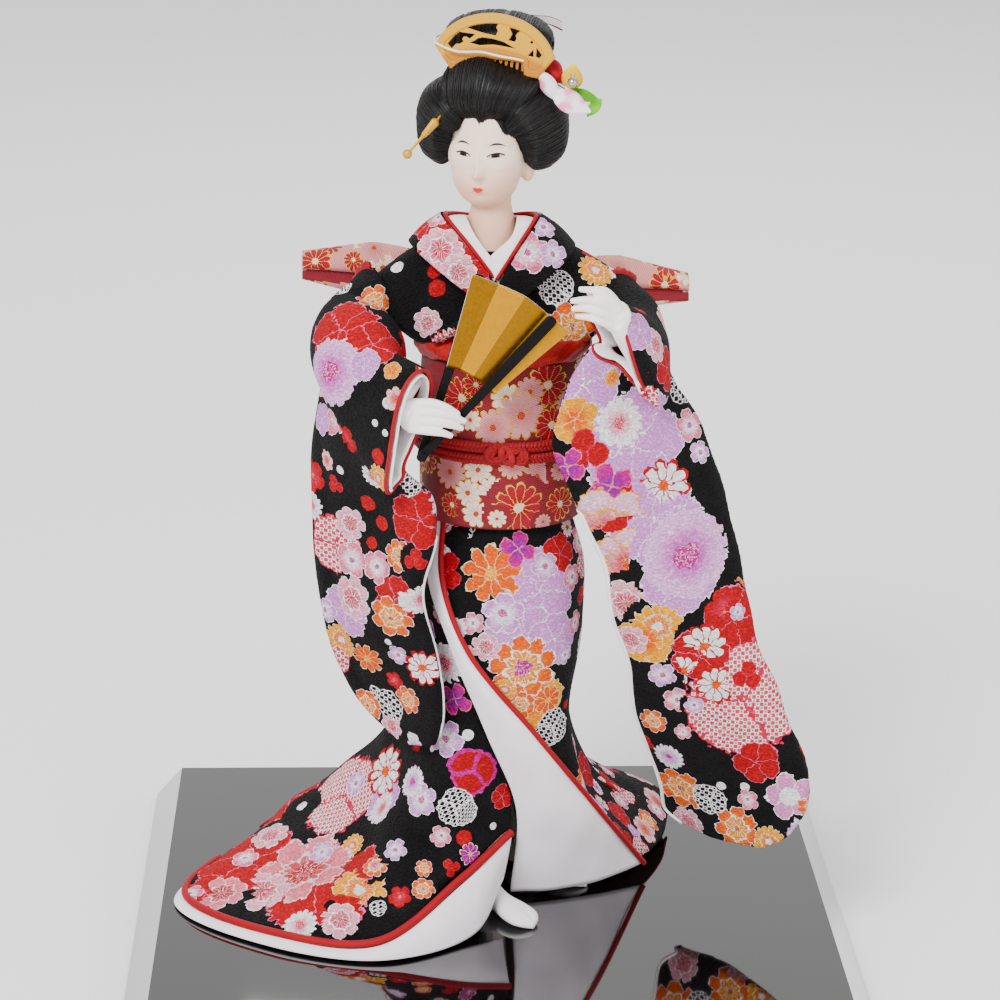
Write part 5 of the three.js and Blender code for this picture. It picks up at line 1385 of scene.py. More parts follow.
# %% Knot and tail
bow_knot = draft("bow_knot_cloth", egg(BOW_CENTRE - (0, 0, 3), (8.5, 12, 14.5), 64, 40), [pale_brocade])
at = points_of(bow_knot)
creases = 0.5 * np.sin((at[:, 0] + 0.4 * np.sin(at[:, 2] * 0.4)) * 2.1) * (np.abs(at[:, 2] - 262) < 11)
bump_along(bow_knot, creases)
map_flat(bow_knot, "cloth", points_of(bow_knot)[:, [0, 2]] * MM)
settle(bow_knot, "doll", ["bow_knot"])
bow.append(bow_knot)

TAIL_WIDE, TAIL_LONG = 40, 66
top = BOW_CENTRE[2] - 6
tail_ribs = []
for share in (-0.5, -0.25, 0, 0.25, 0.5):
    x, crown = share * TAIL_WIDE, 3 * math.cos(math.pi * share)
    tail_ribs.append([(x * 0.5, 33 + crown, top), (x * 0.9, 36 + crown, top - 0.3 * TAIL_LONG),
                      (x, 34 + crown, top - 0.7 * TAIL_LONG), (x, 31 + crown, top - TAIL_LONG)])
tail_grid = across_ribs(tail_ribs, 60, 90)
u, v = shares(60, 90)
tail_grid[..., 1] += 0.5 * np.sin(u * 2 * math.pi * 5) * (1 - v)
bow.append(make_cloth("bow_tail_cloth", tail_grid, 2.2, np.array((0.0, 1.0, 0.0)) + 0 * tail_grid,
                      [pale_brocade, red_silk], held="hung", slot="brocade", stands_for=["bow_tail"]))

# %% [markdown]
# ## Head
# The head of such a doll is cast or carved and coated with fine white powder in glue, polished until it
# has the soft shine of an eggshell. Then the brows, the narrow eyes and the small red lips are painted on.
# Here a few egg shapes are melted into one skin, and low hills and hollows, written as a formula, make the
# nose, lids, lips and chin. The painting is a formula of the same places, so that paint and relief agree.

# %% The head's own place
HEAD_TURN = math.radians(-15)
FACE_TURN = math.radians(-19)
HEAD_AT = np.array((-3.5, 0.5, 0))


def turned_about_neck(points, angle, there=True):
    p = np.asarray(points, float)
    if not there:
        p, angle = p - HEAD_AT, -angle
    c, s = math.cos(angle), math.sin(angle)
    turned = np.stack([p[..., 0] * c - p[..., 1] * s, p[..., 0] * s + p[..., 1] * c, p[..., 2]], axis=-1)
    return turned + HEAD_AT if there else turned


def on_head(points):
    return turned_about_neck(points, HEAD_TURN)


def on_head_shape(shape):
    return on_head(shape[0]), shape[1]


def hill(x, z, x0, z0, wide, high):
    return np.exp(-((x - x0) / wide) ** 2 - ((z - z0) / high) ** 2)


EYE_X, EYE_Z, EYE_HALF = 6.2, 324.2, 3.3
LIPS_X, LIPS_Z = -0.5, 311.0


def carve_face(points):
    """Pushes the front of the skin out and in, in the face's own coordinates."""
    face = turned_about_neck(points, FACE_TURN, there=False)
    x, z, side = face[:, 0], face[:, 2], np.abs(face[:, 0])
    bridge = 2.6 * np.exp(-((x + 0.3) / 1.35) ** 2) * np.clip((329 - z) / 11, 0, 1)
    bridge = bridge * np.clip((z - 315.2) / 1.4, 0, 1)
    out = (bridge + 1.5 * hill(x, z, -0.4, 316.7, 1.6, 1.5) + 0.45 * hill(side, z, 1.7, 316, 0.8, 0.9)
           + 0.8 * hill(x, z, LIPS_X, LIPS_Z, 2.4, 1.6) - 0.35 * hill(x, z, LIPS_X, LIPS_Z, 2.2, 0.35)
           - 0.35 * hill(x, z, 0, 308.6, 3, 1) + 0.9 * hill(x, z, 0, 305.4, 4.2, 2.8)
           - 0.8 * hill(side, z, EYE_X, 326, 3.4, 2.0) + 0.55 * hill(side, z, EYE_X, EYE_Z + 0.4, 2.8, 1.2)
           + 0.35 * hill(side, z, 8, 317, 4.5, 4.5) - 0.25 * hill(x, z, 0, 313.6, 0.7, 0.9))
    front = np.clip(-face[:, 1] / 10, 0, 1)
    face[:, 1] -= out * front
    return turned_about_neck(face, FACE_TURN)


# %% The painted skin
painted_face, given, out = effect("painted_face", {"Face": ("Vector", None)}, {"Colour": "Color"})
tree = painted_face
x, y, z = parts(tree, given["Face"])
side = x.math("ABSOLUTE")
# Painted shade: the skin turns darker and warmer towards the jaw and the neck, with a little noise.
tint = (noise(tree, given["Face"], 0.12, 1) * 0.5 + (320.0 - z) / 16).smooth(0.0, 1.0)
plain = skin = mix(tree, tint, colour("f7dfce"), colour("eabb9e"))
blush = (side - 8.5) * (side - 8.5) / 18 + (z - 316.5) * (z - 316.5) / 16
skin = mix(tree, (1.0 - blush.math("SQRT")).smooth(0.0, 0.9) * 0.22, skin, colour("eeb9a8"))
across_eye = (side - EYE_X) / EYE_HALF
arch = (1.0 - across_eye * across_eye).math("MAXIMUM", 0.0)
slant = across_eye * 0.28
upper = arch * 1.0 + slant + EYE_Z
lower = slant - arch * 0.5 + EYE_Z
white = (upper - z).smooth(0.0, 0.15) * (z - lower).smooth(0.0, 0.15) * arch.over(0.02)
skin = mix(tree, white * 0.8, skin, colour("d9d2d2"))
iris = ((side - EYE_X) * (side - EYE_X) + (z - EYE_Z) * (z - EYE_Z) * 0.9).math("SQRT")
skin = mix(tree, (1.6 - iris).smooth(0.0, 0.2) * white, skin, colour("2e1614"))
skin = mix(tree, (0.8 - iris).smooth(0.0, 0.15) * white, skin, colour("080404"))
lash = (0.42 - (z - upper).math("ABSOLUTE")).smooth(0.0, 0.25) * (arch * 4).math("MINIMUM", 1.0)
skin = mix(tree, lash, skin, colour("1c100f"))
under = (0.22 - (z - lower).math("ABSOLUTE")).smooth(0.0, 0.25) * (arch * 3).math("MINIMUM", 1.0)
skin = mix(tree, under * 0.75, skin, colour("3c2824"))
# Painted shade: a soft brown line in the crease above the upper lid, where the socket is carved in.
crease = (0.2 - (z - upper - 1.15).math("ABSOLUTE")).smooth(0.0, 0.3) * arch
skin = mix(tree, crease * 0.55, skin, colour("8c6a62"))
from_brow = (side - 6.5) / 3.2
brow = 328.8 - from_brow * from_brow * 1.1
thin = (1.0 - from_brow * from_brow).math("MAXIMUM", 0.0)
brow = (thin * 0.5 + 0.1 - (z - brow).math("ABSOLUTE")).smooth(0.0, 0.3) * thin.over(0.01)
skin = mix(tree, brow, skin, colour("382a28"))
from_lips = x - LIPS_X
bow_dip = 1.0 - (from_lips * from_lips * -3.5).math("EXPONENT") * 0.4
upper_lip = (1.0 - from_lips * from_lips / 6.2) * 1.45 * bow_dip + LIPS_Z
lower_lip = LIPS_Z - (1.0 - from_lips * from_lips / 4.2) * 1.4
lips = (upper_lip - z).smooth(0.0, 0.3) * (z - lower_lip).smooth(0.0, 0.3)
skin = mix(tree, lips, skin, colour("d8361c"))
parting = (0.22 - (z - LIPS_Z).math("ABSOLUTE")).smooth(0.0, 0.2) * lips
skin = mix(tree, parting * 0.6, skin, colour("8c1c12"))
front = (y * -1).over(4.0)
skin = mix(tree, front, plain, skin)
round_head = x.math("ABSOLUTE").math("ARCTAN2", y * -1) / math.pi
line = add(tree, "FloatCurve", {"Value": round_head})
HAIRLINE = [(0, 335.6), (4, 337.4), (13, 338.9), (24, 336), (30, 333), (45, 330.7), (61, 324.5), (75, 320),
            (90, 321), (110, 316), (140, 312), (180, 310)]
curve = line.mapping.curves[0]
while len(curve.points) < len(HAIRLINE):
    curve.points.new(0.5, 0.5)
for point, (degrees, height) in zip(curve.points, HAIRLINE):
    point.location = (degrees / 180, (height - 300) / 40)
line.mapping.update()
hairline = Number(tree, line.outputs["Value"]) * 40 + 300
fringe = noise(tree, stretched(tree, given["Face"], (1.4, 1.4, 0.15)), 1.6, 2) * 1.6 - 0.8
hair_mask = (z - hairline - fringe).smooth(-0.35, 0.45)
feed(tree, out["Colour"], mix(tree, hair_mask, skin, colour("151213")))

white_skin, tree, shader = material("painted_skin", Base_Color=colour("f3e9e4"), Roughness=0.5, IOR=1.4,
                                    Specular_IOR_Level=0.3, Subsurface_Weight=0.12, Subsurface_Scale=0.002)
shader["Subsurface Radius"].default_value = (1.0, 0.5, 0.35)
place = vector(tree, "ADD", where(tree), tuple(-HEAD_AT * MM))
place = add(tree, "VectorRotate", {"Vector": place, "Angle": -FACE_TURN}, rotation_type="Z_AXIS").outputs[0]
painted = use(tree, painted_face, {"Face": vector(tree, "SCALE", place, 1000.0)})
feed(tree, shader["Base Color"], painted["Colour"])
feed(tree, shader["Roughness"], noise(tree, where(tree), 900, 2) * 0.1 + 0.42)

# %% Melt the head together
NECK_RINGS = [(286.3, 11.8), (288.5, 11), (293.3, 9.8), (297.3, 8.7), (302, 7.6), (316.5, 7.6)]
neck = ring_loft([[(radius * math.cos(turn), radius * math.sin(turn), height)
                   for turn in np.arange(40) * 2 * math.pi / 40] for height, radius in NECK_RINGS])
head_shapes = merged(
    egg((0, 0, 332), (15.8, 17.6, 19.6), 48, 32), egg((-1, -5.2, 317.4), (13.2, 11.8, 15.5), 48, 32),
    egg((-0.9, -4.5, 323), (14.9, 13.2, 14), 48, 32), egg((0, -16.6, 318.6), (1.3, 1.6, 3.6)),
    egg((13.6, 0.6, 317), (2.9, 3.2, 5.5)), egg((-14.6, 2, 318), (1.5, 3, 5)), neck)
head = draft("doll_head_skin", on_head_shape(head_shapes), [white_skin])
melt(head, 0.5, 8)
move_points(head, carve_face)
settle(head, "dressed_head", ["head"])

# %% [markdown]
# ## Hair
# The hair is combed over forms: a high front, a full wing on each side, the back turned up, and a topknot.
# Each mass is a surface whose lines run as the comb did, from the hairline to the tie, with several hundred
# fine strands lying on it. The strands are made with Geometry Nodes: the tree turns each line into a hair,
# waves it a little by noise and tapers its ends; thickness and unrest are its inputs, and the result is kept.

# %% Hair finish
hair_black, tree, shader = material("combed_hair", Base_Color=colour("141112"), Roughness=0.42,
                                    Specular_IOR_Level=0.3)
strand_noise = noise(tree, where(tree), 1100, 2)
shine = strand_noise.smooth(0.35, 0.75)
feed(tree, shader["Base Color"], mix(tree, shine, colour("060505"), colour("161312")))
feed(tree, shader["Roughness"], strand_noise * 0.18 + 0.36)
bump(tree, shader, strand_noise, 0.0001, 0.5)


# %% The tree that makes strands
HAIR_ROWS = 26


def step(tree, kind, inputs=None, output=0, family="GeometryNode", **settings):
    """Adds one step to a Geometry Nodes tree and gives what comes out of it."""
    return add(tree, kind, inputs, family, **settings).outputs[output]


def shape_effect(name, takes):
    """A Geometry Nodes tree with named inputs."""
    return effect(name, {"Geometry": ("Geometry", None), **takes}, {"Geometry": "Geometry"},
                  "GeometryNodeTree")


def grow(made, tree, **values):
    """Runs a Geometry Nodes tree on an object, with its inputs set first, and keeps the result."""
    modifier = made.modifiers.new(tree.name, "NODES")
    modifier.node_group = tree
    for socket in tree.interface.items_tree:
        if getattr(socket, "in_out", "") == "INPUT" and socket.name in values:
            modifier[socket.identifier] = values[socket.name]
    keep_result(made, modifier)


strands_tree, given, out = shape_effect("combed_strands", {
    "Radius": ("Float", 0.0002), "Unrest": ("Float", 0.0006), "Sides": ("Int", 4), "Seed": ("Int", 1),
    "Finish": ("Material", None)})
tree = strands_tree
is_strand = step(tree, "InputNamedAttribute", {"Name": "strand"}, data_type="BOOLEAN")
lines = step(tree, "MeshToCurve", {0: given["Geometry"], 1: is_strand})
along = Number(tree, step(tree, "SplineParameter", output="Factor"))
which = (Number(tree, step(tree, "InputIndex")) / HAIR_ROWS).math("FLOOR")
wave = add(tree, "TexNoise", {"Vector": step(tree, "InputPosition"), "Scale": 70.0, "Detail": 1.0},
           noise_dimensions="4D")
feed(tree, wave.inputs["W"], which * 0.21 + Number(tree, given["Seed"]))
shift = vector(tree, "SUBTRACT", wave.outputs["Color"], (0.5, 0.5, 0.5))
shift = vector(tree, "SCALE", shift, given["Unrest"])
lines = step(tree, "SetPosition", {"Geometry": lines, "Offset": shift})
taper = (along * math.pi).math("SINE").math("POWER", 0.3) * 0.8 + 0.2
size = step(tree, "RandomValue", {2: 0.5, 3: 1.25, "Seed": given["Seed"]}, 1, "FunctionNode")
thickness = taper * Number(tree, given["Radius"]) * Number(tree, size)
ring = step(tree, "CurvePrimitiveCircle", {"Resolution": given["Sides"], "Radius": 1.0})
strands_made = step(tree, "CurveToMesh", {"Curve": lines, "Profile Curve": ring, "Scale": thickness})
strands_made = step(tree, "SetShadeSmooth", {0: strands_made})
under_hair = step(tree, "DeleteGeometry", {0: given["Geometry"], 1: is_strand})
joined = add(tree, "JoinGeometry", {0: strands_made}, "GeometryNode")
feed(tree, joined.inputs[0], under_hair)
whole = step(tree, "RealizeInstances", {0: joined.outputs[0]})
whole = step(tree, "SetMaterial", {"Geometry": whole, "Material": given["Finish"]})
feed(tree, out["Geometry"], whole)


def comb_hair(name, grid, outside, stands_for, strands, seed, closed=False):
    """A mass of hair from a grid whose rows run along the hair."""
    columns, rows = grid.shape[:2]
    normal, side = facing_out(grid, outside)
    points = grid.reshape(-1, 3)
    faces = grid_faces(columns, rows, turned=side < 0)
    if not closed:
        points = np.vstack([points, (grid - 1.2 * normal).reshape(-1, 3)])
        faces = np.vstack([faces, grid_faces(columns, rows, columns * rows, turned=side > 0)])
    dice = np.random.default_rng(seed)
    places = np.sort(dice.uniform(0, columns - 1.001, strands))
    i = places.astype(int)
    w = (places - i)[:, None, None]
    lines = grid[i] * (1 - w) + grid[i + 1] * w + normal[i] * dice.uniform(0.02, 0.3, (strands, 1, 1))
    start = len(points)
    edges = start + np.arange(strands * rows).reshape(strands, rows)
    edges = np.stack([edges[:, :-1], edges[:, 1:]], axis=-1).reshape(-1, 2)
    everything = on_head(np.vstack([points, lines.reshape(-1, 3)]))
    made = sew(name, everything, faces, edges=edges.tolist())
    mark = made.data.attributes.new("strand", "BOOLEAN", "POINT")
    mark.data.foreach_set("value", np.arange(len(everything)) >= start)
    grow(made, strands_tree, Radius=0.00021, Unrest=0.0007, Sides=4, Seed=seed, Finish=hair_black)
    settle(made, "dressed_head", stands_for)


# %% Front
CREST_X = (-14.5, -10.9, -7.1, -2.1, 1.3, 3.6, 8.1, 11.5, 16.5)
CREST_Z = (355, 358, 359.6, 360.4, 359.4, 358, 356.8, 356, 354.4)
front_lines = []
for a in np.linspace(-1, 1, 15):
    peak = 2.2 * math.exp(-(a / 0.12) ** 2)
    crest = np.interp(15.5 * a + 1, CREST_X, CREST_Z)
    front_lines.append([(9.6 * a, -16.6 + 3.6 * a * a, 338.3 - 1.8 * a * a - peak),
                        (13.5 * a - 0.5, -20.2 + 5 * a * a, 343.5 - 2 * a * a),
                        (17.2 * a + 1.2, -19.2 + 6 * a * a, 351 - 1.2 * a * a),
                        (18.2 * a + 1.8, -13.5 + 4 * a * a, crest - 2.1), (15.5 * a + 1, -6 + a * a, crest),
                        (9 * a, 1, crest - 4)])
for place, side in ((0, -1), (len(front_lines) + 1, 1)):
    front_lines.insert(place, [(side * x + shift, y, z) for x, y, z, shift in (
        (9.9, -12.4, 335.4, 0), (13.4, -12.2, 340, -0.4), (16.4, -8.8, 345.5, 1.2), (17.2, -3.4, 347.5, 1.6),
        (14.6, 0, 348.5, 1), (9, 3, 349, 0))])
front_grid = across_ribs(front_lines, 74, HAIR_ROWS)
comb_hair("combed_front", front_grid, front_grid - (0, 0, 345), ["hair_front"], 230, 41)

# %% Wings
WING_LINES = [
    [(8.2, -15.6, 336.5), (11.4, -16.2, 342), (15.2, -11.6, 347.6), (16, -3, 350), (12, 8, 351.5),
     (7, 10, 351)],
    [(9.5, -15.8, 333.6), (15.4, -17.4, 338.5), (22.6, -11, 344.4), (23.6, 0, 347), (15.4, 11, 350),
     (7, 12, 350)],
    [(12.4, -13.6, 330.8), (19.5, -14.8, 333.5), (26.8, -7, 338), (26.9, 4, 341), (18, 14.5, 344.5),
     (8, 14, 346)],
    [(14.0, -10, 325.3), (20.5, -11.8, 326.5), (27.9, -4, 330.3), (27.3, 7, 333.3), (18, 17, 337.5),
     (9, 16, 341)],
    [(14.3, -8, 321.6), (19.8, -9.6, 320.8), (26.8, -3, 323), (26, 7.6, 326), (18, 16, 330), (9, 16, 334)],
    [(14.2, -5, 320), (17.6, -5.6, 317.7), (22.4, -1.6, 318.3), (22, 7, 320.5), (16, 14, 324), (9, 14, 328)]]
for side, sign in (("left", 1), ("right", -1)):
    lines_of_side = [[(sign * x, y, z) for x, y, z in line] for line in WING_LINES]
    wing_grid = across_ribs(lines_of_side, 80, HAIR_ROWS)
    comb_hair(f"combed_wing_{side}", wing_grid, wing_grid - (0, 0, 334), [f"hair_wing_{side}"], 270,
              42 + sign)

# %% Back and topknot
back_lines = []
for a in np.linspace(-1, 1, 13):
    flat = 1 - a * a
    back_lines.append([(11.5 * a, 9.5 + 2 * flat, 315.5), (15.5 * a, 17 + 4 * flat, 313),
                       (18.8 * a, 21 + 8 * flat, 318.5), (18.6 * a, 21.5 + 8 * flat, 329),
                       (14 * a, 17 + 5 * flat, 342), (7 * a, 12, 351)])
back_grid = across_ribs(back_lines, 80, HAIR_ROWS)
comb_hair("combed_back", back_grid, back_grid - (0, 5, 330), ["hair_back"], 260, 44)

TOPKNOT_AT, TOPKNOT_HALF = np.array((0.0, 9.0, 362.5)), (20.5, 13.2, 11.8)
across_knot = np.linspace(-math.pi / 2 + 0.05, math.pi / 2 - 0.05, 60)[:, None]
turn = np.linspace(-math.pi * 0.5, math.pi * 1.5, HAIR_ROWS)[None, :]
girth = np.cos(across_knot) ** 0.75
dip = 1 - 0.1 * np.exp(-((turn - 1.3) / 0.35) ** 2)
knot_grid = TOPKNOT_AT + np.stack([TOPKNOT_HALF[0] * np.sin(across_knot) + 0 * turn,
                                   -TOPKNOT_HALF[1] * girth * np.cos(turn) * dip,
                                   TOPKNOT_HALF[2] * girth * np.sin(turn) * dip], axis=-1)
comb_hair("combed_topknot", knot_grid, knot_grid - TOPKNOT_AT, ["topknot"], 230, 45, closed=True)

# %% [markdown]
# ## Ornaments
# The comb is moulded in gold-coloured resin with a blossoming branch cut through it. It is drawn as a flat
# outline with windows, as the saw piercer would draw it, and given thickness and a soft edge. Its teeth
# repeat, so a small Geometry Nodes tree sets copies of one tooth along the lower edge. A pin with a ball, a
# spray of folded crepe petals with a bell, a twisted paper string and a paper ribbon complete the hair.

# %% Finishes
def satin(name, shade, rough, metal, depth=0.00004, size=0.0012):
    made, tree, shader = material(name, Base_Color=colour(shade), Roughness=rough, Metallic=metal)
    tint = use(tree, mottle, {"Colour": colour(shade), "Size": 0.004, "Amount": 0.12})
    feed(tree, shader["Base Color"], tint["Colour"])
    grain = noise(tree, where(tree), 1 / size, 2)
    feed(tree, shader["Roughness"], grain * 0.15 + (rough - 0.05))
    bump(tree, shader, grain, depth, 0.6)
    return made


def folded_crepe(name, shade, tip):
    """Crepe of one colour with soft patches of another."""
    made, tree, shader = material(name, Base_Color=colour(shade), Roughness=0.75, Sheen_Weight=0.05,
                                  Specular_IOR_Level=0.15)
    patch = noise(tree, where(tree), 160, 1).smooth(0.4, 0.62)
    grain = use(tree, crepe_grain, {"Size": 0.0007, "Along": 1.0})
    feed(tree, shader["Base Color"], mix(tree, patch, colour(shade), colour(tip)))
    bump(tree, shader, grain["Height"], 0.00012)
    return made


pin_gold = satin("pin_gold", "d09c10", 0.4, 0.3)
bell_silver = satin("bell_silver", "b8b0a4", 0.2, 1.0)
string_white = satin("string_white", "f8f6f4", 0.8, 0.0, depth=0.0001, size=0.0006)
petal_finishes = {"red": folded_crepe("petal_red", "a8041a", "7c0414"),
                  "pink": folded_crepe("petal_pink", "fcf2f6", "f090b4"),
                  "yellow": folded_crepe("petal_yellow", "e8d000", "dcb000"),
                  "green": folded_crepe("leaf_green", "70bc08", "489408")}

comb_gold, tree, shader = material("comb_gold", Base_Color=colour("d09800"), Roughness=0.34,
                                   Specular_IOR_Level=0.25, Coat_Weight=0.08, Coat_Roughness=0.15)
across_plate, up_plate, _ = parts(tree, add(tree, "UVMap", uv_map="plane").outputs["UV"])
# Painted shade: the lower strip of the plate is mixed towards a darker amber, as if in shadow.
painted_shade_low = (3.2 - up_plate - across_plate * across_plate * 0.012).smooth(0.0, 2.5)
grain = noise(tree, where(tree), 700, 3)
tint = mix(tree, grain * 0.5, colour("d09800"), colour("c08600"))
feed(tree, shader["Base Color"], mix(tree, painted_shade_low * 0.75, tint, colour("a86000")))
feed(tree, shader["Roughness"], grain * 0.15 + 0.28)
bump(tree, shader, grain, 0.00004, 0.6)

# %% Comb outline
COMB_AT, COMB_LEAN, COMB_THICK = np.array((0.0, -8.5, 361.0)), math.radians(12), 1.6
COMB_CORNERS = {(-19.6, 2.0), (24.6, -0.1), (19.1, -7.6), (14.6, -7.2), (14.0, -2.4), (-13.3, -6.2)}
COMB_OUTLINE = [
    (-19.6, 2.0), (-17, 6.4), (-12.8, 10.2), (-7.3, 12.8), (0.3, 14.2), (8.1, 13.4), (15, 10.7), (20.7, 6.1),
    (24.6, -0.1), (19.1, -7.6), (14.6, -7.2), (14.0, -2.4), (9, -1.9), (3.5, -1.6), (-4, -1.6), (-9.5, -3.6),
    (-13.3, -6.2)]
COMB_RIM = [(-17.0, 2.5), (-13.9, 6.2), (-9, 9.4), (-2.8, 11.2), (3.8, 11.5), (10.6, 9.9), (16.3, 6.8),
            (20.9, 1.9), (21.7, -0.9), (18.4, -5.6), (15.4, -5), (14.9, -2), (9, 0), (-4, 0.6), (-9.5, -1.2),
            (-12.9, -3.8)]
COMB_WINDOWS = [
    [(-15.8, 2.8), (-13.4, 5.9), (-11.4, 7.5), (-4.7, 6.9), (-7.2, 4.7), (-8.6, 5.5), (-9.4, 5.4),
     (-9.8, 4.7), (-9.2, 3.8), (-10.8, 2.7), (-12.2, 2.7), (-13.8, 0.7)],
    [(-8.9, 8.9), (-5.8, 10.5), (-2.6, 11.1), (3.7, 11.2), (2.8, 9.7), (3.5, 8.4), (2.8, 6.4), (-1.5, 7.0),
     (-5.2, 7.9)],
    [(-8.0, 3.5), (-5.5, 4.5), (-4.4, 5.4), (-2.3, 5.9), (1.5, 5.6), (5.5, 4.7), (11.8, 1.7), (6.5, 2.6),
     (2.0, 3.1), (-3.4, 2.6)],
    [(7.2, 10.1), (9.6, 9.6), (12.2, 8.8), (11.0, 7.9), (10.3, 7.0), (10.7, 5.7), (10.0, 4.5), (7.1, 5.0),
     (7.9, 6.3), (8.5, 7.5), (7.9, 8.6)],
    [(15.3, 4.9), (16.3, 5.8), (17.2, 4.8), (16.3, 3.8)],
    [(18.0, 3.6), (20.6, 0.4), (19.5, -1.2), (17.8, -0.3)],
    [(14.6, -0.2), (17.2, 2.8), (17.5, -0.7)]]


def on_comb(points):
    """Carries points of the comb's plane, with a third number for the depth, to the head."""
    x, y, z = np.asarray(points, float).T
    c, s = math.cos(COMB_LEAN), math.sin(COMB_LEAN)
    return on_head(COMB_AT + np.stack([x, y * s - z * c, y * c + z * s], axis=-1))


def saw_out(outlines, thick, soft_edge):
    """A plate with windows: the first outline is its edge and the others are cut through it."""
    drawing = bpy.data.curves.new("comb_drawing", "CURVE")
    drawing.dimensions = "2D"
    drawing.fill_mode = "BOTH"
    drawing.extrude = (thick / 2 - soft_edge) * MM
    drawing.bevel_depth = soft_edge * MM
    drawing.bevel_resolution = 2
    drawing.resolution_u = 6
    for outline in outlines:
        path = drawing.splines.new("BEZIER")
        path.bezier_points.add(len(outline) - 1)
        path.use_cyclic_u = True
        for knot, (x, y) in zip(path.bezier_points, outline):
            knot.co = (x * MM, y * MM, 0)
            rounded = outline in (COMB_OUTLINE, COMB_RIM) and (x, y) not in COMB_CORNERS
            knot.handle_left_type = knot.handle_right_type = "AUTO" if rounded else "VECTOR"
    drawn = link("comb_drawing", drawing)
    plate = bpy.data.meshes.new_from_object(drawn.evaluated_get(bpy.context.evaluated_depsgraph_get()))
    bpy.data.objects.remove(drawn)
    return read(plate.vertices, "co", 3) / MM, [tuple(face.vertices) for face in plate.polygons]


plate_points, plate_faces = merged(saw_out([COMB_OUTLINE, *COMB_WINDOWS], COMB_THICK, 0.2),
                                   saw_out([COMB_OUTLINE, COMB_RIM], COMB_THICK + 1.2, 0.6))

# %% Comb teeth
teeth_tree, given, out = shape_effect("comb_teeth", {
    "Count": ("Int", 17), "Pitch": ("Float", 0.0021), "Wide": ("Float", 0.0005), "Long": ("Float", 0.011),
    "Thick": ("Float", 0.0005), "Finish": ("Material", None)})
tree = teeth_tree
start = (Number(tree, given["Count"]) - 1.0) * Number(tree, given["Pitch"]) * -0.5
first, pitch, size = (add(tree, "CombineXYZ", dict(enumerate(values))).outputs[0] for values in (
    [start], [given["Pitch"]], [given["Wide"], given["Thick"], given["Long"]]))
row = step(tree, "MeshLine", {"Count": given["Count"], "Start Location": first, "Offset": pitch})
tooth = step(tree, "MeshCone", {"Vertices": 8, "Side Segments": 6, "Radius Top": 0.35,
                                "Radius Bottom": 1.0, "Depth": 1.0})
tooth = step(tree, "Transform", {"Geometry": tooth, "Rotation": (math.pi / 2, 0, 0), "Scale": size})
whole = step(tree, "InstanceOnPoints", {"Points": row, "Instance": tooth})
whole = step(tree, "SetShadeSmooth", {0: step(tree, "RealizeInstances", {0: whole})})
whole = step(tree, "SetMaterial", {"Geometry": whole, "Material": given["Finish"]})
feed(tree, out["Geometry"], whole)

teeth = link("comb_teeth", bpy.data.meshes.new("comb_teeth"))
grow(teeth, teeth_tree, Count=13, Pitch=0.0021, Wide=0.00072, Long=0.0105, Thick=0.0006, Finish=comb_gold)
move_points(teeth, lambda points: points + (0.7, -1.0, 0))
map_flat(teeth, "plane", points_of(teeth)[:, :2])
move_points(teeth, on_comb)
settle(teeth, "comb", ["comb"])
comb_plate = make_piece("comb_plate", on_comb(plate_points), plate_faces, [comb_gold], body="comb",
                        slot="gilt_metal", stands_for=["comb"])
map_flat(comb_plate, "plane", np.asarray(plate_points)[:, :2])

# %% Hairpin
PIN_BALL, PIN_AIM, PIN_LONG = np.array((-26.5, -25, 325.0)), unit(np.array((16.0, 12, 20))), 26
reach = np.array([0, 1, 7.5, 8.5, 9.6, 15.4, 16.2, 17, PIN_LONG])
half_wide = [0.6, 0.75, 0.8, 1.0, 1.7, 2.5, 2.3, 0.7, 0.6]
pin = tube(PIN_BALL + PIN_AIM * reach[:, None], half_wide, 16, squash=0.6, up=(1, 0, 0))
ball = egg(PIN_BALL, (1.8, 1.8, 1.8), 20, 14)
make_piece("hairpin_of_gold", *on_head_shape(merged(pin, ball)), [pin_gold], body="hairpin",
           slot="gilt_metal", stands_for=["hairpin"])

# %% Flower spray
def petal(centre, aim, long, wide, thick, fold, seed):
    """A folded petal: an egg with a crease along it, a pinched root and small wrinkles."""
    points, faces = egg((0, 0, 0), (1, 1, 1), 56, 36)
    p = np.asarray(points)
    narrow = 0.45 + 0.55 * np.sin(np.clip(p[:, 0] * 0.5 + 0.62, 0, 1) * math.pi) ** 0.8
    b = p[:, 1] * narrow
    crease = np.abs(b) ** 1.3 * fold
    dice = np.random.default_rng(seed)
    wrinkle = 0.05 * np.sin(p[:, 1] * 9 + p[:, 0] * 3 + dice.uniform(0, 6)) * np.sign(p[:, 2])
    a, c = p[:, 0] * long, (p[:, 2] + wrinkle) * thick * narrow + crease * wide
    forwards = unit(np.array(aim, float))
    aside = unit(np.cross(forwards, (0.0, -1.0, 0.25)))
    face = np.cross(aside, forwards)
    placed = np.array(centre) + a[:, None] * forwards + b[:, None] * wide * aside + c[:, None] * face
    return placed, faces


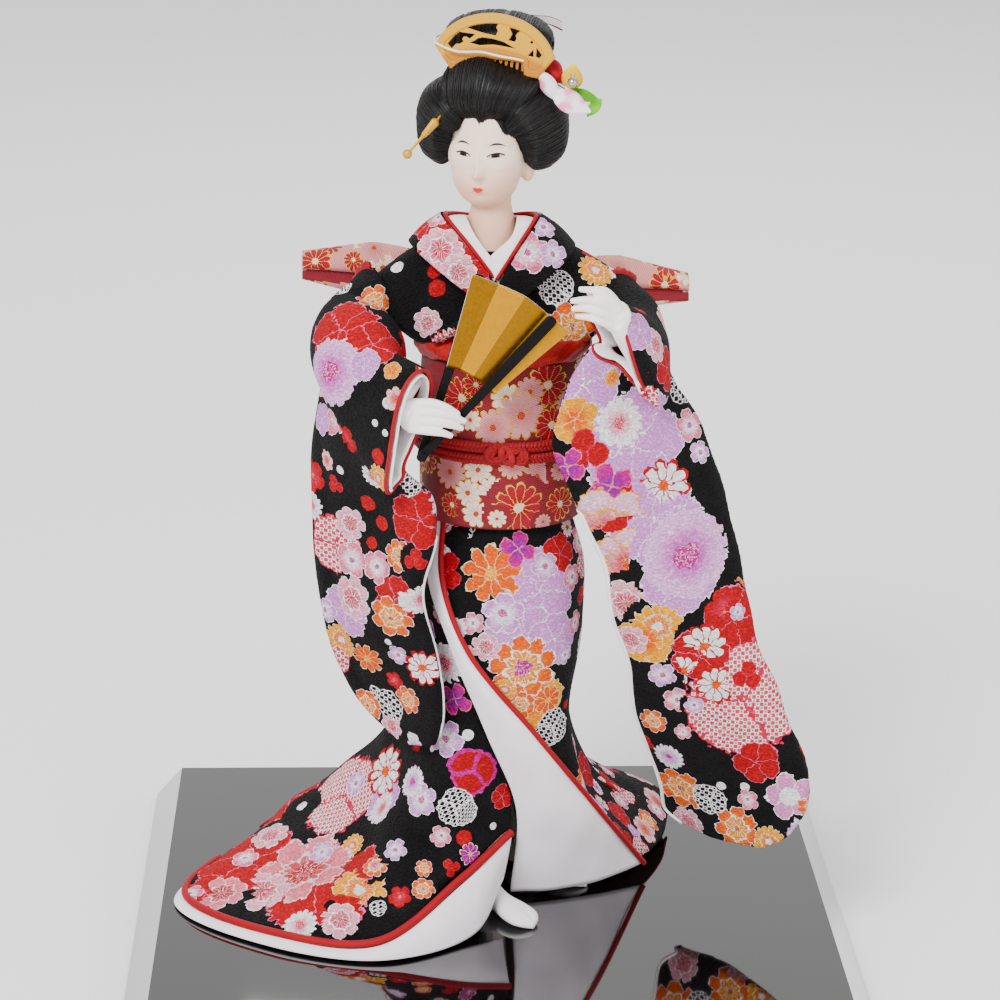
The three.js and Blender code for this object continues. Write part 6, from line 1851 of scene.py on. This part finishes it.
PETALS = {
    "red": [((23.2, -4.6, 354.4), (0.68, 0, -0.73), 6.4, 4.6, 2.6, -0.3, 1)],
    "pink": [((23.6, -9.6, 349.8), (0.62, 0, -0.78), 7.6, 3.2, 1.9, -0.35, 2),
             ((32, -9.4, 344.6), (0.92, 0, -0.4), 8.0, 4.4, 1.7, 0.25, 3)],
    "yellow": [((31, -5.8, 353.2), (0.2, 0, 1), 5.4, 4.2, 2, -0.4, 4)],
    "green": [((36.6, -6.8, 346.9), (0.96, 0, -0.28), 6.4, 2.2, 1.5, 0.5, 5),
              ((40, -6.8, 342.6), (-0.6, 0, -0.8), 4.4, 2.2, 1.3, 0.4, 6)]}
STANDS_FOR = {"red": "crepe_flower_red", "pink": "crepe_petal_pink", "yellow": "crepe_petal_yellow",
              "green": "crepe_leaf_green"}
for name, shapes in PETALS.items():
    whole = merged(*(petal(*shape) for shape in shapes))
    make_piece(f"folded_{name}", *on_head_shape(whole), [petal_finishes[name]], body="flower_spray",
               slot=f"{name}_crepe", stands_for=[STANDS_FOR[name]])
BELL_AT = np.array((32.6, -11.2, 352.4))
bell_points, bell_faces = egg((0, 0, 0), (1, 1, 1), 28, 20)
p = np.asarray(bell_points)
slit = 0.22 * np.exp(-(p[:, 0] / 0.12) ** 2) * (p[:, 2] < 0.1)
slot_depth = slit + 0.05 * np.exp(-(p[:, 2] / 0.08) ** 2) * -1
turn = np.linspace(0, 2 * math.pi, 18, endpoint=False)
loop = tube(BELL_AT + np.stack([0.7 * np.cos(turn), 0 * turn, 2.5 + 0.8 * np.sin(turn)], axis=1), 0.22, 6,
            up=(0, 1, 0), loop=True)
shape = merged((BELL_AT + p * (2.0 * (1 - slot_depth))[:, None], bell_faces), loop)
make_piece("small_bell", *on_head_shape(shape), [bell_silver], body="flower_spray", slot="gilt_metal",
           stands_for=["flower_bell"])

# %% Paper string and ribbon
STRING_ROUND = [(-20.2, -9.8, 364.3), (-15.5, -11.6, 362.8), (-10.6, -12.4, 361.8), (-1.8, -13, 362.2),
                (4.9, -12.6, 361), (11, -11.4, 360), (16, -8, 358.6), (21, 3, 359), (12, 16, 360.5),
                (-12, 16, 362.5), (-21.6, 3, 364.6), (-20.2, -9.8, 364.3)]
ring = spline(STRING_ROUND, np.linspace(0, 1, 320, endpoint=False))
plies = []
for ply in (0, math.pi):
    spin = np.linspace(0, 2 * math.pi * 60, 320, endpoint=False) + ply
    path = ring + 0.22 * np.stack([0 * spin, np.cos(spin), np.sin(spin)], axis=1)
    plies.append(tube(path, 0.26, 6, loop=True))
make_piece("twisted_paper_string", *on_head_shape(merged(*plies)), [string_white], body="dressed_head",
           slot="twisted_paper", stands_for=["hair_tie"])

ribbon_paper, tree, shader = material("ribbon_paper", Base_Color=colour("f4f2f3"), Roughness=0.7)
_, v, _ = parts(tree, add(tree, "UVMap", uv_map="cloth").outputs["UV"])
RED_EDGES = 0.0002, 0.0031
edge = v.under(RED_EDGES[0]) + v.over(RED_EDGES[1])
fibres = noise(tree, stretched(tree, where(tree), (1, 1, 4)), 500, 3)
feed(tree, shader["Base Color"], mix(tree, edge, mix(tree, fibres * 0.4, colour("f0eef2"), colour("bcb6c2")),
                                     colour("8c1226")))
bump(tree, shader, fibres, 0.00005)
u, v = shares(60, 10)
swing = np.sin(math.pi * u)
ribbon = np.stack([-2 + 24 * u, 19 + 1.6 * swing + 1.2 * v, 371 - 2 * u + 2.2 * u * swing - 3.2 * v
                   + 0.3 * np.sin(9 * u + 2 * v)], axis=-1)
make_cloth("tied_paper_ribbon", on_head(ribbon), 0.3, np.array((0.0, -1.0, 0.0)) + 0 * ribbon,
           [ribbon_paper], body="dressed_head", slot="twisted_paper", stands_for=["paper_ribbon"],
           held="folded")

# %% [markdown]
# ## Hands, fan and feet
# The hands are cast with slender fingers and coated white like the face. The right one holds the handle of
# a half-open folding fan, the left one lies open beside its leaf. Palms, fingers and wrists are drafted as
# eggs and tapering tubes and melted together at a grain finer than a finger, so that the webs between the
# fingers stay open. The feet wear white cloth socks whose big toe is apart from the others.

# %% Hands
hand_white, tree, shader = material("hand_white", Base_Color=colour("fbf6f4"), Roughness=0.48, IOR=1.4,
                                    Subsurface_Weight=0.1, Subsurface_Scale=0.002)
rosy = noise(tree, where(tree), 130, 1).smooth(0.45, 0.75)
feed(tree, shader["Base Color"], mix(tree, rosy * 0.6, colour("fdf9f7"), colour("f3e0d8")))
powder = noise(tree, where(tree), 1400, 2)
bump(tree, shader, powder, 0.00002, 0.4)


def limb(points, radii, sides=14):
    """A tapering tube through a few points."""
    along = np.linspace(0, 1, 16)
    radius = np.interp(along, np.linspace(0, 1, len(radii)), radii)
    return tube(spline(points, along), radius, sides, up=(0.3, 0.2, 1))


FINGER_ROWS = ((3, 14.5), (1, 17), (-1, 16), (-3, 12))
right_fingers = [limb([(-35, -48.9, 233.5 + 1.5 * row), (-31 + 0.3 * reach, -50.6, 233.6 + 1.8 * row),
                       (-31 + 0.68 * reach, -50.8, 232.4 + 1.62 * row),
                       (-31 + reach, -49.3, 230 + 1.4 * row)], [2.1, 1.72, 1.5, 1.05])
                 for row, reach in FINGER_ROWS]
right_thumb = limb([(-38, -46.5, 236.5), (-34, -43, 241.5), (-31, -40.7, 244.5), (-28.3, -39.9, 246.2)],
                   [2.3, 1.9, 1.6, 1.1])
right_wrist = limb([(-45.2, -42.5, 238.8), (-40, -47, 236.3), (-34, -49.1, 234.2)], [4.6, 4.0, 4.2], 20)
left_finger_paths = [
    [(42, -47.6, 274), (37.5, -49.8, 279.5), (33, -50.3, 281.8), (27, -48, 281.8)],
    [(40, -47.8, 273), (35, -51, 277.4), (30, -51.2, 278.6), (24, -48.4, 277.4)],
    [(40, -47.5, 270.5), (35, -50.4, 273.6), (30, -50.6, 275.2), (24.5, -47.8, 274.3)],
    [(40, -47, 268), (35.5, -49.2, 270), (31, -49.4, 271.6), (26, -46.8, 271.2)]]
left_fingers = [limb(path, [2.0, 1.75, 1.5, 1.05]) for path in left_finger_paths]
left_thumb = limb([(44, -45.5, 270.5), (40.5, -43.4, 276), (37, -42.6, 279.6), (32, -43.3, 280.6)],
                  [2.4, 1.9, 1.6, 1.1])
left_wrist = limb([(56, -28.5, 243.5), (52, -35.5, 250), (45.5, -42, 260), (41.5, -46, 268.5)],
                  [4.4, 4.0, 3.4, 3.6], 20)
right_palm, left_palm = (egg(centre, radii, 32, 22) for centre, radii in (
    ((-32.5, -49.2, 233.6), (6.8, 2.5, 6.9)), ((41, -46.4, 271), (5.6, 2.8, 6.2))))
HANDS = {"right": merged(right_palm, right_thumb, right_wrist, *right_fingers),
         "left": merged(left_palm, left_thumb, left_wrist, *left_fingers)}
for side, shape in HANDS.items():
    hand = draft(f"doll_hand_{side}", shape, [hand_white])
    melt(hand, 0.42, 3)
    settle(hand, "doll", [f"hand_{side}"])

# %% [markdown]
# The fan has two lacquered guards and a leaf of gold paper between them, folded in pleats. The leaf rides
# on no body and stays where it is drawn, so it doesn't close when the front guard turns.

# %% Fan
FAN_ROOT = np.array((-30.0, 0, 217))
LEAF_INNER, LEAF_OUTER = 35.5, 72
LEAF_FROM, LEAF_TO, PLEATS = 75.5, 41.5, 2
GUARD_WIDE = 4.4


def fan_point(radius, angle, y):
    angle = np.radians(angle)
    return FAN_ROOT + np.stack([radius * np.cos(angle), y + 0 * angle, radius * np.sin(angle)], axis=-1)


gold_paper, tree, shader = material("gold_paper", Base_Color=colour("c88a10"), Roughness=0.34, Metallic=0.9)
foil = noise(tree, where(tree), 900, 4)
speck = noise(tree, where(tree), 2600, 1)
# Painted light and shade: each facet of the pleats is painted brighter or darker by the way it faces the
# lamps.
facet = Number(tree, add(tree, "Attribute", attribute_name="facet").outputs["Fac"])
feed(tree, shader["Base Color"], mix(tree, facet * 0.75 + foil * 0.25, colour("4a2a00"), colour("e8a408")))
feed(tree, shader["Roughness"], foil * 0.15 + 0.26)
bump(tree, shader, foil * 0.5 + speck * 0.5, 0.00004, 0.6)
u, v = shares(PLEATS * 48 + 1, 24)
fold = np.abs((u * PLEATS) % 1 - 0.5) * 2
radius = LEAF_INNER + (LEAF_OUTER - LEAF_INNER) * v - 1.0 * (1 - fold) * (v > 0.99)
leaf_grid = fan_point(radius, LEAF_FROM + (LEAF_TO - LEAF_FROM) * u, -44.6)
leaf_grid[..., 1] += (0.5 - fold) * 2.4 * (radius / LEAF_OUTER)
fan_leaf = make_cloth("pleated_gold_leaf", leaf_grid, 0.4, np.array((0.0, -1.0, 0.0)) + 0 * leaf_grid,
                      [gold_paper, gold_paper, string_white], body=None, slot="gold_paper",
                      stands_for=["fan_leaf"], held="folded")
# Each facet's painted light comes from the side its face turns to.
facet = fan_leaf.data.attributes.new("facet", "FLOAT", "FACE")
facet.data.foreach_set("value", [0.5 - 1.5 * face.normal.x * (1 if face.normal.y < 0 else -1)
                                 for face in fan_leaf.data.polygons])


def bend_with_fan(made):
    """Fixes a piece's place in its points. The ends at the two guards are worked out, but nothing uses them.
    """
    ends = (fan_point(55, np.array(angle), -45) * MM for angle in (LEAF_FROM - 3, LEAF_TO + 5))
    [tuple(end) for end in ends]
    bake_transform(made)


bend_with_fan(fan_leaf)

guard_black, tree, shader = material("lacquered_guard", Base_Color=colour("080607"), Roughness=0.45,
                                     Specular_IOR_Level=0.12)
brushed = noise(tree, stretched(tree, where(tree), (1, 1, 0.2)), 700, 3)
feed(tree, shader["Base Color"], mix(tree, brushed, colour("060405"), colour("0e0a0b")))
feed(tree, shader["Roughness"], brushed * 0.2 + 0.38)


def guard(name, angle, y, body, node):
    """A flat tapering stave with rounded edges and a rounded tip."""
    radii = np.array([-2.2, -1.6, 0, 10, 25, 45, 62, 70, 71.6, 72])
    wide = GUARD_WIDE / 2 * np.array([0.35, 0.7, 0.8, 0.72, 0.75, 0.92, 1.0, 1.0, 0.8, 0.4])
    direction = np.array((math.cos(math.radians(angle)), 0, math.sin(math.radians(angle))))
    aside = np.array((-direction[2], 0, direction[0]))
    turn = np.arange(24) * 2 * math.pi / 24
    across = (np.abs(np.cos(turn)) ** 0.35 * np.sign(np.cos(turn)))[:, None] * aside
    through = (np.abs(np.sin(turn)) ** 0.6 * np.sign(np.sin(turn)))[:, None] * np.array((0, 1, 0))
    rings = [FAN_ROOT + (0, y, 0) + radius * direction + half * across + 0.6 * through
             for radius, half in zip(radii, wide)]
    make_piece(name, *ring_loft(rings), [guard_black], body=body, slot="black_guard", stands_for=[node])


guard("front_guard_stave", 48, -46.4, "fan_front_guard", "fan_guard_front")
guard("rear_guard_stave", 73, -42.4, "doll", "fan_guard_rear")

# %% Feet
sock_cloth = silk("sock_cloth", "f2eeee", 0.75, pitch=0.0005, depth=0.00005)
SOLE_Z = 20.3
FOOT_STATIONS = spline([(-7, 1.5, 5), (-5, 4.6, 9), (0, 5, 12.7), (6, 4.8, 11.5), (14, 5, 8), (22, 6.8, 6.4),
                        (27.5, 6.8, 5.2), (31, 4.6, 3.8), (33.4, 0.6, 1.8)], np.linspace(0, 1, 40))
for side, heel, toe in (("right", (-6, -19), (15, -45.5)), ("left", (13, 14), (38, -8))):
    along = np.array((toe[0] - heel[0], toe[1] - heel[1], 0), float)
    along /= np.linalg.norm(along)
    aside = np.array((along[1], -along[0], 0)) * (1 if side == "right" else -1)
    start = np.array((*heel, SOLE_Z))
    turn = np.arange(32) * 2 * math.pi / 32
    rings = []
    for reach, wide, tall in FOOT_STATIONS:
        split = 0.35 * math.exp(-((reach - 29) / 4.5) ** 2) * np.exp(-((np.cos(turn) + 0.25) / 0.16) ** 2)
        rings.append(start + reach * along + wide * (np.cos(turn) * (1 - 0.2 * split))[:, None] * aside
                     + (tall / 2 * (1 + np.sin(turn) * np.where(np.sin(turn) < 0, 1, 1 - split)))[:, None]
                     * np.array((0, 0, 1)))
    make_piece(f"sock_foot_{side}", *ring_loft(rings), [sock_cloth], slot="tabi_cloth",
               stands_for=[f"tabi_foot_{side}"])

# %% [markdown]
# ## What shows as it was made
# The stand and the inner structure keep their CAD shapes, because a board, a rod or a nut is already true
# to life there. They only get their finish: polished lacquer on the board, steel with drawn lines, paper
# wound in a spiral on the limbs, packed straw in the body and turned wood in the neck peg.

# %% Stand
lacquer, tree, shader = material("black_lacquer", Base_Color=colour("080607"), Roughness=0.06, IOR=1.5,
                                 Coat_Weight=1.0, Coat_Roughness=0.03)
dust = noise(tree, where(tree), 2200, 3).smooth(0.62, 0.8)
level = noise(tree, where(tree), 9, 1)
feed(tree, shader["Base Color"], mix(tree, dust * 0.12, colour("080607"), colour("3a3436")))
feed(tree, shader["Roughness"], dust * 0.12 + 0.05)
bump(tree, shader, level, 0.0004, 0.12)

rubber, tree, shader = material("foot_rubber", Base_Color=colour("1c1b1b"), Roughness=0.9)
bump(tree, shader, noise(tree, where(tree), 1800, 2), 0.00012)

steel, tree, shader = material("drawn_steel", Base_Color=colour("b9b7b3"), Roughness=0.3, Metallic=1.0)
drawn_lines = noise(tree, stretched(tree, where(tree), (1, 1, 0.05)), 2400, 2)
feed(tree, shader["Base Color"], mix(tree, drawn_lines, colour("a3a19e"), colour("cfcdc8")))
feed(tree, shader["Roughness"], drawn_lines * 0.25 + 0.2)

# %% Body and limbs
wound_paper, tree, shader = material("wound_paper", Base_Color=colour("e6dfd0"), Roughness=0.85)
x, y, z = parts(tree, where(tree))
turn = y.math("ARCTAN2", x) / (2 * math.pi)
strip = (z * 140 + turn).math("FRACT")
overlap = strip.smooth(0.0, 0.12)
fibres = noise(tree, where(tree), 900, 3)
feed(tree, shader["Base Color"], mix(tree, fibres * 0.5, colour("ece6d9"), colour("cfc5b1")))
bump(tree, shader, overlap * 0.7 + fibres * 0.3, 0.0003)

straw, tree, shader = material("packed_straw", Base_Color=colour("c9ad6a"), Roughness=0.8)
stalks = noise(tree, stretched(tree, where(tree), (1, 1, 0.07), (0.15, 0.1, 0)), 700, 2)
feed(tree, shader["Base Color"], mix(tree, stalks.smooth(0.35, 0.65), colour("9c7f43"), colour("e0c888")))
bump(tree, shader, stalks, 0.0006)

peg_wood, tree, shader = material("peg_wood", Base_Color=colour("c9a273"), Roughness=0.6)
grain_lines = noise(tree, stretched(tree, where(tree), (1, 1, 0.1)), 500, 3)
feed(tree, shader["Base Color"], mix(tree, grain_lines.smooth(0.35, 0.7), colour("b98c5a"), colour("dcbb8c")))
bump(tree, shader, grain_lines, 0.00008)

CARRIED_OVER = {
    lacquer: ["base_board"], rubber: ["base_strip_left", "base_strip_right"],
    steel: ["leg_rod_left", "leg_rod_right", "rod_nut_left", "rod_nut_right", "flower_pin"],
    guard_black: ["fan_rivet"], wound_paper: ["leg_left", "leg_right", "arm_left", "arm_right"],
    straw: ["torso_core"], peg_wood: ["neck_peg"]}
for finish, names in CARRIED_OVER.items():
    for name in names:
        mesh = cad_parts[name].data
        mesh.materials.clear()
        mesh.materials.append(finish)
print("carried over:", sum(len(names) for names in CARRIED_OVER.values()), "nodes")

# %% Floor
floor.data.materials.append(material("pale_floor", Base_Color=colour("f7f6f6"), Roughness=0.9)[0])

# %% [markdown]
# ## Where each flower is printed
# Each flower is typed as its kind, a point of the photograph and a radius in its pixels. The first ones
# of a piece lay large patches of colour, the later ones lie over them. Where the photograph doesn't
# look, seeded scattering goes on with the same kinds.

# %% Left sleeve
print_flowers(sleeves["left"], """
    patch_lilac 583 385 42, patch_lilac 634 446 58, patch_lilac 655 520 52, patch_lilac 680 575 42,
    dots_red 745 700 62, dots_red 770 660 34, patch_red 735 618 34, patch_red 757 762 24,
    patch_red 667 368 24, patch_red 612 505 30, patch_gold 645 640 30, peony 600 610 34,
    patch_red 700 655 30, patch_gold 575 420 25, mum_pink 619 423 26, leaf_red 586 452 24,
    leaf_purple 567 467 20, leaf_purple 611 486 25, leaf_red 630 510 18, daisy 664 486 29,
    peony 604 535 50, peony 628 565 40, peony_pink 626 603 26, burst 687 555 46, mum_gold 657 627 27,
    peony_pink 631 640 18, kiku 739 590 13, plum_red 726 612 24, plum_lilac 738 612 9, daisy 704 646 25,
    daisy 684 671 20, daisy 716 685 22, leaf_red 747 676 15, plum_lilac 662 675 15, plum 677 700 15,
    plum_lilac 694 705 10, peony_gold 653 721 15, plum 683 732 9, dot_white 721 786 5,
    dot_white 745 787 5, dot_white 630 669 4, peony_gold 681 788 27, peony_gold 737 829 25,
    dots_black 709 799 19, plum_pinklilac 789 797 25, dot_red 791 834 8, dots_black 678 391 15,
    plum 690 425 17, plum_lilac 700 452 12, dot_white 740 549 4, peony_pink 656 345 18,
    mum_gold 676 322 14, plum_lilac 612 372 12, patch_gold 612 378 9, patch_lilac 640 330 20,
""", scattered=260, seed=11)

# %% Right sleeve
print_flowers(sleeves["right"], """
    patch_red 340 330 38, patch_red 372 345 30, dots_red 335 545 32, dots_red 345 680 32,
    patch_red 420 520 32, patch_red 425 480 20, patch_red 395 600 26, patch_lilac 345 610 30,
    burst 331 372 34, patch_lilac 365 365 18, patch_gold 392 370 10, dot_white 387 403 6,
    dot_white 375 423 4, dot_white 385 433 4, dot_white 340 470 5, dot_red 378 457 9, dot_red 368 503 9,
    dot_red 382 523 8, dot_red 372 543 7, peony_pink 430 475 15, peony_pink 350 523 18, plum 352 560 20,
    peony_pink 352 598 24, mum_gold 342 640 20, kiku 367 658 18, peony_gold 391 618 24, plum 377 567 18,
    peony_gold 399 556 18, dots_black 377 695 11, peony_pink 364 714 18, peony_gold 408 700 16,
    plum_lilac 398 655 12, peony_pink 392 725 15, dot_white 388 642 4, plum_lilac 325 610 14,
    leaf_red 415 560 12, mum_pink 420 600 16,
""", scattered=240, seed=12)

# %% Skirt
print_flowers(skirt_left, """
    patch_lilac 541 590 42, patch_lilac 520 640 40, patch_lilac 555 640 30, patch_red 560 553 20,
    patch_gold 535 700 34, dot_white 446 552 5, kiku 491 574 31, leaf_purple 518 549 19,
    plum_lilac 503 614 22, burst_small 523 668 35, plum 575 622 13, plum 572 577 14,
    plum_lilac 545 566 15, peony_gold 520 705 16, kiku 548 700 16, dots_black 553 727 20,
    plum_lilac 565 655 10, dot_red 566 704 5, plum 473 623 12, peony_pink 486 647 15,
    plum_lilac 545 760 9, peony_gold 560 780 10, plum_red 576 800 9, dot_white 582 787 4,
    plum 620 800 12, dot_red 628 838 9, peony_gold 648 820 14, peony_pink 596 830 10,
    mum_gold 505 690 12,
""", scattered=200, seed=13)
print_flowers(skirt_right, """
    patch_red 290 800 40, patch_red 248 860 52, patch_red 320 880 62, dots_red 345 795 46,
    patch_black 303 806 24, patch_black 358 838 22, patch_lilac 385 800 26, patch_red 205 893 30,
    patch_black 330 905 6, mum_pink 445 663 22, leaf_purple 455 699 18, dot_white 468 735 6,
    dot_white 432 749 3, edged_red 473 771 25, dots_black 457 808 20, plum_lilac 421 800 17,
    plum 441 836 11, dot_red 464 838 8, leaf_red 452 868 9, dot_white 493 826 4, peony_gold 423 889 12,
    plum_red 400 897 12, daisy 386 771 27, mum_pink 382 808 18, plum_lilac 356 783 14,
    mum_gold 352 846 14, peony_pink 270 835 20, peony_red 305 873 50, peony_pink 262 890 30,
    mum_gold 359 890 28, burst_small 375 865 14, peony_red 222 893 26, plum 245 858 14,
    dot_white 302 806 6, plum_lilac 322 852 14, dots_black 378 908 9, peony_pink 340 920 20,
    mum_pink 300 925 18, plum_lilac 395 850 12, peony_gold 424 868 9, plum 190 893 14,
""", scattered=220, seed=14)
print_flowers(skirt_back, """
    patch_red 365 755 30,
""", scattered=330, seed=15, sizes=(4, 11))

# %% Bodice and collar
print_flowers(bodice, """
    patch_red 372 275 30, patch_red 560 330 20, patch_black 400 280 30, dot_white 397 267 7,
    peony_pink 368 286 26, dot_red 437 288 9, dot_red 434 272 7, leaf_red 407 342 13,
    plum_red 443 341 12, dot_red 425 345 6, peony_pink 380 322 18, mum_gold 596 270 19,
    peony_gold 572 327 27, dots_black 556 357 16, plum_red 538 331 10, plum_lilac 625 300 14,
    peony_pink 640 318 18, plum_lilac 470 330 12,
""", scattered=110, seed=16)
print_flowers(collar, """
    patch_red 440 215 34, patch_red 450 250 34, patch_red 468 282 24, peony_pink 440 250 24,
    peony_pink 458 272 19, plum 438 217 13, peony_pink 468 296 12, plum 528 252 22,
    plum_lilac 544 227 13, plum_lilac 553 254 15, plum 522 240 10,
""", scattered=40, seed=17)

# %% Brocade
GOLD_KINDS = ("gold_pink", "gold_cream", "gold_red")
print_flowers(obi, """
    gold_red 462 398 22, gold_red 548 385 24, gold_cream 506 398 16, gold_pink 530 392 16,
    gold_pink 521 416 26, gold_pink 493 428 20, gold_red 552 425 20, gold_cream 470 420 12,
    gold_red 476 385 14, gold_pink 566 402 13, gold_pink 449 425 14, gold_pink 450 472 18,
    gold_cream 478 470 15, gold_pink 512 466 14, gold_pink 537 476 16, gold_pink 560 470 12,
    gold_cream 468 493 15, gold_cream 492 490 15, gold_red 452 505 13, gold_cream 476 514 15,
    gold_red 519 508 27, gold_red 560 504 18, gold_cream 497 519 10, gold_pink 543 522 9,
""", scattered=150, seed=18, kinds=GOLD_KINDS, sizes=(4.5, 8.5))
for number, made in enumerate(bow):
    print_flowers(made, "", scattered=220, seed=30 + number, sizes=(4, 7.5),
                  kinds=("gold_pink", "gold_cream", "gold_cream", "gold_red"))
